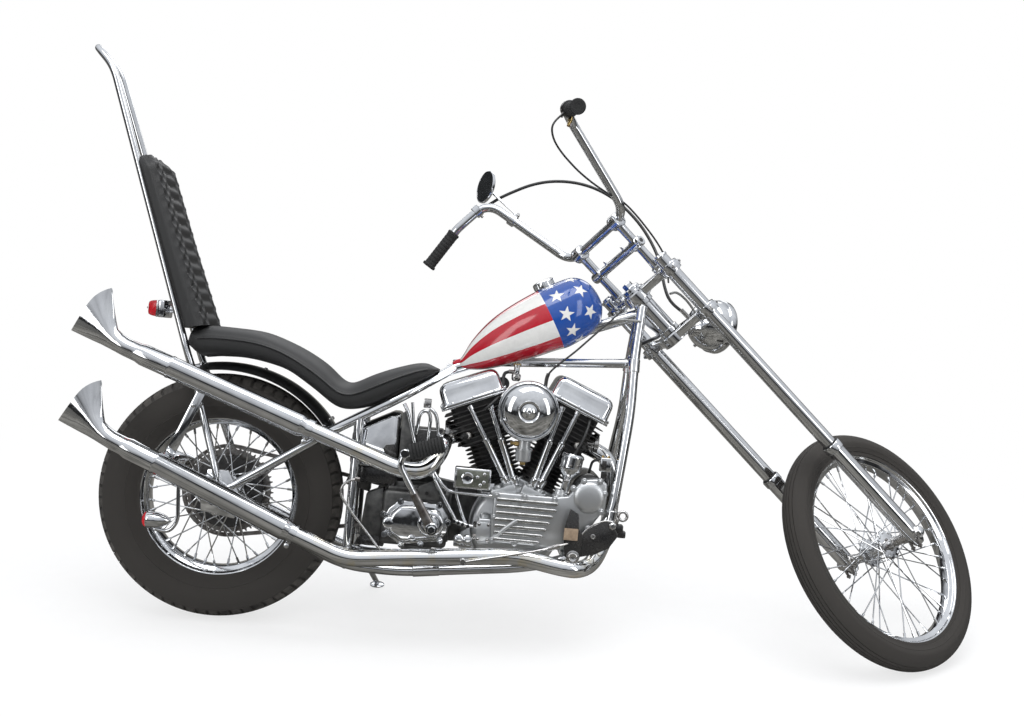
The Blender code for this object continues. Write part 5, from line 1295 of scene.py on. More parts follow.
@dataclass(frozen=True)
class SeatSize:
    """Side outlines of the seat and backrest, in metres."""

    top: tuple = ((-0.124, 0.7728), (-0.06, 0.786), (0.054, 0.784), (0.158, 0.756), (0.248, 0.711),
                  (0.317, 0.662), (0.38, 0.692), (0.454, 0.722), (0.522, 0.739), (0.556, 0.728))
    bottom: tuple = ((-0.095, 0.7), (0.028, 0.708), (0.145, 0.69), (0.227, 0.645), (0.318, 0.594),
                     (0.38, 0.6055), (0.463, 0.6555), (0.56, 0.716))
    back: tuple = ((-0.124, 0.7732), (-0.062, 0.7864), (-0.15, 1.0), (-0.228, 1.2), (-0.26, 1.225),
                   (-0.286, 1.212))
    back_half_width: float = 0.115


class Upholstery:
    """The leather seat that flows into a tall laced backrest."""

    TUFT_COLUMN = 0.046
    TUFT_ROW = 0.034
    BACK_LENGTH = 0.46

    def __init__(self, bench: Bench, size: SeatSize) -> None:
        """Takes the chassis bench and the outlines."""
        self.bench = bench
        self.size = size

    def build(self) -> None:
        """Makes the seat and the backrest."""
        self.seat()
        self.backrest()

    def seat(self) -> None:
        """Makes the seat as a rounded body along its side curve, with a piped edge."""
        size, bench = self.size, self.bench
        top, bottom = np.array(size.top), np.array(size.bottom)
        rings = []
        steps = 72
        x_top = self.spread(top, steps)
        x_low = self.spread(bottom, steps)
        for index, ((xt, zt), (xb, zb)) in enumerate(zip(x_top, x_low)):
            share = index / (steps - 1)
            width = self.width(xt)
            end = min(1.0, math.sqrt(max(0.0, 1 - (1 - min(share, 1 - share) / 0.035) ** 2)) if
                      min(share, 1 - share) < 0.035 else 1.0)
            end = max(end, 0.3)
            ring = []
            for i in range(44):
                turn = math.tau * i / 44
                c, s = math.cos(turn), math.sin(turn)
                across = math.copysign(abs(s) ** 0.55, s) * width * (0.72 + 0.28 * end)
                rise = 0.5 + 0.5 * math.copysign(abs(c) ** 0.62, c) * end
                crown = 1 - 0.1 * (abs(across) / width) ** 2.5 if rise > 0.5 else 1.0
                rise *= crown
                ring.append((xb + (xt - xb) * rise, across, zb + (zt - zb) * rise))
            rings.append(ring)
        seat = bench.loft(rings)
        seat = self.swollen(seat, 0.5)
        pieces = [bench.paint(seat, LEATHER)]
        for hand in (-1, 1):
            route = [(xb + (xt - xb) * 0.6, hand * (self.width(xt) + 0.0006), zb + (zt - zb) * 0.6)
                     for (xt, zt), (xb, zb) in list(zip(x_top, x_low))[3:-3]]
            pieces.append(bench.paint(bench.tube(route, 0.003, sides=8), PIPING))
        made = bench.joined(pieces)
        bench.place_piece(made, "seat cushion", "black_leather", "seat", smooth=math.radians(70))

    def width(self, x: float) -> float:
        """The seat's half width at a length: broad behind, narrow at the nose."""
        return float(np.interp(x, (-0.13, -0.06, 0.1, 0.3, 0.4, 0.5, 0.56),
                               (0.094, 0.112, 0.122, 0.124, 0.118, 0.098, 0.06)))

    @staticmethod
    def spread(points: np.ndarray, steps: int) -> list[tuple[float, float]]:
        """Points spread evenly along an eased outline."""
        run = np.concatenate([[0], np.cumsum(np.hypot(*np.diff(points, axis=0).T))])
        fine = np.linspace(0, run[-1], steps)
        smooth = [FuelTank.smooth(run, points[:, i], fine) for i in range(2)]
        for _ in range(5):
            for line in smooth:
                line[1:-1] = (line[:-2] + 2 * line[1:-1] + line[2:]) / 4
        return list(zip(smooth[0], smooth[1]))

    @staticmethod
    def swollen(piece: bpy.types.Object, pressure: float) -> bpy.types.Object:
        """A cushion puffed by a cloth simulation, with its shape held near where it was."""
        Bench.hold(piece)
        cloth = piece.modifiers.new("cloth", "CLOTH")
        settings = cloth.settings
        settings.quality = 6
        settings.mass = 0.4
        settings.tension_stiffness = settings.compression_stiffness = 60
        settings.bending_stiffness = 2
        settings.use_pressure = True
        settings.uniform_pressure_force = pressure
        settings.effector_weights.gravity = 0
        settings.pin_stiffness = 1
        group = piece.vertex_groups.new(name="held")
        heights = np.array([vertex.co.z for vertex in piece.data.vertices])
        for vertex in piece.data.vertices:
            group.add([vertex.index], 0.35, "REPLACE")
        settings.vertex_group_mass = group.name
        scene = bpy.context.scene
        scene.frame_start, scene.frame_end = 1, 12
        for frame in range(1, 13):
            scene.frame_set(frame)
        bpy.ops.object.modifier_apply(modifier=cloth.name)
        scene.frame_set(1)
        LOG.info("cushion swollen, %d points, tallest %.3f m", len(heights), float(heights.max()))
        return piece

    def backrest(self) -> None:
        """Makes the tall pad: smooth sides and back, and a front face of laced tufts."""
        size, bench = self.size, self.bench
        (rear_foot, front_foot, front_mid, front_top, crest, rear_top) = [Vector((x, 0, z)) for x,
                                                                          z in size.back]
        half = size.back_half_width
        steps, across_steps = 96, 44
        rings = []
        for index in range(steps + 1):
            share = index / steps
            front = self.on_line((front_foot, front_mid, front_top, crest), share)
            rear = self.on_line((rear_foot, rear_top, rear_top), min(share, 0.999))
            width = half * (1.0 if share < 0.9 else 1 - 0.3 * ((share - 0.9) / 0.1) ** 2)
            ring = []
            for i in range(across_steps * 2):
                turn = math.tau * i / (across_steps * 2)
                c, s = math.cos(turn), math.sin(turn)
                y = math.copysign(abs(s) ** 0.42, s) * width
                depth = 0.5 + 0.5 * math.copysign(abs(c) ** 0.42, c)
                tuft = self.tuft(y, share * 0.46) if depth > 0.55 and abs(y) < width * 0.93 else 0.0
                place = rear.lerp(front, depth)
                out = (front - rear).normalized()
                place = place - out * (0.01 * (depth > 0.5) - tuft)
                ring.append((place.x, y, place.z))
            rings.append(ring)
        pad = bench.loft(rings)
        pieces = [bench.paint(pad, LEATHER)]
        pieces += self.laces(front_foot, front_mid, front_top, crest)
        made = bench.joined(pieces)
        bench.place_piece(made, "backrest cushion", "black_leather", "backrest", smooth=math.radians(60))

    @staticmethod
    def on_line(points: Sequence[Vector], share: float) -> Vector:
        """A point at a share of a line's length."""
        lengths = [(b - a).length for a, b in zip(points, points[1:])]
        want = share * sum(lengths)
        for first, second, length in zip(points, points[1:], lengths):
            if want <= length or second is points[-1]:
                return first.lerp(second, want / length if length else 0.0)
            want -= length
        return points[-1]

    @staticmethod
    def tuft(y: float, height: float) -> float:
        """How far the padding stands out between its laces."""
        column, row = Upholstery.TUFT_COLUMN, Upholstery.TUFT_ROW
        u = y / column
        v = height / row
        near = []
        for shift in (0.0, 0.5):
            du = abs((u + shift) - round(u + shift))
            dv = abs((v + shift) - round(v + shift))
            near.append(math.hypot(du * column, dv * row))
        return 0.012 * min(1.0, min(near) / 0.016) ** 0.7

    def laces(self, *line: Vector) -> list[bpy.types.Object]:
        """Makes the buttons where the padding is pulled in."""
        bench = self.bench
        made = []
        rows = 27
        for row in range(1, rows):
            share = row * self.TUFT_ROW / 2 / self.BACK_LENGTH
            if share > 0.96:
                break
            spot = self.on_line(line, share)
            ahead = (self.on_line(line, min(1.0, share + 0.02)) - spot).normalized()
            out = Vector((ahead.z, 0, -ahead.x))
            for column in range(-2, 3):
                y = column * self.TUFT_COLUMN + (self.TUFT_COLUMN / 2 if row % 2 else 0.0)
                if abs(y) > 0.1:
                    continue
                base = spot + Vector((0, y, 0)) - out * 0.012
                made.append(bench.turned(base, out, ((0, 0.0045), (0.003, 0.0045), (0.0045, 0.002)), 10))
        buttons = bench.joined(made)
        return [bench.paint(buttons, WORN_CHROME)]


@dataclass(frozen=True)
class ExhaustSize:
    """Routes of the two exhausts, in metres."""

    upper: tuple = ((0.631, 0.0, 0.5545), (0.586, 0.0, 0.536), (0.592, -0.13, 0.536), (0.58, -0.165, 0.5),
                    (0.548, -0.185, 0.462), (0.49, -0.2, 0.461), (0.25, -0.2, 0.5435))
    lower: tuple = ((0.969, 0.0, 0.5545), (1.052, 0.0, 0.52), (1.062, 0.0, 0.4), (1.056, -0.025, 0.318),
                    (1.018, -0.092, 0.246), (0.975, -0.16, 0.236), (0.93, -0.172, 0.24),
                    (0.806, -0.175, 0.262), (0.508, -0.185, 0.234), (0.367, -0.2, 0.2215),
                    (0.232, -0.2, 0.273))
    upper_muffler: tuple = ((0.25, -0.2, 0.5435), (-0.215, -0.2, 0.704))
    lower_muffler: tuple = ((0.232, -0.2, 0.273), (-0.23, -0.2, 0.4633))
    pipe: float = 0.022
    muffler: float = 0.0285
    fishtail: float = 0.15


class Exhausts:
    """Two pipes, tinted by heat, into slim mufflers with fishtail ends."""

    def __init__(self, bench: Bench, size: ExhaustSize) -> None:
        """Takes the chassis bench and the routes."""
        self.bench = bench
        self.size = size

    def build(self) -> None:
        """Makes both systems."""
        size = self.size
        self.system("upper exhaust", size.upper, size.upper_muffler, "upper_exhaust", (0.05, 0.55))
        self.system("lower exhaust", size.lower, size.lower_muffler, "lower_exhaust", (0.05, 0.52))

    def system(self, name: str, route: tuple, ends: tuple, node: str, warm: tuple[float, float]) -> None:
        """Makes one pipe with its muffler and clamps.

        Args:
            name: its name.
            route: the pipe's route.
            ends: the muffler's two ends.
            node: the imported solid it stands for.
            warm: shares of the route where the tint is strongest and where it has faded.
        """
        bench, size = self.bench, self.size
        pipe = bench.tube(route, size.pipe, 0.042, 32, 9)
        self.tint(pipe, route, warm)
        bench.paint(pipe, HEATED)
        start, end = Vector(ends[0]), Vector(ends[1])
        way = (end - start).normalized()
        length = (end - start).length
        m = size.muffler
        body = bench.turned(start - way * 0.006, way, (
            (0.0, size.pipe + 0.0008), (0.012, size.pipe + 0.0014), (0.022, 0.0245), (0.034, m),
            (0.036, m + 0.0006),
            (length * 0.8, m), (length * 0.803, m + 0.0012), (length * 0.812, m + 0.0012),
            (length * 0.815, m - 0.0006), (length - 0.02, m - 0.0006), (length - 0.006, 0.0245),
            (length + 0.008, 0.024)), 48)
        tail = self.fishtail(end, way)
        pieces = [bench.paint(body, CHROME), bench.paint(tail, CHROME)]
        pieces += self.clamp(start + way * 0.004, way, size.pipe + 0.003)
        made = bench.joined([pipe] + pieces)
        bench.place_piece(made, name, "chrome", node, smooth=math.radians(50))

    @staticmethod
    def tint(pipe: bpy.types.Object, route: tuple, warm: tuple[float, float]) -> None:
        """Marks at each point how strongly heat has coloured it."""
        points = [Vector(point) for point in route]
        run = [0.0]
        for first, second in zip(points, points[1:]):
            run.append(run[-1] + (second - first).length)
        heat = pipe.data.attributes.new("heat", "FLOAT", "POINT")
        values = []
        for vertex in pipe.data.vertices:
            best, at = 1e9, 0.0
            for i, (first, second) in enumerate(zip(points, points[1:])):
                leg = second - first
                t = min(1.0, max(0.0, (vertex.co - first).dot(leg) / leg.length_squared))
                gap = (first + leg * t - vertex.co).length
                if gap < best:
                    best, at = gap, run[i] + t * leg.length
            share = at / run[-1]
            values.append(max(0.0, 1.0 - max(0.0, share - warm[0]) / (warm[1] - warm[0])))
        heat.data.foreach_set("value", values)

    def fishtail(self, foot: Vector, way: Vector) -> bpy.types.Object:
        """Makes the flat flared end with its hooked upper point."""
        bench, size = self.bench, self.size
        up = Vector(Axis.LEFT.value).cross(way)
        if up.z < 0:
            up = -up
        reach = size.fishtail
        stages = (
            # back, rise, tip lag, half height, half thickness
            (0.0, 0.0, 0.0, 0.16, 0.16), (0.15, 0.0, 0.0, 0.157, 0.157), (0.28, 0.015, 0.0, 0.162, 0.146),
            (0.4, 0.04, 0.0, 0.178, 0.13), (0.54, 0.1, 0.015, 0.23, 0.116), (0.68, 0.17, 0.03, 0.3, 0.102),
            (0.86, 0.26, 0.055, 0.385, 0.088), (1.03, 0.35, 0.08, 0.47, 0.075),
            (0.985, 0.335, 0.075, 0.448, 0.058),
            (0.84, 0.255, 0.05, 0.345, 0.052), (0.68, 0.17, 0.03, 0.24, 0.05),
        )
        rings = []
        for back, rise, lag, high, thick in stages:
            ring = []
            for i in range(40):
                turn = math.tau * i / 40
                c, s = math.cos(turn), math.sin(turn)
                lift = rise + high * c
                setback = back - lag * c - (0.17 * max(0.0, c) ** 3 * rise / 0.35 if rise > 0.05 else 0.0)
                pinch = 1.0 - 0.55 * (rise / 0.35) * abs(c) ** 2
                side = thick * s * max(pinch, 0.12)
                ring.append(foot + way * (setback * reach) + up
                            * (lift * reach) + Vector((0, side * reach, 0)))
            rings.append(ring)
        return bench.loft(rings)

    def clamp(self, centre: Vector, way: Vector, radius: float) -> list[bpy.types.Object]:
        """Makes a band clamp with its bolt."""
        bench = self.bench
        outline = ((-0.008, radius), (0.008, radius), (0.008, radius + 0.002), (-0.008, radius + 0.002))
        band = bench.hoop(centre, way, outline, 48)
        down = way.cross(Vector(Axis.LEFT.value))
        if down.z > 0:
            down = -down
        ears = []
        for side in (-0.005, 0.005):
            low = centre + down * (radius - 0.002) + Vector((0, side, 0))
            ears.append(bench.turned(low, down, ((0, 0.006), (0.016, 0.006), (0.018, 0.004)), 16))
        spot = centre + down * (radius + 0.009)
        bolt = bench.turned(spot - Vector((0, -0.014, 0)), Axis.RIGHT.value, (
            (0, 0.0035), (0.018, 0.0035), (0.018, 0.0075), (0.024, 0.0075), (0.025, 0.0065)), 6)
        return bench.painted(CHROME, band, *ears, bolt)


@dataclass(frozen=True)
class EngineSize:
    """Places and sizes of the engine, in metres."""

    crank: tuple = (0.8, 0.0, 0.316)
    lean: float = math.radians(22.5)
    case_radius: float = 0.12
    case_half: float = 0.07
    deck: float = 0.13
    barrel_top: float = 0.25
    barrel_fin: float = 0.0662
    head_top: float = 0.36
    head_half: float = 0.0905
    timing: tuple = ((0.735, 0.285), (0.735, 0.42), (0.9, 0.42), (0.93, 0.425), (0.955, 0.46),
                     (0.975, 0.474), (1.01, 0.478), (1.03, 0.466), (1.032, 0.43), (1.03, 0.4),
                     (1.01, 0.37), (0.985, 0.33), (0.93, 0.285))
    push_rods: tuple = (
        # foot, top
        ((0.765, -0.095, 0.442), (0.652, -0.08, 0.632)), ((0.787, -0.095, 0.442), (0.705, -0.08, 0.64)),
        ((0.857, -0.095, 0.442), (0.941, -0.08, 0.646)), ((0.838, -0.095, 0.442), (0.898, -0.08, 0.652)),
    )
    air_cleaner: tuple = (0.804, -0.13, 0.64)
    carburettor: tuple = (0.804, -0.095, 0.5)


class Engine:
    """The open V-twin with its covers, push rods, carburettor and electrics."""

    def __init__(self, bench: Bench, size: EngineSize) -> None:
        """Takes the chassis bench and the sizes."""
        self.bench = bench
        self.size = size

    def build(self) -> None:
        """Makes every piece of the engine."""
        self.crankcase()
        for name, lean in (("rear", -self.size.lean), ("front", self.size.lean)):
            place = self.bench.place @ Matrix.Translation(self.size.crank) @ Matrix.Rotation(lean, 4, "Y")
            local = Bench(place, Body.CHASSIS)
            self.cylinder(local, name)
            self.head(local, name)
            self.rocker_cover(local, name)
        self.timing_cover()
        self.push_rods()
        self.air_cleaner()
        self.carburettor()
        self.electrics()
        self.oil_pump()

    @staticmethod
    def rounded_square(half_x: float, half_y: float, corner: float, height: float,
                       steps: int = 6) -> list[tuple[float, float, float]]:
        """A ring of a rounded rectangle at a height."""
        ring = []
        for index, (sx, sy) in enumerate(((1, 1), (-1, 1), (-1, -1), (1, -1))):
            for i in range(steps + 1):
                turn = math.pi / 2 * (index + i / steps)
                ring.append((sx * (half_x - corner) + corner * math.cos(turn),
                             sy * (half_y - corner) + corner * math.sin(turn), height))
        return ring

    @staticmethod
    def screw(bench: Bench, place: Point, way: Point, radius: float = 0.005) -> bpy.types.Object:
        """Makes a domed screw head on its washer."""
        foot, axis = Vector(place), Vector(way).normalized()
        head = bench.turned(foot, axis, (
            (-0.001, radius * 1.35), (0.0008, radius * 1.35), (0.0009, radius), (radius * 0.55, radius),
            (radius * 0.8, radius * 0.72)), 20)
        return head

    @staticmethod
    def hexagon(bench: Bench, place: Point, way: Point, radius: float = 0.006,
                height: float = 0.005) -> bpy.types.Object:
        """Makes a hexagon nut or bolt head on its washer."""
        foot, axis = Vector(place), Vector(way).normalized()
        washer = bench.turned(foot - axis * 0.0005, axis, ((0, radius * 1.3), (0.0015, radius * 1.3)), 20)
        nut = bench.turned(foot, axis,
                           ((0.001, radius), (height - 0.001, radius), (height, radius * 0.86)), 6)
        return bench.joined([washer, nut])

    def crankcase(self) -> None:
        """Makes the two case halves with their seam, webs, feet and cylinder decks."""
        bench, size = self.bench, self.size
        half, radius = size.case_half, size.case_radius
        foot = Vector(size.crank)
        case = bench.turned(foot + Vector((0, -half, 0)), Axis.LEFT.value, (
            (0, radius - 0.014), (0.004, radius - 0.006), (0.012, radius), (half - 0.006, radius),
            (half - 0.006, radius + 0.004), (half + 0.006, radius + 0.004), (half + 0.006, radius),
            (2 * half - 0.012, radius), (2 * half - 0.004, radius - 0.006), (2 * half, radius - 0.014)), 72)
        pieces = [case]
        for lean in (-size.lean, size.lean):
            turn = Matrix.Translation(foot) @ Matrix.Rotation(lean, 4, "Y")
            deck = bench.loft([self.rounded_square(0.062, 0.062, 0.022, z) for z in (0.06, 0.126)])
            flange = bench.loft([self.rounded_square(0.066, 0.066, 0.026, z) for z in (0.116, 0.128)])
            for piece in (bench.eased(deck, 0.002), bench.eased(flange, 0.002)):
                piece.data.transform(turn)
                pieces.append(piece)
        for outline in (((0.86, 0.2648), (0.96, 0.2648), (0.96, 0.29), (0.88, 0.33)),
                        ((0.655, 0.2153), (0.72, 0.2153), (0.76, 0.27), (0.69, 0.31), (0.655, 0.29))):
            pieces.append(bench.plate(outline, -0.04, 0.04, 0.003))
        across = Vector((0, 0.01, 0))
        for angle in (195, 222, 250, 290, 320, 345):
            turn = math.radians(angle)
            spot = foot + Vector((math.cos(turn), 0, math.sin(turn))) * (radius + 0.003)
            pieces.append(bench.bar(spot - across, spot + across, 0.008, 16, 0.001))
            pieces.append(self.hexagon(bench, spot - across, Axis.RIGHT.value, 0.005))
        case = bench.joined(pieces)
        bench.place_piece(bench.paint(case, ALUMINIUM), "crankcase halves", "cast_aluminium", "crankcase")

    def cylinder(self, bench: Bench, name: str) -> None:
        """Makes one finned barrel on its flange and nuts."""
        size = self.size
        core = bench.turned((0, 0, 0), Axis.UP.value,
                            ((size.deck - 0.002, 0.05), (size.barrel_top, 0.05)), 40)
        base = bench.turned((0, 0, 0), Axis.UP.value,
                            ((size.deck - 0.002, 0.06), (size.deck + 0.005, 0.06)), 40)
        count = 10
        pitch = (size.barrel_top - size.deck - 0.016) / (count - 1)
        fins = []
        for i in range(count):
            low = size.deck + 0.011 + pitch * i
            reach = size.barrel_fin - 0.002 * (i < 2)
            fins.append(bench.turned((0, 0, low), Axis.UP.value, (
                (0, reach - 0.0012), (0.0006, reach), (0.002, reach), (0.0026, reach - 0.0012)), 56))
        pieces = [core, base] + fins
        for angle in (45, 135, 225, 315):
            turn = math.radians(angle)
            spot = Vector((math.cos(turn), math.sin(turn), 0)) * 0.056 + Vector((0, 0, size.deck + 0.005))
            pieces.append(self.hexagon(bench, spot, Axis.UP.value, 0.007, 0.007))
        made = bench.joined(pieces)
        bench.place_piece(bench.paint(made, BLACK_IRON), name + " barrel", "black_iron", name + "_cylinder")

    def head(self, bench: Bench, name: str) -> None:
        """Makes one cylinder head with its fins, ports and spark plug."""
        size = self.size
        outer = 1 if name == "front" else -1
        core = bench.loft([self.rounded_square(0.07, 0.066, 0.03, z)
                           for z in (size.barrel_top, size.head_top)])
        fins, count = [], 8
        for i in range(count):
            low = size.barrel_top + 0.004 + 0.0125 * i
            grow = 0.01 * (1 - i / (count - 1))
            rings = [self.rounded_square(size.head_half - grow - inset, size.head_half - 0.004 - grow - inset,
                                         0.03, low + rise)
                     for rise, inset in ((0, 0.0012), (0.0006, 0), (0.0022, 0), (0.0028, 0.0012))]
            fins.append(bench.loft(rings))
        made = bench.painted(BLACK_IRON, core, *fins)
        port = Vector((outer * 0.06, 0, 0.29))
        tilt = Vector((outer * math.cos(self.size.lean), 0, 0.3))
        ring = bench.turned(port, tilt,
                            ((0, 0.026), (0.03, 0.026), (0.032, 0.03), (0.042, 0.03), (0.044, 0.027)), 32)
        made.append(bench.paint(ring, WORN_CHROME))
        inlet = bench.turned((-outer * 0.06, 0, 0.3), (-outer, 0, 0.2), ((0, 0.023), (0.026, 0.023)), 32)
        made.append(bench.paint(inlet, BLACK_IRON))
        side = Vector((outer * 0.034, -(size.head_half - 0.03), 0.276))
        way = Vector((outer * 0.45, -1, 0.1)).normalized()
        nut = bench.turned(side, way, ((0, 0.01), (0.024, 0.01)), 6)
        ceramic = bench.turned(side + way * 0.024, way, ((0, 0.0062), (0.004, 0.0066), (0.018, 0.0056)), 20)
        boot = bench.turned(side + way * 0.036, way,
                            ((0, 0.0072), (0.003, 0.0085), (0.02, 0.0075), (0.028, 0.0045)), 20)
        made += [bench.paint(nut, STEEL), bench.paint(ceramic, STAR_WHITE), bench.paint(boot, CABLE)]
        joined = bench.joined(made)
        bench.place_piece(joined, name + " cylinder head", "black_iron", name + "_head")

    def rocker_cover(self, bench: Bench, name: str) -> None:
        """Makes one chrome rocker cover with its lip and screws."""
        size = self.size
        x, y = size.head_half + 0.0015, size.head_half + 0.0015
        flange = bench.loft([self.rounded_square(x, y, 0.022, z)
                             for z in (size.head_top - 0.001, size.head_top + 0.0055)])
        ring = bench.loft([self.rounded_square(x + 0.0005, y + 0.0005, 0.022, z)
                           for z in (size.head_top + 0.0062, size.head_top + 0.0125)])
        stages = ((0.0122, 0.004), (0.016, 0.0065), (0.048, 0.0085), (0.056, 0.0105), (0.0625, 0.015),
                  (0.067, 0.022), (0.069, 0.032), (0.0698, 0.05))
        rings = []
        for rise, inset in stages:
            corner = max(0.02 - inset * 0.25, 0.006)
            rings.append(self.rounded_square(x - inset, y - inset, corner, size.head_top + rise))
        shell = bench.loft(rings)
        pieces = [bench.eased(flange, 0.0012), bench.eased(ring, 0.0018), shell]
        for i in range(12):
            side, step = divmod(i, 3)
            along = (-0.058, 0.0, 0.058)[step]
            spot = ((along, y - 0.0028), (x - 0.0028, along), (along, -y + 0.0028),
                    (-x + 0.0028, along))[side]
            pieces.append(bench.turned((*spot, size.head_top + 0.012), Axis.UP.value, (
                (0, 0.0036), (0.0024, 0.0036), (0.0036, 0.0024)), 14))
        made = bench.joined(pieces)
        bench.place_piece(bench.paint(made, CHROME), name + " rocker cover", "chrome", name + "_rocker_cover",
                          smooth=math.radians(45))

    def timing_cover(self) -> None:
        """Makes the ribbed gear cover with its bosses and screws."""
        bench, size = self.bench, self.size
        # The polished ribs are lighter than the cast cover; the cover's darker tone between them is partly
        # its real cast finish and partly painted shade in the grooves.
        cover = bench.plate(size.timing, -0.146, -0.098, 0.005, 3)
        pieces, ribs = [cover], []
        rows = 7
        for i in range(rows):
            z = 0.2985 + 0.0174 * i
            right = min(0.902, 0.862 + 0.0074 * i)
            rib = bench.plate(((0.742, z - 0.0052), (0.742, z + 0.0052), (right, z + 0.0052),
                               (right + 0.005, z), (right, z - 0.0052)), -0.158, -0.14, 0.0034, 3)
            ribs.append(bench.paint(rib, POLISHED))
        pieces.append(bench.tube(((0.745, -0.15, 0.3), (0.772, -0.157, 0.33), (0.8, -0.157, 0.352)), 0.0055,
                                 0.015, 14))
        pieces.append(bench.turned((0.985, -0.144, 0.426), Axis.RIGHT.value, (
            (0, 0.041), (0.004, 0.041), (0.008, 0.036), (0.01, 0.026), (0.011, 0.012)), 48))
        pieces.append(bench.turned((0.905, -0.12, 0.405), (0.18, 0, 1), (
            (0, 0.019), (0.02, 0.019), (0.022, 0.016), (0.034, 0.014)), 32))
        pieces.append(bench.turned((0.793, -0.144, 0.398), Axis.RIGHT.value,
                                   ((0, 0.012), (0.01, 0.011), (0.012, 0.009)), 28))
        for x, z in ((0.741, 0.293), (0.741, 0.353), (0.742, 0.412), (0.815, 0.414), (0.895, 0.414),
                     (0.942, 0.447), (0.968, 0.468), (1.01, 0.471), (1.025, 0.44), (1.02, 0.392),
                     (0.99, 0.345), (0.94, 0.293), (0.86, 0.291), (0.8, 0.29)):
            boss = bench.bar((x, -0.12, z), (x, -0.149, z), 0.0085, 20, 0.001)
            pieces += [boss, self.screw(bench, (x, -0.149, z), Axis.RIGHT.value, 0.0045)]
        made = bench.joined([bench.paint(bench.joined(pieces), ALUMINIUM)] + ribs)
        bench.place_piece(made, "timing cover", "cast_aluminium", "timing_cover")

    def push_rods(self) -> None:
        """Makes the telescoping push rod tubes on their tappet blocks."""
        bench, size = self.bench, self.size
        blocks = []
        for lean in (-1, 1):
            turn = (Matrix.Translation((size.crank[0], -0.094, size.crank[2]))
                    @ Matrix.Rotation(lean * math.radians(21), 4, "Y"))
            body = bench.block((-0.033, -0.023, 0.098), (0.033, 0.023, 0.122), 0.003)
            guides = [bench.turned((x, 0, 0.12), Axis.UP.value,
                                   ((0, 0.0125), (0.008, 0.0125), (0.01, 0.01)), 28)
                      for x in (-0.0145, 0.0145)]
            screws = [self.screw(bench, (x, y, 0.122), Axis.UP.value, 0.0034) for x in (-0.028, 0.028)
                      for y in (-0.017, 0.017)]
            one = bench.joined([body] + guides + screws)
            one.data.transform(turn)
            blocks.append(one)
        made = [bench.paint(bench.joined(blocks), ALUMINIUM)]
        for foot, top in size.push_rods:
            start, end = Vector(foot), Vector(top)
            way = (end - start).normalized()
            length = (end - start).length
            rod = bench.turned(start - way * 0.006, way, (
                (0, 0.0105), (0.008, 0.0105), (0.01, 0.0118), (0.022, 0.0118), (0.024, 0.0094),
                (length * 0.56, 0.0094), (length * 0.56 + 0.003, 0.0104), (length * 0.56 + 0.009, 0.0104),
                (length * 0.56 + 0.011, 0.0072), (length - 0.004, 0.0072), (length - 0.002, 0.0092),
                (length + 0.01, 0.0092)), 24)
            made.append(bench.paint(rod, CHROME))
        bench.place_piece(bench.joined(made), "push rods and tappets", "chrome", "push_rods_and_tappets")

    def air_cleaner(self) -> None:
        """Makes the round chrome dome with its centre nut."""
        bench = self.bench
        dome = bench.turned(self.size.air_cleaner, Axis.RIGHT.value, (
            (0.0, 0.06), (0.002, 0.07), (0.005, 0.0755), (0.008, 0.0775), (0.03, 0.0795), (0.036, 0.0798),
            (0.042, 0.079), (0.0465, 0.0768), (0.0488, 0.0735), (0.047, 0.0704), (0.049, 0.0688),
            (0.056, 0.065),
            (0.062, 0.056), (0.0668, 0.044), (0.0695, 0.033), (0.0702, 0.0288), (0.0672, 0.0255),
            (0.0672, 0.018), (0.0712, 0.012), (0.0722, 0.008)), 96)
        nut = bench.turned(Vector(self.size.air_cleaner) + Vector((0, -0.07, 0)), Axis.RIGHT.value, (
            (0, 0.0105), (0.004, 0.0105), (0.006, 0.009), (0.0085, 0.0066), (0.009, 0.004),
            (0.0078, 0.0034)), 28)
        made = bench.joined([dome, nut])
        bench.place_piece(bench.paint(made, CHROME), "air cleaner", "chrome", "air_cleaner",
                          smooth=math.radians(50))

    def carburettor(self) -> None:
        """Makes the carburettor with its bowl, throat, manifold and linkage."""
        bench, size = self.bench, self.size
        x, y, z = size.carburettor
        bowl = bench.turned((x, y, z), Axis.UP.value, (
            (0, 0.01), (0.002, 0.016), (0.004, 0.0205), (0.03, 0.0215), (0.031, 0.0235), (0.036, 0.0235),
            (0.037, 0.018), (0.06, 0.017), (0.064, 0.021), (0.118, 0.021), (0.121, 0.012)), 40)
        throat = bench.turned((x, y - 0.034, 0.6), Axis.LEFT.value, (
            (0, 0.026), (0.004, 0.026), (0.006, 0.022), (0.03, 0.021), (0.06, 0.02), (0.125, 0.019)), 40)
        manifold = bench.bar((0.752, 0.0, 0.6), (0.848, 0.0, 0.6), 0.0185, 32)
        rings = [bench.bar((at - 0.006, 0, 0.6), (at + 0.006, 0, 0.6), 0.0225, 32, 0.0015)
                 for at in (0.766, 0.834)]
        plug = bench.turned((x, y, z), (0, 0, -1), ((0, 0.008), (0.006, 0.008), (0.008, 0.006)), 6)
        fitting = bench.turned((x - 0.018, y - 0.006, 0.548), (-1, -0.4, 0.1), (
            (0, 0.0075), (0.008, 0.0075), (0.009, 0.0055), (0.02, 0.005)), 6)
        arm = bench.plate(((0.826, 0.612), (0.862, 0.654), (0.868, 0.65), (0.834, 0.604)),
                          -0.118, -0.114, 0.001)
        swivel = bench.bar((0.864, -0.124, 0.651), (0.864, -0.106, 0.651), 0.005, 16, 0.001)
        made = [bench.paint(bowl, ALUMINIUM), bench.paint(throat, ALUMINIUM),
                bench.paint(manifold, WORN_CHROME),
                bench.paint(plug, BRASS), bench.paint(fitting, BRASS), bench.paint(arm, STEEL),
                bench.paint(swivel, CHROME)] + bench.painted(CHROME, *rings)
        bench.place_piece(bench.joined(made), "carburettor body", "cast_aluminium", "carburettor")

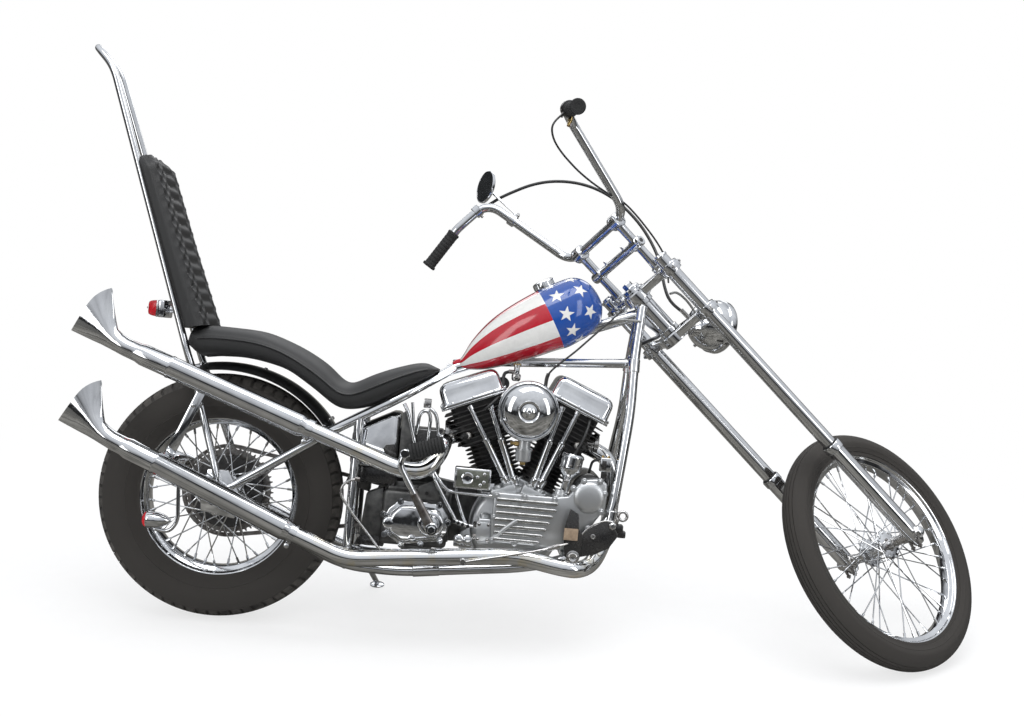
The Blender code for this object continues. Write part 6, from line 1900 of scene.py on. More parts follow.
    def electrics(self) -> None:
        """Makes the generator and the regulator, with the plug leads."""
        bench = self.bench
        generator = bench.turned((0.985, -0.1, 0.44), Axis.LEFT.value, (
            (0, 0.04), (0.002, 0.044), (0.004, 0.0458), (0.136, 0.0458), (0.137, 0.0458)), 56)
        band = bench.turned((0.985, 0.0, 0.44), Axis.LEFT.value, ((0, 0.0462), (0.016, 0.0462)), 56)
        end = bench.turned((0.985, 0.036, 0.44), Axis.LEFT.value, (
            (0, 0.046), (0.024, 0.046), (0.028, 0.042), (0.029, 0.014), (0.0292, 0.01)), 56)
        made = [bench.paint(generator, BLACK_PAINT), bench.paint(band, WORN_CHROME),
                bench.paint(end, ALUMINIUM)]
        bench.place_piece(bench.joined(made), "generator body", "black_paint", "generator")
        box = bench.block((0.627, -0.125, 0.419), (0.724, -0.085, 0.4745), 0.004, 3)
        panel = bench.block((0.633, -0.1265, 0.4245), (0.718, -0.124, 0.469), 0.0008)
        dial = bench.turned((0.662, -0.1262, 0.447), Axis.RIGHT.value, (
            (0, 0.0165), (0.0024, 0.0165), (0.0034, 0.014), (0.002, 0.011), (0.0024, 0.0045)), 32)
        knobs = [bench.turned((x, -0.1262, z), Axis.RIGHT.value,
                              ((0, 0.0045), (0.003, 0.0045), (0.004, 0.003)), 18)
                 for x, z in ((0.688, 0.452), (0.706, 0.461), (0.706, 0.44), (0.697, 0.432))]
        strap = bench.block((0.702, -0.1, 0.398), (0.7347, -0.086, 0.436), 0.001)
        smoked = Finish("smoked_panel", (0.16, 0.17, 0.14), (0.26, 0.27, 0.23), (0.12, 0.3), 0.7, cloud=0.02)
        made = bench.painted(CHROME, box, dial, strap, *knobs) + [bench.paint(panel, smoked)]
        bench.place_piece(bench.joined(made), "voltage regulator", "chrome", "regulator")
        leads = [bench.tube(((0.69, -0.11, 0.63), (0.7, -0.118, 0.64), (0.73, -0.085, 0.672),
                             (0.735, -0.03, 0.69), (0.735, -0.01, 0.7)), 0.004, 0.03, 10),
                 bench.bar((0.735, -0.034, 0.702), (0.735, 0.034, 0.702), 0.017, 24, 0.002),
                 bench.tube(((0.935, -0.118, 0.528), (0.95, -0.118, 0.555), (0.968, -0.108, 0.6),
                             (0.975, -0.08, 0.63)), 0.004, 0.03, 10),
                 bench.tube(((0.985, -0.08, 0.486), (0.99, -0.094, 0.52), (1.006, -0.1, 0.524)),
                            0.0035, 0.012, 10)]
        bench.place_piece(bench.paint(bench.joined(leads), CABLE), "plug leads", "grip_rubber")

    def oil_pump(self) -> None:
        """Makes the oil pump with its fittings and lines."""
        bench = self.bench
        body = bench.block((0.7, -0.13, 0.276), (0.7345, -0.062, 0.345), 0.004, 3)
        dome = bench.turned((0.7175, -0.1, 0.343), Axis.UP.value,
                            ((0, 0.014), (0.01, 0.0135), (0.014, 0.008)), 28)
        cover = bench.block((0.697, -0.134, 0.284), (0.7345, -0.128, 0.336), 0.0025)
        screws = [self.screw(bench, (x, -0.134, z), Axis.RIGHT.value, 0.0035) for x in (0.703, 0.7285)
                  for z in (0.29, 0.33)]
        nuts = [bench.turned((0.7, y, z), (-1, 0, 0), ((0, 0.0075), (0.01, 0.0075), (0.012, 0.005)), 6)
                for y, z in ((-0.11, 0.322), (-0.085, 0.322), (-0.1, 0.29))]
        made = bench.painted(ALUMINIUM, body, dome, cover)
        made += bench.painted(WORN_CHROME, *screws, *nuts)
        bench.place_piece(bench.joined(made), "oil pump", "cast_aluminium")
        lines = [
            bench.tube(((0.56, -0.07, 0.47), (0.574, -0.104, 0.436), (0.637, -0.106, 0.337),
                        (0.642, -0.108, 0.326)),
                       0.0046, 0.012, 14),
            bench.tube(((0.57, -0.08, 0.456), (0.59, -0.106, 0.43), (0.61, -0.106, 0.41),
                        (0.628, -0.107, 0.405),
                        (0.696, -0.11, 0.404), (0.734, -0.112, 0.404)), 0.0044, 0.014, 14),
            bench.tube(((0.634, -0.1, 0.418), (0.636, -0.1, 0.398), (0.66, -0.104, 0.339),
                        (0.668, -0.108, 0.326)),
                       0.0044, 0.012, 14),
            bench.bar((0.634, -0.11, 0.33), (0.676, -0.11, 0.319), 0.007, 20, 0.001),
            bench.bar((0.672, -0.11, 0.321), (0.701, -0.11, 0.318), 0.0046, 16, 0.001),
        ]
        for x, z in ((0.654, 0.282), (0.676, 0.281)):
            lines.append(bench.turned((x, -0.098, z), Axis.RIGHT.value, (
                (0, 0.0135), (0.014, 0.0135), (0.016, 0.0115), (0.018, 0.006)), 24))
        lines.append(bench.block((0.64, -0.112, 0.262), (0.69, -0.094, 0.288), 0.004))
        for at in (0.0, 0.3, 0.62, 1.0):
            spot = Vector((0.637, -0.11, 0.3295)).lerp(Vector((0.674, -0.11, 0.3195)), at)
            lines.append(bench.turned(spot + Vector((0, -0.006, 0)), Axis.RIGHT.value,
                                      ((0, 0.0052), (0.004, 0.0052)), 6))
        bench.place_piece(bench.paint(bench.joined(lines), CHROME), "oil lines", "chrome")


@dataclass(frozen=True)
class DriveSize:
    """Places and sizes of the gearbox, primary and final drive, in metres."""

    kick_cover: tuple = ((0.494, 0.252), (0.534, 0.258), (0.601, 0.268), (0.619, 0.292), (0.62, 0.336),
                         (0.6, 0.366), (0.56, 0.369), (0.52, 0.37), (0.484, 0.368), (0.462, 0.346),
                         (0.449, 0.32), (0.456, 0.278))
    pivot: tuple = (0.582, -0.228, 0.321)
    arm: tuple = ((0.486, -0.235, 0.478), (0.497, -0.235, 0.508), (0.595, -0.235, 0.54))
    clutch: tuple = (0.5, 0.0, 0.33)
    crank: tuple = (0.8, 0.0, 0.316)
    case_middle: tuple = (0.65, 0.323)
    chain_y: float = 0.088
    chain_pitch: float = 0.0159
    rear_sprocket: float = 0.125
    front_sprocket: float = 0.042
    oil_tank_slope: float = 0.1
    oil_tank: tuple = ((0.343, 0.448), (0.472, 0.448), (0.472, 0.598), (0.446, 0.598), (0.372, 0.56),
                       (0.343, 0.54))


class Drive:
    """The gearbox with its kick start, the primary cover, the chain, and the oil tank."""

    def __init__(self, bench: Bench, size: DriveSize) -> None:
        """Takes the chassis bench and the sizes."""
        self.bench = bench
        self.size = size

    def build(self) -> None:
        """Makes every piece."""
        self.gearbox()
        self.kick_cover()
        self.kick_lever()
        self.primary()
        self.chain()
        self.oil_tank()
        self.plumbing()

    def gearbox(self) -> None:
        """Makes the ribbed case, its lid and its feet."""
        bench = self.bench
        case = bench.block((0.44, -0.07, 0.245), (0.62, 0.07, 0.392), 0.012, 3)
        lid = bench.block((0.452, -0.058, 0.388), (0.608, 0.058, 0.402), 0.004)
        foot = bench.block((0.5, -0.06, 0.2002), (0.58, 0.06, 0.252), 0.004)
        ribs = [bench.block((0.436, -0.052 + 0.026 * i, 0.262), (0.624, -0.046 + 0.026 * i, 0.38), 0.002)
                for i in range(5)]
        dome = bench.turned((0.53, -0.02, 0.4), Axis.UP.value,
                            ((0, 0.034), (0.008, 0.033), (0.012, 0.026)), 36)
        bolts = [Engine.hexagon(bench, (x, y, 0.401), Axis.UP.value, 0.005) for x in (0.462, 0.53, 0.598)
                 for y in (-0.049, 0.049)]
        made = bench.joined([case, lid, foot, dome] + ribs + bolts)
        bench.place_piece(bench.paint(made, CASTING), "gearbox case", "cast_aluminium", "gearbox")

    def kick_cover(self) -> None:
        """Makes the chrome end cover with its bolted rim and bosses."""
        bench, size = self.bench, self.size
        rim = bench.plate(size.kick_cover, -0.094, -0.0705, 0.003)
        centre = Vector((0.542, 0, 0.312))
        inner = [(centre.x + (x - centre.x) * 0.87, centre.z + (z - centre.z) * 0.85) for x,
                 z in size.kick_cover]
        body = bench.plate(inner, -0.126, -0.09, 0.012, 4)
        pieces = [rim, body]
        pieces.append(bench.turned((0.576, -0.122, 0.317), Axis.RIGHT.value, (
            (0, 0.036), (0.004, 0.035), (0.007, 0.03), (0.007, 0.024), (0.01, 0.022), (0.014, 0.02),
            (0.016, 0.014)), 44))
        pieces.append(bench.turned((0.466, -0.112, 0.31), Axis.RIGHT.value, (
            (0, 0.0185), (0.01, 0.018), (0.013, 0.015), (0.014, 0.0115), (0.0145, 0.006)), 36))
        pieces.append(bench.turned((0.53, -0.124, 0.276), Axis.RIGHT.value,
                                   ((0, 0.011), (0.004, 0.01), (0.006, 0.006)), 28))
        for x, z in ((0.491, 0.366), (0.594, 0.365), (0.621, 0.32), (0.603, 0.271), (0.553, 0.259),
                     (0.502, 0.252), (0.455, 0.276), (0.448, 0.329)):
            pieces.append(bench.bar((x, -0.08, z), (x, -0.098, z), 0.0088, 20, 0.001))
            pieces.append(Engine.hexagon(bench, (x, -0.098, z), Axis.RIGHT.value, 0.0056))
        made = bench.joined(pieces)
        bench.place_piece(bench.paint(made, CHROME), "kick start cover", "chrome", "kick_cover",
                          smooth=math.radians(45))

    def kick_lever(self) -> None:
        """Makes the lever on its splined boss, its folding joint and its ribbed rubber."""
        bench, size = self.bench, self.size
        pivot = Vector(size.pivot)
        top, joint, end = (Vector(point) for point in size.arm)
        shaft = bench.bar((pivot.x, -0.128, pivot.z), (pivot.x, pivot.y - 0.006, pivot.z), 0.0095, 28)
        boss = bench.turned(pivot + Vector((0, 0.02, 0)), Axis.RIGHT.value, (
            (0, 0.014), (0.002, 0.0165), (0.026, 0.0165), (0.028, 0.014)), 32)
        nut = bench.turned(pivot + Vector((0, -0.008, 0)), Axis.RIGHT.value,
                           ((0, 0.011), (0.007, 0.011), (0.009, 0.009)), 6)
        way = (top - pivot).normalized()
        side = way.cross(Vector(Axis.LEFT.value)).normalized()
        flat = []
        for share, half, thick in ((0.0, 0.013, 0.007), (0.25, 0.012, 0.0065), (0.55, 0.0105, 0.0065),
                                   (0.62, 0.009, 0.0085)):
            spot = pivot.lerp(top, share)
            flat.append([spot + side * (half * math.cos(t)) + Vector((0, thick * math.sin(t), 0))
                         for t in (math.tau * i / 16 for i in range(16))])
        blade = bench.loft(flat)
        rod = bench.tube((pivot.lerp(top, 0.55), top, joint), 0.0085, 0.02, 20)
        knuckle = bench.bar(joint + Vector((0, 0.013, 0)), joint + Vector((0, -0.013, 0)), 0.0115, 28, 0.002)
        stub = bench.bar(joint, joint.lerp(end, 0.12), 0.01, 24)
        made = [bench.paint(blade, STEEL)]
        made += bench.painted(CHROME, shaft, boss, nut, rod, knuckle, stub)
        axis = end - joint
        length = axis.length
        profile = [(0.012, 0.016), (0.014, 0.0205)]
        ribs = 10
        pitch = (length - 0.02) / ribs
        for i in range(ribs):
            at = 0.015 + pitch * i
            profile += [(at, 0.0205), (at + 0.0008, 0.0215), (at + pitch - 0.0026, 0.0215),
                        (at + pitch - 0.0018, 0.019), (at + pitch - 0.0006, 0.019)]
        profile += [(length - 0.004, 0.022), (length - 0.001, 0.02), (length, 0.014)]
        rubber = bench.turned(joint, axis, profile, 40)
        made.append(bench.paint(rubber, GRIP))
        bench.place_piece(bench.joined(made), "kick start lever", "chrome", "kick_lever")

    def drawn_in(self, outline: Sequence[Point], across: float, up: float) -> list[tuple[float, float]]:
        """An outline drawn in towards the chain case's middle."""
        x, z = self.size.case_middle
        return [(x + (point[0] - x) * across, z + (point[1] - z) * up) for point in outline]

    def primary(self) -> None:
        """Makes the chain case on the left with its clutch dome."""
        bench, size = self.bench, self.size
        rear, front = Vector(size.clutch), Vector(size.crank)
        outline = []
        for i in range(28):
            turn = math.pi / 2 + math.pi * i / 27
            outline.append((rear.x + 0.098 * math.cos(turn), rear.z + 0.098 * math.sin(turn)))
        for i in range(20):
            turn = -math.pi / 2 + math.pi * i / 19
            outline.append((front.x + 0.064 * math.cos(turn), front.z + 0.064 * math.sin(turn)))
        back = bench.plate(outline, 0.1003, 0.132, 0.004)
        shell = bench.plate(self.drawn_in(outline, 0.985, 0.97), 0.13, 0.158, 0.01, 4)
        clutch = bench.turned((rear.x, 0.152, rear.z), Axis.LEFT.value, (
            (0, 0.076), (0.006, 0.075), (0.01, 0.07), (0.0125, 0.06), (0.013, 0.02)), 64)
        nose = bench.turned((front.x, 0.152, front.z), Axis.LEFT.value,
                            ((0, 0.038), (0.006, 0.037), (0.01, 0.03)), 44)
        made = [bench.paint(back, CASTING)] + bench.painted(CHROME, shell, clutch, nose)
        spots, screws = self.drawn_in(outline, 0.95, 0.9), 14
        for i in range(screws):
            x, z = spots[int(i * len(outline) / screws)]
            made.append(bench.paint(Engine.screw(bench, (x, 0.157, z), Axis.LEFT.value, 0.004), WORN_CHROME))
        bench.place_piece(bench.joined(made), "primary chain case", "chrome", "primary_cover")

    def chain(self) -> None:
        """Makes the final drive chain, link by link, round its two sprockets."""
        bench, size = self.bench, self.size
        rear, front = Vector((0, 0, REAR_AXLE_HEIGHT)), Vector(size.clutch)
        big, small = size.rear_sprocket, size.front_sprocket
        gap = front - rear
        distance = gap.length
        lean = math.atan2(gap.z, gap.x)
        spread = math.acos((big - small) / distance)
        path = []
        for centre, radius, start, end in ((rear, big, lean + spread, lean + math.tau - spread),
                                           (front, small, lean - spread, lean + spread)):
            for i in range(49):
                turn = start + (end - start) * i / 48
                path.append(centre + Vector((math.cos(turn), 0, math.sin(turn))) * radius)
        path.append(path[0])
        lengths = [0.0]
        for first, second in zip(path, path[1:]):
            lengths.append(lengths[-1] + (second - first).length)
        count = 2 * round(lengths[-1] / size.chain_pitch / 2)
        spots = []
        for i in range(count):
            at = lengths[-1] * i / count
            index = max(j for j in range(len(path) - 1) if lengths[j] <= at)
            spots.append(path[index].lerp(path[index + 1], (at - lengths[index])
                                          / max(1e-9, lengths[index + 1] - lengths[index])))
        half = size.chain_pitch / 2
        outline = []
        for centre, start in ((-half, math.pi / 2), (half, -math.pi / 2)):
            for i in range(6):
                turn = start + math.pi * i / 5
                outline.append((centre + 0.005 * math.cos(turn), 0.005 * math.sin(turn)))
        inner, outer = (bench.joined([bench.plate(outline, -far, -near), bench.plate(outline, near, far),
                                      bench.bar((-half, -0.0066, 0), (-half, 0.0066, 0), 0.0034, 10)])
                        for near, far in ((0.003, 0.0046), (0.0048, 0.0064)))
        turns = []
        for i in range(count):
            first, second = spots[i], spots[(i + 1) % count]
            middle = (first + second) / 2
            angle = math.atan2(second.z - first.z, second.x - first.x)
            turns.append(Matrix.Translation((middle.x, size.chain_y,
                                             middle.z)) @ Matrix.Rotation(-angle, 4, "Y"))
        links = bench.copies(inner, turns[0::2]) + bench.copies(outer, turns[1::2])
        made = bench.joined(links)
        bench.place_piece(bench.paint(made, STEEL), "final drive chain", "dull_steel", "drive_chain")

    def oil_tank(self) -> None:
        """Makes the chrome oil tank under the seat, with its cap and lugs."""
        bench, size = self.bench, self.size
        tank = bench.plate(size.oil_tank, -0.075, 0.075, 0.014, 4)
        for point in tank.data.vertices:
            if point.co.y < 0:
                point.co.y += size.oil_tank_slope * (point.co.z - size.oil_tank[0][1])
        seam = bench.tube([(x, -0.0752 + size.oil_tank_slope * (z - size.oil_tank[0][1]), z) for x, z in (
            (0.352, 0.458), (0.352, 0.536), (0.376, 0.552), (0.444, 0.588), (0.462, 0.588), (0.462, 0.458))],
                          0.0012, 0.01, 8)
        cap = bench.turned((0.366, -0.04, 0.556), (-0.4, -0.2, 1), (
            (0, 0.016), (0.006, 0.016), (0.007, 0.019), (0.012, 0.019), (0.015, 0.013)), 36)
        lug = bench.bar((0.362, -0.0921, 0.5), (0.362, -0.06, 0.5), 0.009, 20, 0.001)
        lug_left = bench.bar((0.362, 0.07, 0.5), (0.362, 0.0921, 0.5), 0.009, 20, 0.001)
        bolt = Engine.hexagon(bench, (0.362, -0.0921, 0.5), Axis.RIGHT.value, 0.006)
        made = bench.joined([tank, seam, cap, lug, lug_left, bolt])
        bench.place_piece(bench.paint(made, CHROME), "oil tank shell", "chrome", "oil_tank")

    def plumbing(self) -> None:
        """Makes what fills the space round the oil tank: battery, carrier, breather pipes and a hose, and
        black pieces that paint the shade on and under the tank and in a bracket's hole.
        """
        bench = self.bench
        # A black patch on the oil tank's right face: painted shade.
        window = bench.plate(((0.43, 0.5), (0.436, 0.511), (0.458, 0.515), (0.469, 0.482),
                              (0.448, 0.464)), -0.076, -0.064, 0.001)
        battery = bench.block((0.482, -0.058, 0.44), (0.585, 0.058, 0.56), 0.005)
        # A black block under the oil tank: painted shade where the tank's shadow falls.
        shade = bench.block((0.375, -0.06, 0.405), (0.47, 0.06, 0.448), 0.004)
        inner = bench.plate(((0.385, 0.262), (0.395, 0.376), (0.44, 0.396), (0.446, 0.262)),
                            -0.058, -0.01, 0.004)
        carrier = bench.plate(((0.474, 0.44), (0.474, 0.6), (0.481, 0.606), (0.512, 0.52),
                               (0.5, 0.44)), -0.086, -0.06, 0.002)
        bracket = bench.plate(((0.532, 0.4), (0.536, 0.412), (0.571, 0.428), (0.59, 0.396), (0.59, 0.378),
                               (0.54, 0.378)), -0.094, -0.088, 0.001)
        # A black disc on the bracket: painted shade in its hole.
        hole = bench.bar((0.558, -0.095, 0.394), (0.558, -0.0935, 0.394), 0.005, 18)
        tray = bench.plate(((0.332, 0.392), (0.345, 0.432), (0.4, 0.432), (0.4, 0.376)), -0.03, 0.03, 0.003)
        foot = bench.plate(((0.372, 0.234), (0.386, 0.264), (0.452, 0.264), (0.452, 0.234)),
                           -0.05, 0.04, 0.003)
        parts = bench.painted(BLACK_PAINT, window, battery, shade, hole, tray, foot)
        parts += bench.painted(CASTING, inner, carrier, bracket)
        pipes = [
            bench.tube(((0.476, -0.084, 0.626), (0.488, -0.088, 0.606), (0.514, -0.088, 0.52),
                        (0.52, -0.084, 0.498)), 0.005, 0.01, 14),
            bench.tube(((0.514, -0.06, 0.545), (0.518, -0.064, 0.598), (0.528, -0.064, 0.611),
                        (0.542, -0.064, 0.61),
                        (0.549, -0.064, 0.592), (0.546, -0.064, 0.53)), 0.0048, 0.012, 14),
            bench.tube(((0.545, -0.07, 0.618), (0.56, -0.072, 0.608), (0.567, -0.072, 0.59),
                        (0.574, -0.07, 0.545)), 0.0048, 0.012, 14),
            bench.tube(((0.496, -0.058, 0.63), (0.506, -0.058, 0.56), (0.51, -0.058, 0.5)), 0.004, 0.012, 12),
        ]
        parts += bench.painted(CHROME, *pipes)
        parts.append(bench.paint(bench.block((0.526, -0.052, 0.618), (0.546, -0.02, 0.642),
                                             0.002), WORN_CHROME))
        hose = bench.tube(((0.372, -0.118, 0.417), (0.352, -0.122, 0.414), (0.334, -0.124, 0.398),
                           (0.333, -0.124, 0.372),
                           (0.382, -0.128, 0.314), (0.448, -0.126, 0.24), (0.462, -0.122, 0.222)),
                          0.0036, 0.018, 12)
        parts.append(bench.paint(hose, WORN_CHROME))
        parts.append(bench.paint(bench.bar((0.366, -0.118, 0.418), (0.38, -0.117, 0.418), 0.0058, 16,
                                           0.001), STEEL))
        bench.place_piece(bench.joined(parts), "battery and breather pipes", "black_paint")


@dataclass(frozen=True)
class SteeringSize:
    """Sizes of the fork, handlebar and what they carry, in the steering's own axes, in metres."""

    offset: float = 0.0366
    spacing: float = 0.121
    tube: float = 0.0195
    slider: float = 0.0235
    slider_top: float = 0.335
    fork_top: float = 1.03
    trees: tuple = (("lower_tree", 0.8147), ("upper_tree", 0.9653))
    tree_height: float = 0.03
    lamp: tuple = (0.155, 0.0, 0.769)
    lamp_radius: float = 0.072
    handlebar: tuple = ((0.043, 0.131, 1.172), (0.038, 0.21, 1.463), (-0.045, 0.284, 1.466),
                        (-0.058, 0.297, 1.463))
    bar_tube: float = 0.0125
    riser_y: float = 0.087
    riser_foot: float = 0.9958
    bar_height: float = 1.172
    brace_height: float = 1.09
    grip: float = 0.0175
    control: float = 0.028
    mirror: tuple = (0.085, 0.215, 1.5)
    mirror_radius: float = 0.0485
    lever_stub: tuple = (0.029, 0.258, 1.464)
    lever_end: tuple = (-0.01, 0.3, 1.469)
    lever_cable: tuple = (
        (0.04, 0.252, 1.464), (0.065, 0.234, 1.458), (0.096, 0.202, 1.45), (0.168, 0.12, 1.408),
        (0.221, 0.06, 1.332), (0.242, 0.02, 1.238), (0.23, 0.0, 1.13), (0.195, -0.005, 1.04),
        (0.14, -0.015, 0.986), (0.075, -0.03, 0.945), (0.03, -0.048, 0.91),
        (0.024, -0.062, 0.865), (0.024, -0.064, 0.8453))
    throttle_cable: tuple = (
        (-0.067, -0.317, 1.458), (-0.11, -0.312, 1.46), (-0.146, -0.3, 1.458), (-0.16, -0.29, 1.445),
        (-0.155, -0.27, 1.42), (-0.125, -0.24, 1.385), (-0.074, -0.2, 1.336), (-0.026, -0.17, 1.291),
        (0.018, -0.15, 1.242), (0.072, -0.13, 1.194), (0.098, -0.11, 1.135), (0.112, -0.092, 1.065),
        (0.11, -0.08, 1.01), (0.088, -0.068, 0.975), (0.066, -0.06, 0.95))
    lamp_wire: tuple = ((0.05, -0.052, 0.925), (0.085, -0.045, 0.915), (0.112, -0.03, 0.875),
                        (0.124, -0.012, 0.826))


class Steering:
    """Everything that turns with the fork."""

    def __init__(self, bench: Bench, size: SteeringSize) -> None:
        """Takes the steering's bench and sizes."""
        self.bench = bench
        self.size = size
        self.facing = Vector((math.cos(RAKE), 0.0, -math.sin(RAKE)))

    def build(self) -> None:
        """Makes every steered piece."""
        for name, hand in (("right", -1), ("left", 1)):
            self.leg(name, hand)
            self.grip(name, hand)
        for name, foot in self.size.trees:
            self.tree(name, foot)
        self.axle()
        self.headlamp()
        self.bar()
        self.risers()
        self.control()
        self.mirror()
        self.lever()
        self.cables()

    def out(self, hand: int) -> Vector:
        """The way a grip points."""
        last, end = (Vector(point) for point in self.size.handlebar[-2:])
        way = (end - last).normalized()
        return Vector((way.x, way.y * hand, way.z))

    def end(self, hand: int) -> Vector:
        """The handlebar's end on one side."""
        x, y, z = self.size.handlebar[-1]
        return Vector((x, y * hand, z))

    def leg(self, name: str, hand: int) -> None:
        """Makes one fork leg: its tube, top cap, slider, and the axle clamp at its foot."""
        bench, size = self.bench, self.size
        x, y = size.offset, size.spacing * hand
        up = Axis.UP.value
        tube = bench.bar((x, y, size.slider_top - 0.02), (x, y, size.fork_top - 0.004), size.tube, 48)
        cap = bench.turned((x, y, size.fork_top - 0.012), up, (
            (0.0, 0.0205), (0.002, 0.0215), (0.006, 0.0215), (0.008, 0.02), (0.0081, 0.014), (0.0115, 0.013),
            (0.0119, 0.01)), 40)
        bolt = bench.turned((x, y, size.fork_top - 0.004), up,
                            ((0.0, 0.01), (0.0032, 0.01), (0.0038, 0.009)), 6)
        slider = bench.turned((x, y, 0.0), up, (
            (-0.03, 0.012), (-0.0315, 0.0135), (-0.026, 0.0165), (-0.01, 0.02), (0.016, 0.0228),
            (0.04, 0.0235), (0.306, 0.0235), (0.312, 0.024), (0.314, 0.0263), (0.332, 0.0265),
            (0.335, 0.0245), (0.3352, 0.0205)), 56)
        seal = bench.turned((x, y, size.slider_top - 0.001), up,
                            ((0.0, 0.0225), (0.003, 0.0225), (0.005, 0.0205)), 40)
        clamp = bench.bar((x, y - 0.0245, 0.0), (x, y + 0.0245, 0.0), 0.0175, 36, 0.0015)
        parts = bench.painted(CHROME, tube, cap, bolt, slider)
        parts += [bench.paint(seal, GRIP), bench.paint(clamp, WORN_CHROME)]
        for step in (-0.012, 0.012):
            stud = bench.turned((x - 0.016, y + step, -0.01), (-0.35, 0, -1), (
                (0.0, 0.0042), (0.016, 0.0042), (0.017, 0.0065), (0.022, 0.0065), (0.0225, 0.0035),
                (0.026, 0.0034)), 6)
            parts.append(bench.paint(stud, STEEL))
        bench.place_piece(bench.joined(parts), "fork leg " + name, "chrome", "fork_leg_" + name)

    def axle(self) -> None:
        """Makes the front axle with its spacers and domed nuts."""
        bench, size = self.bench, self.size
        face = size.spacing - size.slider
        outer = size.spacing + size.slider + 0.0008
        half = ((0.0415, 0.0088), (0.042, 0.015), (0.06, 0.016), (0.0605, 0.0128), (face - 0.01, 0.0128),
                (face - 0.0095, 0.016), (face - 0.001, 0.016), (face - 0.0008, 0.0088),
                (outer - 0.0003, 0.0088))
        profile = [(-along, radius) for along, radius in half[::-1]] + list(half)
        rod = bench.turned((size.offset, 0, 0), Axis.LEFT.value, profile, 32)
        parts = [bench.paint(rod, WORN_CHROME)]
        for hand in (-1, 1):
            nut = bench.turned((size.offset, outer * hand, 0), (0, hand, 0), (
                (0.0, 0.014), (0.0062, 0.014), (0.007, 0.013)), 6)
            dome = bench.turned((size.offset, (outer + 0.0065) * hand, 0), (0, hand, 0), (
                (0.0, 0.0112), (0.0022, 0.0106), (0.0036, 0.008), (0.0043, 0.0035)), 24)
            parts += bench.painted(CHROME, nut, dome)
        bench.place_piece(bench.joined(parts), "front axle", "chrome", "front_axle")

    def tree(self, name: str, foot: float) -> None:
        """Makes one fork tree with its hub, collars and pinch bolts."""
        bench, size = self.bench, self.size
        low, high = foot + 0.005, foot + size.tree_height - 0.001
        upper = name == "upper_tree"
        half = ((0.0455, 0.095), (0.04, 0.06), (0.042, 0.0)) if upper else ((0.0452, 0.095), (0.0455, 0.04),
                                                                            (0.0455, 0.0))
        back = ((-0.02, 0.0), (-0.012, 0.034), (0.012, 0.062), (0.02, 0.098)) if upper else (
            (-0.03, 0.0), (-0.02, 0.036), (0.004, 0.064), (0.014, 0.098))
        outline = [(x, -y) for x, y in half] + [(x, y) for x, y in half[-2::-1]]
        outline += [(x, y) for x, y in back[::-1]] + [(x, -y) for x, y in back[1:]]
        web = bench.eased(bench.loft([[(x, y, z) for x, y in outline] for z in (low, high)]), 0.004, 3)
        hub = bench.turned((0, 0, foot), Axis.UP.value, (
            (0.0, 0.033), (0.002, 0.0385), (0.01, 0.039), (0.026, 0.039), (0.03, 0.035)), 48)
        parts = bench.painted(CHROME, web, hub)
        for hand in (-1, 1):
            collar = bench.turned((size.offset, size.spacing * hand, foot), Axis.UP.value, (
                (0.0, 0.0225), (0.0015, 0.028), (0.004, 0.0285), (0.026, 0.0285), (0.0285, 0.028),
                (0.03, 0.0225)), 44)
            ear = bench.block((size.offset - 0.016, size.spacing * hand + 0.0235 * hand, foot + 0.008),
                              (size.offset + 0.016, size.spacing * hand + 0.0285 * hand, foot + 0.022), 0.001)
            bolt = bench.turned((size.offset - 0.02, size.spacing * hand + 0.026 * hand, foot + 0.015),
                                Axis.AHEAD.value, ((0.0, 0.0045), (0.004, 0.0045), (0.0041, 0.0026),
                                                   (0.036, 0.0026), (0.0361, 0.0045), (0.04, 0.0045)), 6)
            parts += [bench.paint(collar, CHROME), bench.paint(ear, CHROME), bench.paint(bolt, WORN_CHROME)]
        if upper:
            nut = bench.turned((0, 0, foot + size.tree_height), Axis.UP.value, (
                (0.0, 0.033), (0.004, 0.0325), (0.006, 0.027), (0.014, 0.0255), (0.018, 0.018),
                (0.019, 0.0135)), 40)
            hexagon = bench.turned((0, 0, foot + size.tree_height + 0.018), Axis.UP.value, (
                (0.0, 0.015), (0.012, 0.015), (0.014, 0.0135)), 6)
            parts += [bench.paint(nut, CHROME), bench.paint(hexagon, CHROME)]
        else:
            centre = Vector(size.lamp)
            mount = Vector((size.offset, 0, foot + 0.015))
            way = (centre - mount).normalized()
            arm = bench.turned(mount, way, (
                (0.006, 0.0175), (0.012, 0.017), (0.03, 0.012), (0.04, 0.012), (0.041, 0.0165),
                (0.05, 0.017), (0.058, 0.0235), (0.064, 0.024), (0.066, 0.0225)), 36)
            pin = bench.turned(mount + way * 0.045 + Vector((0, -0.02, 0)), Axis.LEFT.value, (
                (0.0, 0.005), (0.004, 0.005), (0.0041, 0.0035), (0.036, 0.0035), (0.0361, 0.005),
                (0.04, 0.005)), 6)
            parts += [bench.paint(arm, CHROME), bench.paint(pin, WORN_CHROME)]
        bench.place_piece(bench.joined(parts), name.replace("_", " "), "chrome", name)

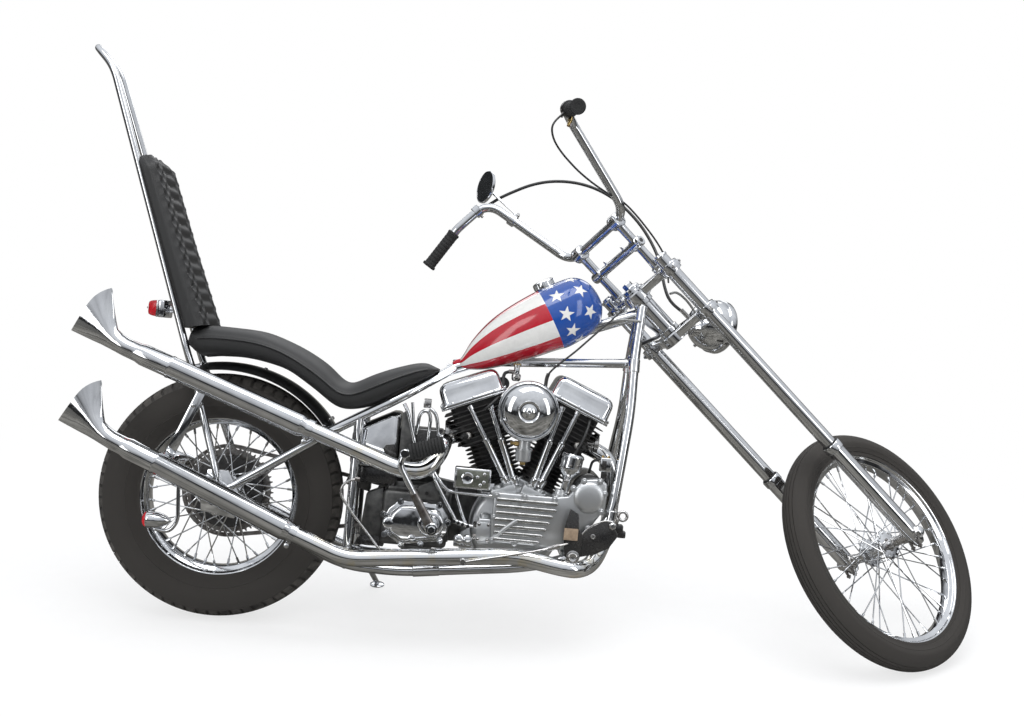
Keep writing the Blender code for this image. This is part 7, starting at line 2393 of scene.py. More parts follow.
    def headlamp(self) -> None:
        """Makes the lamp's bowl with its rim, reflector, glass and the screws on its back."""
        bench, size = self.bench, self.size
        r = size.lamp_radius
        back = [(-r * math.cos(t), r * math.sin(t)) for t in (math.pi / 2 * i / 10 for i in range(1, 11))]
        profile = back + [(0.0065, r), (0.007, r + 0.0032), (0.009, r + 0.0043), (0.027, r + 0.0043),
                          (0.031, r + 0.002), (0.033, r - 0.003), (0.03, r - 0.006), (0.02, r - 0.012),
                          (0.0, r - 0.025), (-0.018, r - 0.048), (-0.024, 0.008)]
        bowl = bench.paint(bench.turned(size.lamp, self.facing, profile, 64), CHROME)
        parts = [bowl]
        across = Axis.LEFT.value
        above = self.facing.cross(Vector(across)).normalized()
        above = above if above.z > 0 else -above
        for degrees, lean in ((35, 0.62), (100, 0.7), (160, 0.62), (215, 0.8), (275, 0.62), (325, 0.8)):
            turn = math.radians(degrees)
            round_way = Vector(across) * math.cos(turn) + above * math.sin(turn)
            way = (round_way * math.sin(lean * math.pi / 2) - self.facing
                   * math.cos(lean * math.pi / 2)).normalized()
            screw = bench.turned(Vector(size.lamp) + way * (r - 0.001), way, (
                (0.0, 0.0062), (0.0015, 0.0062), (0.0016, 0.0045), (0.0058, 0.0045), (0.0066, 0.0038)), 12)
            parts.append(bench.paint(screw, WORN_CHROME))
        knob = bench.turned(Vector(size.lamp) + Vector((0.01, -0.012, -0.066)), Vector((0.25, -0.15, -1.0)), (
            (0.0, 0.008), (0.004, 0.008), (0.005, 0.006), (0.013, 0.007), (0.015, 0.005)), 16)
        parts.append(bench.paint(knob, BLACK_PAINT))
        bench.place_piece(bench.joined(parts), "headlamp bowl", "chrome", "headlamp")
        bulb = bench.turned(Vector(size.lamp) - self.facing * 0.024, self.facing, (
            (0.0, 0.007), (0.01, 0.007), (0.011, 0.005), (0.03, 0.0055), (0.036, 0.004), (0.038, 0.0015)), 20)
        bench.place_piece(bench.paint(bulb, GLASS_WITH_PAINTED_DARK_REFLECTION), "headlamp bulb", "chrome")
        glass = bench.turned(Vector(size.lamp) + self.facing * 0.031, self.facing, (
            (0.0, r - 0.004), (0.002, r - 0.004), (0.006, r - 0.012), (0.0095, r - 0.026),
            (0.0115, r - 0.045), (0.012, 0.01)), 56)
        bench.place_piece(bench.paint(glass, HEADLAMP_GLASS), "headlamp glass", "chrome")

    def bar(self) -> None:
        """Makes the tall handlebar."""
        half = list(self.size.handlebar)
        route = [(x, -y, z) for x, y, z in half[::-1]] + half
        bar = self.bench.tube(route, self.size.bar_tube, 0.05, 32, 12)
        self.bench.place_piece(self.bench.paint(bar, CHROME), "handlebar", "chrome", "handlebar")

    def risers(self) -> None:
        """Makes the two risers, their clamps and the brace with its end knobs."""
        bench, size = self.bench, self.size
        x = size.handlebar[0][0]
        parts = []
        for hand in (-1, 1):
            y = size.riser_y * hand
            parts.append(bench.turned((x, y, size.riser_foot), Axis.UP.value, (
                (0.0, 0.0165), (0.002, 0.018), (0.012, 0.018), (0.015, 0.0135), (0.06, 0.012), (0.15, 0.0125),
                (0.166, 0.015)), 32))
            parts.append(bench.turned((x, y - 0.016, size.bar_height), Axis.LEFT.value, (
                (0.0, 0.019), (0.0015, 0.0215), (0.0305, 0.0215), (0.032, 0.019)), 40))
            for ahead in (-1, 1):
                for aside in (-0.009, 0.009):
                    parts.append(bench.turned((x + 0.015 * ahead, y + aside, size.bar_height - 0.014),
                                              Axis.UP.value,
                                              ((0.0, 0.0048), (0.028, 0.0048), (0.0285, 0.0038),
                                               (0.031, 0.0038)), 12))
            boss = bench.turned((x, y - 0.016 * hand, size.brace_height), (0, hand, 0), (
                (0.0, 0.015), (0.002, 0.017), (0.026, 0.017), (0.028, 0.015), (0.036, 0.0148),
                (0.038, 0.0125)), 32)
            # A black hexagon on the boss's end: painted shade in the socket's hollow.
            hole = bench.turned((x, y + 0.0205 * hand, size.brace_height), (0, hand, 0), (
                (0.0, 0.007), (0.002, 0.007)), 6)
            parts += [boss, bench.paint(hole, BLACK_PAINT)]
            parts.append(bench.turned((x, 0.04 * hand, size.brace_height + 0.008), Axis.UP.value, (
                (0.0, 0.006), (0.004, 0.006), (0.0042, 0.0038), (0.013, 0.0038), (0.015, 0.0028)), 14))
        brace = bench.bar((x, -size.riser_y, size.brace_height),
                          (x, size.riser_y, size.brace_height), 0.0125, 36)
        for part in parts + [brace]:
            if not part.data.materials:
                bench.paint(part, CHROME)
        bench.place_piece(bench.joined(parts + [brace]), "risers and brace", "chrome", "risers")

    def grip(self, name: str, hand: int) -> None:
        """Makes one rubber grip with its flange and shallow rings."""
        size = self.size
        start = self.end(hand) + self.out(hand) * (size.control + 0.0003 if hand < 0 else 0.0003)
        r = size.grip
        profile = [(0.0, r - 0.002), (0.001, r), (0.004, r + 0.0006), (0.007, r + 0.0006),
                   (0.008, r - 0.0006)]
        rings, pitch = 9, 0.0108
        for i in range(rings):
            at = 0.016 + i * pitch
            profile += [(at, r - 0.0006), (at + 0.0012, r - 0.0014), (at + 0.0024, r - 0.0014),
                        (at + 0.0036, r - 0.0006)]
        profile += [(0.114, r - 0.0006), (0.116, r + 0.0024), (0.121, r + 0.0026), (0.1235, r + 0.001),
                    (0.124, r - 0.006), (0.1232, r - 0.0085), (0.1232, 0.003)]
        grip = self.bench.turned(start, self.out(hand), profile, 40)
        self.bench.place_piece(self.bench.paint(grip, GRIP), name + " grip", "grip_rubber", name + "_grip")

    def control(self) -> None:
        """Makes the right-hand throttle housing with its screws, stub and cable ferrule."""
        bench = self.bench
        start, way = self.end(-1), self.out(-1)
        housing = bench.turned(start + way * 0.0005, way, (
            (0.0, 0.0165), (0.0015, 0.021), (0.004, 0.022), (0.012, 0.022), (0.0125, 0.0212),
            (0.0145, 0.0212), (0.015, 0.022), (0.024, 0.022), (0.0265, 0.0205), (0.0272, 0.018)), 44)
        parts = [bench.paint(housing, BLACK_PAINT)]
        aside = way.cross(Vector((0, 0, 1))).normalized()
        for spin in (0.6, 2.9):
            out_way = aside * math.cos(spin) + Vector((0, 0, 1)) * math.sin(spin)
            screw = bench.turned(start + way * 0.0185 + out_way * 0.0208, out_way, (
                (0.0, 0.0034), (0.0016, 0.0034), (0.002, 0.0028)), 14)
            parts.append(bench.paint(screw, STEEL))
        ferrule = bench.turned(start + way * 0.01 + Vector((-0.006, 0.0, -0.016)),
                               Vector((-0.8, 0.1, -0.35)), (
            (0.0, 0.005), (0.016, 0.0048), (0.017, 0.006), (0.024, 0.006), (0.025, 0.0042),
            (0.04, 0.004)), 18)
        parts.append(bench.paint(ferrule, BRASS))
        root = start + way * 0.014
        stub = bench.tube([root + Vector(step) for step in (
            (-0.014, 0.0, -0.008), (-0.03, 0.0, 0.002), (-0.044, 0.0, -0.004))], 0.0036, 0.01, 12)
        parts.append(bench.paint(stub, STEEL))
        bench.place_piece(bench.joined(parts), "throttle housing", "black_iron", "right_control")

    def mirror(self) -> None:
        """Makes the round mirror with its stem and clamp."""
        bench, size = self.bench, self.size
        centre = Vector(size.mirror)
        r = size.mirror_radius
        head = bench.turned(centre, -self.facing, (
            (-0.007, r * 0.55), (-0.0066, r * 0.7), (-0.0045, r * 0.88), (-0.001, r * 0.985), (0.002, r),
            (0.0062, r), (0.007, r - 0.0012), (0.0068, r - 0.0028), (0.0058, r - 0.003),
            (0.0058, r * 0.3)), 56)
        # The mirror's face is near-black glass, a painted dark reflection.
        glass = bench.turned(centre - self.facing * 0.005, -self.facing,
                             ((0.0, r - 0.0032), (0.0012, r - 0.0032)), 56)
        low, high = Vector(size.handlebar[0]), Vector(size.handlebar[1])
        seat = low.lerp(high, 0.7)
        along = (high - low).normalized()
        ring = bench.bar(seat - along * 0.01, seat + along * 0.01, size.bar_tube + 0.005, 32, 0.0012)
        aside = (centre - seat) - along * (centre - seat).dot(along)
        aside.normalize()
        elbow = seat + aside * 0.026
        stem = bench.tube((seat + aside * 0.012, elbow, centre), 0.0036, 0.01, 16)
        boss = bench.bar(seat + aside * 0.01, seat + aside * 0.03, 0.0062, 20, 0.001)
        bolt = bench.turned(seat + aside * 0.02 - Vector((0, 0.014, 0)), Axis.LEFT.value, (
            (0.0, 0.0048), (0.005, 0.0048), (0.0052, 0.003), (0.024, 0.003), (0.0242, 0.0048),
            (0.028, 0.0048)), 6)
        ball = bench.turned(centre + self.facing * 0.0065, self.facing, (
            (0.0, 0.009), (0.003, 0.009), (0.005, 0.007), (0.007, 0.003)), 20)
        parts = bench.painted(CHROME, head, ring, stem, boss, ball)
        parts += [bench.paint(bolt, WORN_CHROME), bench.paint(glass, GLASS_WITH_PAINTED_DARK_REFLECTION)]
        bench.place_piece(bench.joined(parts), "round mirror", "chrome", "mirror")

    def lever(self) -> None:
        """Makes the left lever with its perch."""
        bench, size = self.bench, self.size
        low, high = Vector(size.handlebar[1]), Vector(size.handlebar[2])
        seat = low.lerp(high, 0.35)
        along = (high - low).normalized()
        perch, end = Vector(size.lever_stub), Vector(size.lever_end)
        ring = bench.bar(seat - along * 0.01, seat + along * 0.01, size.bar_tube + 0.0055, 32, 0.0015)
        body = bench.bar(seat, perch, 0.008, 24, 0.0015)
        way = (end - perch).normalized()
        blade = bench.tube((perch - way * 0.01, perch + way * 0.012, end), 0.0045, 0.0, 16, 7,
                           (1.0, 0.85, 0.7, 0.85))
        ball = bench.turned(end, way, [(-0.0085 * math.cos(t), 0.0085 * math.sin(t))
                                       for t in (math.pi * i / 10 for i in range(1, 10))], 24)
        pin = bench.bar(perch - Vector((0, 0, 0.011)), perch + Vector((0, 0, 0.011)), 0.0038, 16, 0.0008)
        small = bench.bar(seat + Vector((0, 0, -0.014)), seat + Vector((0.0, 0.0, -0.024)), 0.004, 12, 0.0008)
        parts = bench.painted(CHROME, ring, body, blade, ball)
        parts += bench.painted(WORN_CHROME, pin, small)
        bench.place_piece(bench.joined(parts), "left lever", "chrome", "left_lever")

    def cables(self) -> None:
        """Makes the lever's cable, the upper throttle cable and the lamp's braided wire."""
        bench, size = self.bench, self.size
        thick = bench.tube(size.lever_cable, 0.0044, 0.06, 12, 9)
        sleeves = [bench.bar(size.lever_cable[0],
                             Vector(size.lever_cable[0]).lerp(Vector(size.lever_cable[1]), 0.8),
                             0.0062, 16, 0.001),
                   bench.bar(size.lever_cable[-1],
                             Vector(size.lever_cable[-1]) + Vector((0, 0.001, 0.03)), 0.0062, 16,
                             0.001)]
        made = bench.joined([bench.paint(thick, CABLE)] + bench.painted(WORN_CHROME, *sleeves))
        bench.place_piece(made, "lever cable", "grip_rubber", "lever_cable")
        thin = bench.tube(size.throttle_cable, 0.0026, 0.03, 10, 7)
        bench.place_piece(bench.paint(thin, CABLE), "upper throttle cable", "grip_rubber")
        wire = bench.tube(size.lamp_wire, 0.0036, 0.03, 10, 8)
        bench.place_piece(bench.paint(wire, BRAIDED), "headlamp wire", "dull_steel")


@dataclass(frozen=True)
class RearSize:
    """Sizes of the rear end's pieces, in metres."""

    axle_height: float = REAR_AXLE_HEIGHT
    plates: tuple = (0.105, 0.119)
    hub: float = 0.058
    drum: float = 0.1
    drum_width: float = 0.022
    sprocket: float = 0.125
    sprocket_y: float = 0.088
    fender_radius: float = 0.362
    fender_half: float = 0.062
    fender_drop: float = 0.022
    fender_angles: tuple = (36.0, 110.0)
    sissy: tuple = ((0.01, 0.1289, 0.372), (0.004, 0.1315, 0.41), (-0.095, 0.0722, 0.67),
                    (-0.11, 0.0722, 0.705), (-0.386, 0.03, 1.454), (-0.439, 0.012, 1.506))
    rungs: tuple = ((-0.1526, 0.064, 0.818), (-0.26, 0.046, 1.11))
    lamps: tuple = (
        ("right_marker_lamp", -1, (-0.132, 0.15, 0.27),
         ((-0.02, 0.1195, 0.385), (-0.02, 0.15, 0.385), (-0.085, 0.15, 0.37), (-0.078, 0.15, 0.27),
          (-0.1, 0.15, 0.24), (-0.135, 0.15, 0.247))),
        ("left_marker_lamp", 1, (-0.145, 0.15, 0.396),
         ((-0.02, 0.1195, 0.385), (-0.02, 0.15, 0.385), (-0.085, 0.15, 0.392), (-0.14, 0.15, 0.394))),
    )
    strip: tuple = ((-0.022, 0.632), (-0.044, 0.64), (-0.13, 0.428), (-0.108, 0.418))


class RearEnd:
    """The rear axle and brake, the fender, the sissy bar and the rear lamps."""

    def __init__(self, chassis: Bench, wheel: Bench, size: RearSize) -> None:
        """Takes the chassis bench, the rear wheel's bench and the sizes."""
        self.bench = chassis
        self.wheel = wheel
        self.size = size

    def build(self) -> None:
        """Makes every piece of the rear end."""
        self.axle()
        self.drum()
        self.fender()
        self.sissy_bar()
        self.tail_lamp()
        for lamp in self.size.lamps:
            self.marker_lamp(*lamp)
        self.strip()

    def axle(self) -> None:
        """Makes the rear axle with its spacers, washers and nuts."""
        bench, size = self.bench, self.size
        inner, outer = size.plates
        at = (0.0, 0.0, size.axle_height)
        right = ((outer + 0.0005, 0.0085), (inner - 0.0005, 0.0085), (inner - 0.0008, 0.016), (0.0785, 0.016),
                 (0.078, 0.0135), (0.06, 0.0135), (0.0595, 0.016), (0.0592, 0.0085))
        left = ((0.0925, 0.0085), (0.0928, 0.0155), (inner - 0.0008, 0.0155), (inner - 0.0005, 0.0085),
                (outer + 0.0005, 0.0085))
        rod = bench.turned(at, Axis.LEFT.value,
                           [(-along, radius) for along, radius in right] + list(left), 32)
        parts = [bench.paint(rod, WORN_CHROME)]
        for hand in (-1, 1):
            start = (0.0, outer * hand + 0.0004 * hand, size.axle_height)
            washer = bench.turned(start, (0, hand, 0), ((0.0, 0.0138), (0.0018, 0.0138)), 32)
            nut = bench.turned((0.0, (outer + 0.002) * hand, size.axle_height), (0, hand, 0), (
                (0.0, 0.0138), (0.0065, 0.0138), (0.0075, 0.0125)), 6)
            tip = bench.turned((0.0, (outer + 0.009) * hand, size.axle_height), (0, hand, 0), (
                (0.0, 0.0085), (0.0016, 0.0078), (0.002, 0.005)), 24)
            parts += bench.painted(CHROME, washer, nut, tip)
        bench.place_piece(bench.joined(parts), "rear axle", "chrome", "rear_axle")

    def drum(self) -> None:
        """Makes the brake drum with its ribs, and the toothed sprocket with its bolts."""
        bench, size = self.wheel, self.size
        start = size.hub + 0.0008
        end = start + size.drum_width
        r = size.drum
        drum = bench.turned((0, 0, 0), Axis.LEFT.value, (
            (start, 0.05), (start + 0.0005, r - 0.004), (start + 0.002, r), (start + 0.005, r),
            (start + 0.006, r - 0.003),
            (start + 0.01, r - 0.003), (start + 0.011, r), (start + 0.014, r), (start + 0.015, r - 0.003),
            (end - 0.003, r - 0.003), (end - 0.002, r - 0.006), (end - 0.001, 0.062),
            (size.sprocket_y - 0.0025, 0.06), (size.sprocket_y - 0.0024, 0.012)), 72)
        teeth = 51
        rings = []
        for y, back in ((size.sprocket_y - 0.0025, 0.0008), (size.sprocket_y - 0.0012, 0.0),
                        (size.sprocket_y + 0.0012, 0.0),
                        (size.sprocket_y + 0.0025, 0.0008)):
            ring = []
            for i in range(teeth):
                for share, depth in ((0.0, 0.008), (0.28, 0.0068), (0.42, 0.0), (0.58, 0.0), (0.72, 0.0068)):
                    turn = math.tau * (i + share) / teeth
                    radius = size.sprocket - 0.0005 - depth - back
                    ring.append((radius * math.sin(turn), y, radius * math.cos(turn)))
            rings.append(ring)
        gear = bench.loft(rings)
        window = bench.turned((0, size.sprocket_y - 0.02, 0.088), Axis.LEFT.value,
                              ((0.0, 0.013), (0.04, 0.013)), 24)
        tool = bench.joined(bench.copies(window,
                                         [Matrix.Rotation(math.tau * i / 8, 4, "Y") for i in range(8)]))
        gear = bench.cut(gear, tool)
        bolt = bench.turned((0, size.sprocket_y + 0.0024, 0.05), Axis.LEFT.value, (
            (0.0, 0.006), (0.0042, 0.006), (0.005, 0.005)), 6)
        bolts = bench.copies(bolt, [Matrix.Rotation(math.tau * (i + 0.5) / 5, 4, "Y") for i in range(5)])
        plate = bench.turned((0, size.sprocket_y + 0.002, 0), Axis.LEFT.value, (
            (0.0, 0.036), (0.0008, 0.035), (0.001, 0.012)), 40)
        parts = [bench.paint(drum, BLACK_IRON), bench.paint(gear, STEEL), bench.paint(plate, WORN_CHROME)]
        parts += bench.painted(WORN_CHROME, *bolts)
        bench.place_piece(bench.joined(parts), "rear drum and sprocket", "black_iron",
                          "rear_drum_and_sprocket")

    def fender(self) -> None:
        """Makes the short chrome fender with its rolled edges and fixing bolts."""
        bench, size = self.bench, self.size
        first, last = size.fender_angles
        crown = [(-1.0 + 2.0 * i / 16) for i in range(17)]
        rings = []
        steps = 30
        for i in range(steps + 1):
            turn = math.radians(first + (last - first) * i / steps)
            out = Vector((math.cos(turn), 0, math.sin(turn)))
            end = min(i, steps - i)
            shrink = 1.0 - 0.1 * max(0.0, 1.0 - end / 3) ** 2
            upper = [(share * size.fender_half * shrink, size.fender_radius - size.fender_drop * (
                1 - math.sqrt(max(0.0, 1 - (abs(share) ** 2.4) * 0.985)))) for share in crown]
            lower = [(y * 0.965, radius - 0.0022) for y, radius in upper[::-1]]
            rings.append([Vector((0, 0, size.axle_height)) + out * radius + Vector((0, y, 0))
                          for y, radius in upper + lower])
        shell = bench.paint(bench.loft(rings), CHROME)
        parts = [shell]
        for degrees in (40.0, 76.0, 104.0):
            turn = math.radians(degrees)
            out = Vector((math.cos(turn), 0, math.sin(turn)))
            base = Vector((0, 0, size.axle_height)) + out * (size.fender_radius - 0.0008)
            for y in ((0.0,) if degrees > 50 else (-0.03, 0.03)):
                bolt = bench.turned(base + Vector((0, y, 0)), out, (
                    (0.0, 0.0065), (0.0014, 0.0065), (0.0016, 0.0048), (0.0036, 0.0044),
                    (0.0044, 0.0025)), 16)
                parts.append(bench.paint(bolt, WORN_CHROME))
        bench.place_piece(bench.joined(parts), "rear fender", "chrome", "rear_fender")

    def sissy_bar(self) -> None:
        """Makes the tall bar behind the backrest with its rungs and foot plates."""
        bench, size = self.bench, self.size
        left = list(size.sissy)
        right = [(x, -y, z) for x, y, z in left]
        hoop = bench.tube(right + left[::-1], 0.0095, 0.034, 28, 9)
        parts = [hoop]
        for x, half, z in size.rungs:
            parts.append(bench.bar((x, -half, z), (x, half, z), 0.006, 20))
            for hand in (-1, 1):
                parts.append(bench.bar((x, (half - 0.012) * hand, z), (x, half * hand, z),
                                       0.0082, 20, 0.0012))
        for hand in (-1, 1):
            foot = Vector((size.sissy[0][0], size.sissy[0][1] * hand, size.sissy[0][2]))
            parts.append(bench.turned(foot + Vector((0.001, -0.0088 * hand, -0.002)), (0, hand, 0), (
                (0.0, 0.0125), (0.001, 0.0135), (0.0165, 0.0135), (0.018, 0.012)), 28))
            parts.append(bench.turned(foot + Vector((0.001, 0.0092 * hand, -0.002)), (0, hand, 0), (
                (0.0, 0.0078), (0.005, 0.0078), (0.0058, 0.0066)), 6))
        bench.place_piece(bench.paint(bench.joined(parts), CHROME), "sissy bar", "chrome", "sissy_bar")

    def tail_lamp(self) -> None:
        """Makes the tail lamp's chrome case, ribbed red lens and neck."""
        bench = self.bench
        case = bench.block((-0.208, -0.045, 0.795), (-0.188, 0.045, 0.842), 0.005, 3)
        neck = bench.turned((-0.159, 0.0, 0.818), (-1, 0, 0), (
            (0.0, 0.012), (0.001, 0.013), (0.012, 0.013), (0.014, 0.009), (0.026, 0.009), (0.028, 0.014),
            (0.032, 0.014)), 28)
        arm = bench.block((-0.19, -0.02, 0.809), (-0.1595, 0.02, 0.814), 0.0015)
        parts = bench.painted(CHROME, case, neck, arm)
        rim = bench.block((-0.212, -0.0445, 0.7955), (-0.206, 0.0445, 0.8415), 0.002)
        parts.append(bench.paint(rim, WORN_CHROME))
        for y in (-0.038, 0.038):
            screw = bench.turned((-0.236, y, 0.8185), (-1, 0, 0),
                                 ((0.0, 0.0026), (0.0008, 0.0026), (0.001, 0.0018)), 12)
            parts.append(bench.paint(screw, STEEL))
        bench.place_piece(bench.joined(parts), "tail lamp case", "chrome")
        rings = []
        for share in range(9):
            t = share / 8
            x = -0.2115 - 0.0245 * math.sin(t * math.pi / 2)
            shrink = 1 - 0.3 * (1 - math.cos(t * math.pi / 2))
            ring = []
            for k in range(28):
                turn = math.tau * k / 28
                y = math.copysign(abs(math.cos(turn)) ** 0.35, math.cos(turn)) * 0.0435 * shrink
                z = math.copysign(abs(math.sin(turn)) ** 0.35, math.sin(turn)) * 0.0222 * shrink
                ring.append((x + 0.0006 * (share % 2), y, 0.8185 + z))
            rings.append(ring)
        lens = bench.loft(rings)
        bench.place_piece(bench.paint(lens, RED_LENS), "tail lamp lens", "red_lens", "tail_lamp")

    def marker_lamp(self, name: str, hand: int, centre: Point, stalk: Sequence[Point]) -> None:
        """Makes one bullet lamp on its curved stalk."""
        bench = self.bench
        middle = Vector((centre[0], centre[1] * hand, centre[2]))
        body = bench.turned(middle, Axis.AHEAD.value, (
            (-0.026, 0.0178), (-0.0265, 0.02), (-0.025, 0.0212), (-0.02, 0.0214), (-0.015, 0.0215),
            (0.004, 0.0204),
            (0.015, 0.0172), (0.024, 0.0128), (0.032, 0.0078), (0.036, 0.0042), (0.0375, 0.0016)), 40)
        route = [(x, y * hand, z) for x, y, z in stalk]
        stem = bench.tube(route, 0.005, 0.018, 18, 8)
        root = bench.turned((route[0][0], route[0][1], route[0][2]), (0, hand, 0), (
            (0.0002, 0.0085), (0.002, 0.0095), (0.008, 0.0095), (0.01, 0.006)), 24)
        parts = bench.painted(CHROME, body, stem, root)
        bench.place_piece(bench.joined(parts), name.replace("_", " "), "chrome", name)
        lens = bench.turned(middle + Vector((-0.0262, 0, 0)), (-1, 0, 0), (
            (0.0, 0.019), (0.003, 0.0192), (0.0065, 0.017), (0.0095, 0.012), (0.011, 0.005)), 36)
        bench.place_piece(bench.paint(lens, RED_LENS), name.replace("_", " ") + " lens", "red_lens")

    def strip(self) -> None:
        """Makes the strip that ties the mufflers to the sissy bar's leg."""
        bench = self.bench
        strip = bench.plate(self.size.strip, -0.172, -0.1668, 0.0014)
        spacer = bench.turned((-0.06, -0.1046, 0.577), Axis.RIGHT.value, (
            (0.0, 0.008), (0.001, 0.0095), (0.01, 0.0095), (0.012, 0.0072), (0.056, 0.0072),
            (0.0625, 0.0095)), 24)
        parts = [strip, spacer]
        for x, z in ((-0.06, 0.577), (-0.036, 0.624), (-0.113, 0.434)):
            parts.append(bench.turned((x, -0.1718, z), Axis.RIGHT.value, (
                (0.0, 0.0068), (0.0012, 0.0068), (0.0014, 0.0052), (0.0042, 0.005), (0.005, 0.0035)), 6))
        bench.place_piece(bench.paint(bench.joined(parts), CHROME), "exhaust strip", "chrome",
                          "exhaust_strip")


@dataclass(frozen=True)
class ControlSize:
    """Places of the foot controls, the stand and the small fittings, in metres."""

    plate: tuple = ((0.93, 0.268), (0.972, 0.268), (1.045, 0.295), (1.07, 0.335), (1.05, 0.372),
                    (0.985, 0.345), (0.965, 0.335), (0.96, 0.385), (0.935, 0.4), (0.925, 0.33))
    plate_y: tuple = (-0.172, -0.164)
    pivot: tuple = (1.05, -0.133, 0.362)
    rod: tuple = ((0.67, -0.208, 0.24), (0.86, -0.208, 0.286), (0.94, -0.168, 0.306))
    stand_pivot: tuple = (0.385, 0.156, 0.172)
    stand_foot: tuple = (0.425, 0.269, 0.0625)
    timer_foot: tuple = (0.918, -0.12, 0.4271)
    timer_lean: float = 10.0
    relay_low: tuple = (1.0085, -0.1235, 0.4955)
    relay_high: tuple = (1.0385, -0.0975, 0.533)
    tap: tuple = (0.768, -0.04, 0.7601)
    lower_cable: tuple = ((1.037, -0.0585, 0.9305), (1.009, -0.075, 0.9),
                          (0.978, -0.09, 0.87), (0.915, -0.11, 0.805), (0.868, -0.118, 0.763),
                          (0.85, -0.118, 0.742), (0.846, -0.118, 0.728))
    wire: tuple = ((0.974, -0.018, 0.885), (1.04, -0.03, 0.905), (1.092, -0.044, 0.905))


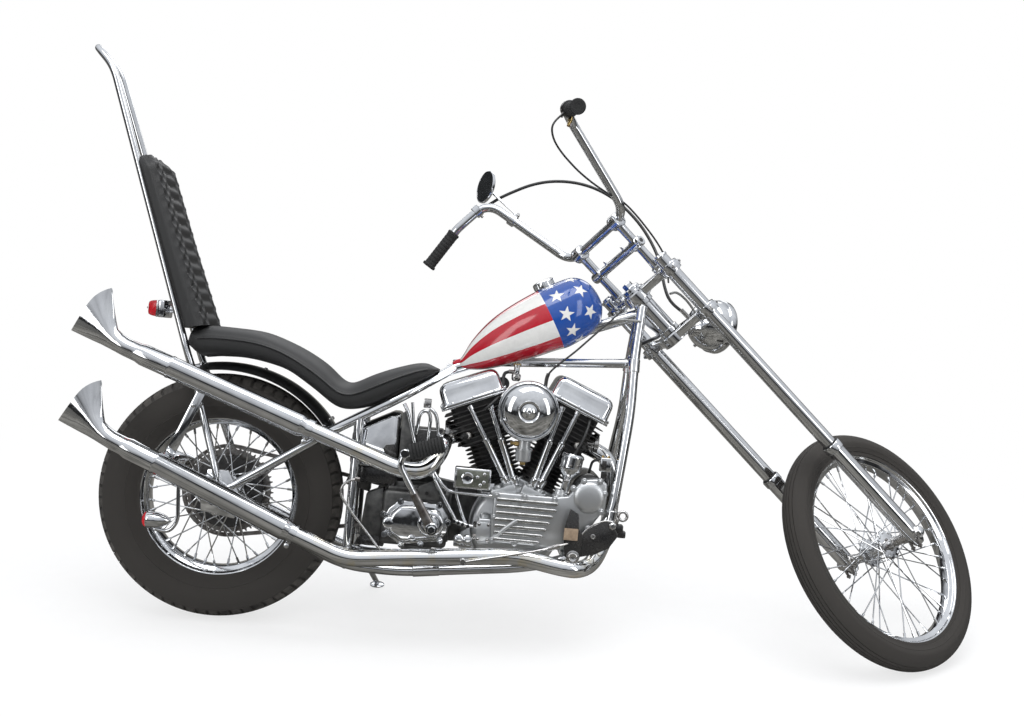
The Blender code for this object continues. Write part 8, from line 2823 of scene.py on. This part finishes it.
class Fittings:
    """Brake assembly, side stand, ignition timer, relay, fuel tap and the chassis cables."""

    def __init__(self, bench: Bench, stand: Bench, size: ControlSize) -> None:
        """Takes the chassis bench, the stand's bench and the places."""
        self.bench = bench
        self.stand_bench = stand
        self.size = size

    def build(self, down: Vector) -> None:
        """Makes every fitting.

        Args:
            down: the way down to the floor, in the machine's axes.
        """
        self.brake()
        self.stand(down)
        self.timer()
        self.relay()
        self.tap()
        self.cable()

    def brake(self) -> None:
        """Makes the brake's black plates, pivot, clamps, eye ring and rod."""
        bench, size = self.bench, self.size
        low, high = size.plate_y
        lever = bench.plate(((0.933, 0.27), (0.972, 0.27), (0.976, 0.33), (0.964, 0.345), (0.96, 0.384),
                             (0.937, 0.397), (0.926, 0.35), (0.927, 0.3)), low, low + 0.0045, 0.0012)
        boot = bench.plate(((0.962, 0.27), (1.01, 0.282), (1.046, 0.302), (1.068, 0.336), (1.049, 0.37),
                            (1.03, 0.371), (1.0, 0.356), (0.972, 0.33), (0.962, 0.3)),
                           low + 0.0035, high, 0.0015)
        rim = bench.tube(((0.968, low + 0.0035, 0.322), (0.978, low + 0.0035, 0.341),
                          (1.001, low + 0.0035, 0.361),
                          (1.03, low + 0.0035, 0.3735), (1.05, low + 0.0035, 0.372)), 0.0022, 0.01, 12)
        pad = bench.block((0.925, low - 0.003, 0.315), (0.962, low + 0.001, 0.346), 0.0012)
        bolt = bench.turned((0.9535, low + 0.0008, 0.2715), Axis.RIGHT.value, (
            (0.0, 0.0175), (0.003, 0.0175), (0.0035, 0.0155), (0.0036, 0.0125), (0.008, 0.0115),
            (0.0086, 0.01), (0.007, 0.006), (0.007, 0.002)), 36)
        dot = bench.turned((1.002, low + 0.0042, 0.329), Axis.RIGHT.value, (
            (0.0, 0.0068), (0.002, 0.0066), (0.0024, 0.005), (0.0012, 0.004), (0.0012, 0.0012)), 24)
        pivot = bench.bar((size.pivot[0], size.pivot[1] - 0.0004, size.pivot[2]),
                          (size.pivot[0], high + 0.002, size.pivot[2]), 0.0098, 28, 0.0008)
        nut = bench.turned((size.pivot[0], low + 0.0008, size.pivot[2]), Axis.RIGHT.value, (
            (0.0, 0.01), (0.007, 0.01), (0.008, 0.0085), (0.0105, 0.006)), 6)
        rod = bench.tube(size.rod, 0.0032, 0.02, 16)
        sleeve = bench.bar((0.885, -0.1965, 0.2905), (0.915, -0.18, 0.2982), 0.0062, 6, 0.0006)
        end = bench.turned((size.rod[0][0], -0.213, size.rod[0][2]), Axis.LEFT.value, (
            (0.0, 0.0075), (0.002, 0.0085), (0.008, 0.0085), (0.01, 0.0075)), 24)
        parts = bench.painted(BLACK_PAINT, lever, boot, pivot)
        parts += bench.painted(WORN_CHROME, rim, bolt, dot, nut, rod, sleeve, end)
        parts.append(bench.paint(pad, PAD))
        bench.place_piece(bench.joined(parts), "brake lever and rod", "black_paint", "brake_pedal")
        clamp = bench.bar((1.056, -0.1165, 0.375), (1.048, -0.1205, 0.348), 0.0185, 28, 0.0015)
        block = bench.block((1.054, -0.136, 0.338), (1.084, -0.106, 0.36), 0.003)
        foot = bench.block((1.07, -0.134, 0.326), (1.092, -0.11, 0.344), 0.003)
        ring = bench.hoop((1.081, -0.124, 0.383), Axis.LEFT.value, tuple(
            (0.004 * math.cos(t),
             0.0115 + 0.004 * math.sin(t)) for t in (math.tau * i / 12 for i in range(12))), 32)
        stay = bench.bar((1.056, -0.121, 0.37), (1.074, -0.121, 0.376), 0.0065, 18, 0.001)
        parts = bench.painted(BLACK_PAINT, block, foot)
        parts += bench.painted(WORN_CHROME, clamp, ring, stay)
        bench.place_piece(bench.joined(parts), "down tube clamps", "chrome")

    def stand(self, down: Vector) -> None:
        """Makes the stand's bracket on the rail, its leg, foot and spring."""
        bench, size = self.bench, self.size
        pivot, foot = Vector(size.stand_pivot), Vector(size.stand_foot)
        hinge = (foot - pivot).cross(Vector((-1.0, 0.05, 0.12))).normalized()
        bracket = bench.block((0.365, 0.112, 0.15), (0.405, 0.1386, 0.186), 0.004, 3)
        cap = bench.turned((0.385, 0.1376, 0.168), Axis.LEFT.value, ((0.0, 0.011), (0.0016, 0.0105)), 24)
        bench.place_piece(bench.paint(bench.joined([bracket, cap]), CHROME), "stand bracket", "chrome")
        tool = self.stand_bench
        leg = tool.tube((pivot, pivot.lerp(foot, 0.55), foot - down * 0.007), 0.009, 0.0, 28, 7,
                        (1.0, 1.0, 0.85, 0.8))
        knuckle = tool.bar(pivot - hinge * 0.011, pivot + hinge * 0.011, 0.013, 36, 0.0015)
        caps = tool.turned(pivot - hinge * 0.0108, -hinge,
                           ((0.0, 0.008), (0.003, 0.008), (0.0036, 0.0068)), 6)
        pad = tool.turned(foot, -down, (
            (0.0, 0.0192), (0.001, 0.021), (0.0042, 0.021), (0.006, 0.0185), (0.0075, 0.012)), 44)
        parts = tool.painted(CHROME, leg, knuckle, pad) + [tool.paint(caps, WORN_CHROME)]
        way = (foot - pivot).normalized()
        side = way.cross(hinge).normalized()
        coil = []
        for i in range(13 * 12 + 1):
            turn = math.tau * i / 12
            coil.append(pivot + way * (0.022 + 0.036 * i / (13 * 12)) + side * 0.0145
                        + side * (0.004 * math.cos(turn)) + hinge * (0.004 * math.sin(turn)))
        parts.append(tool.paint(tool.tube(coil, 0.0009, 0.0, 6), STEEL))
        tool.place_piece(tool.joined(parts), "side stand", "chrome", "side_stand")

    def timer(self) -> None:
        """Makes the ignition timer on the timing cover."""
        bench, size = self.bench, self.size
        lean = math.radians(size.timer_lean)
        way = Vector((math.sin(lean), 0, math.cos(lean)))
        cup = bench.turned(size.timer_foot, way, (
            (0.0, 0.0125), (0.004, 0.013), (0.006, 0.0105), (0.04, 0.0108), (0.046, 0.015), (0.05, 0.0185),
            (0.06, 0.0262), (0.066, 0.029), (0.068, 0.03), (0.074, 0.03), (0.0745, 0.0288), (0.101, 0.0288),
            (0.1015, 0.03), (0.105, 0.0298), (0.11, 0.0265), (0.112, 0.02)), 48)
        parts = [bench.paint(cup, CHROME)]
        arm = bench.block((size.timer_foot[0] - 0.004, -0.147, 0.462),
                          (size.timer_foot[0] + 0.01, -0.128, 0.468), 0.0012)
        parts.append(bench.paint(arm, WORN_CHROME))
        for turn in (-0.9, 0.4, 1.7):
            out = Vector((math.cos(turn) * math.cos(lean), -abs(math.sin(turn)) - 0.2, 0)).normalized()
            screw = bench.turned(Vector(size.timer_foot) + way * 0.08 + out * 0.0284, out, (
                (0.0, 0.0034), (0.0014, 0.0034), (0.0018, 0.0026)), 12)
            parts.append(bench.paint(screw, STEEL))
        bench.place_piece(bench.joined(parts), "ignition timer", "chrome", "ignition_timer")

    def relay(self) -> None:
        """Makes the chrome relay box on its foot."""
        bench, size = self.bench, self.size
        box = bench.block(size.relay_low, size.relay_high, 0.003, 3)
        lid = bench.block((size.relay_low[0] + 0.005, size.relay_low[1] - 0.0012, size.relay_low[2] + 0.006),
                          (size.relay_high[0] - 0.013, size.relay_low[1] + 0.002,
                           size.relay_high[2] - 0.008), 0.0008)
        foot = bench.block((1.0145, -0.1175, 0.477), (1.0295, -0.1045, 0.4965), 0.001)
        parts = [bench.paint(box, CHROME), bench.paint(lid, BLACK_PAINT), bench.paint(foot, BLACK_PAINT)]
        for x in (1.016, 1.031):
            parts.append(bench.paint(bench.turned((x, -0.1105, size.relay_high[2] - 0.0004), Axis.UP.value, (
                (0.0, 0.0045), (0.003, 0.0045), (0.0032, 0.0028), (0.006, 0.0026)), 6), BRASS))
        bench.place_piece(bench.joined(parts), "relay box", "chrome", "relay_box")

    def tap(self) -> None:
        """Makes the fuel tap with its bowl, handle and outlet."""
        bench, size = self.bench, self.size
        top = Vector(size.tap)
        body = bench.turned(top, (0, 0, -1), (
            (0.0, 0.008), (0.003, 0.008), (0.0032, 0.0105), (0.009, 0.0105), (0.0092, 0.0075),
            (0.022, 0.0078),
            (0.0285, 0.0082), (0.03, 0.0125), (0.036, 0.013), (0.044, 0.012), (0.048, 0.0085)), 32)
        outlet = bench.bar(top + Vector((0, 0, -0.024)), top + Vector((-0.0215, 0, -0.024)),
                           0.0056, 20, 0.0008)
        handle = bench.block(top + Vector((-0.004, -0.02, -0.03)),
                             top + Vector((0.004, -0.008, -0.012)), 0.0016)
        nut = bench.turned(top + Vector((0, 0, -0.0005)), (0, 0, -1), ((0.0, 0.0108), (0.0075, 0.0108)), 6)
        parts = [bench.paint(body, WORN_CHROME), bench.paint(outlet, STEEL), bench.paint(handle, CHROME),
                 bench.paint(nut, BRASS)]
        hose = bench.tube((top + Vector((-0.018, 0, -0.024)), top + Vector((-0.036, 0.0, -0.03)),
                           top + Vector((-0.03, -0.02, -0.08)), top + Vector((0.01, -0.045, -0.12)),
                           top + Vector((0.03, -0.056, -0.15))), 0.0045, 0.022, 14, 8)
        parts.append(bench.paint(hose, CABLE))
        bench.place_piece(bench.joined(parts), "fuel tap and hose", "dull_steel", "fuel_tap")

    def cable(self) -> None:
        """Makes the lower throttle cable to the carburettor, and the wire at the steering head."""
        bench, size = self.bench, self.size
        lower = bench.tube(size.lower_cable, 0.0026, 0.02, 10, 6)
        elbow = bench.tube(((0.85, -0.118, 0.742), (0.846, -0.118, 0.729), (0.845, -0.118, 0.706)),
                           0.005, 0.008, 14)
        made = bench.joined([bench.paint(lower, CABLE), bench.paint(elbow, BLACK_PAINT)])
        bench.place_piece(made, "lower throttle cable", "grip_rubber")
        wire = bench.tube(size.wire, 0.0034, 0.02, 10, 7)
        bench.place_piece(bench.paint(wire, BRAIDED), "loom at the steering head", "dull_steel")


def main() -> None:
    """Builds the machine, piece by piece, and the stage."""
    logging.basicConfig(level=logging.INFO, format="%(message)s")
    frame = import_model()
    places = Places.measured({joint["name"]: joint for joint in frame["joints"]})
    chassis = Bench(places.bike, Body.CHASSIS)
    steering = Bench(places.steering, Body.STEERING)
    rear = Bench(places.rear, Body.REAR)
    front = Bench(places.front, Body.FRONT)
    WireWheel(rear, WheelSize(
        name="rear", tyre_radius=REAR_AXLE_HEIGHT, tyre_half_width=0.065, rim_radius=0.219,
        rim_half_width=0.046, hub_radius=0.036, flange_radius=0.05, hub_half_width=0.058,
        blocky=True)).build()
    WireWheel(front, WheelSize(
        name="front", tyre_radius=0.343, tyre_half_width=0.04, rim_radius=0.28,
        rim_half_width=0.028, hub_radius=0.022, flange_radius=0.04, hub_half_width=0.04,
        blocky=False)).build()
    TubeFrame(chassis, FrameSize()).build(Vector(HEAD_FOOT), Vector((-math.sin(RAKE), 0.0, math.cos(RAKE))))
    FuelTank(chassis, TankSize()).build()
    Upholstery(chassis, SeatSize()).build()
    Exhausts(chassis, ExhaustSize()).build()
    Engine(chassis, EngineSize()).build()
    Drive(chassis, DriveSize()).build()
    Steering(steering, SteeringSize()).build()
    RearEnd(chassis, rear, RearSize()).build()
    down = (places.bike.to_3x3().inverted() @ Vector((0, 0, -1))).normalized()
    Fittings(chassis, Bench(places.bike, Body.STAND), ControlSize()).build(down)
    Stage(places).build()


if __name__ == "__main__":
    main()
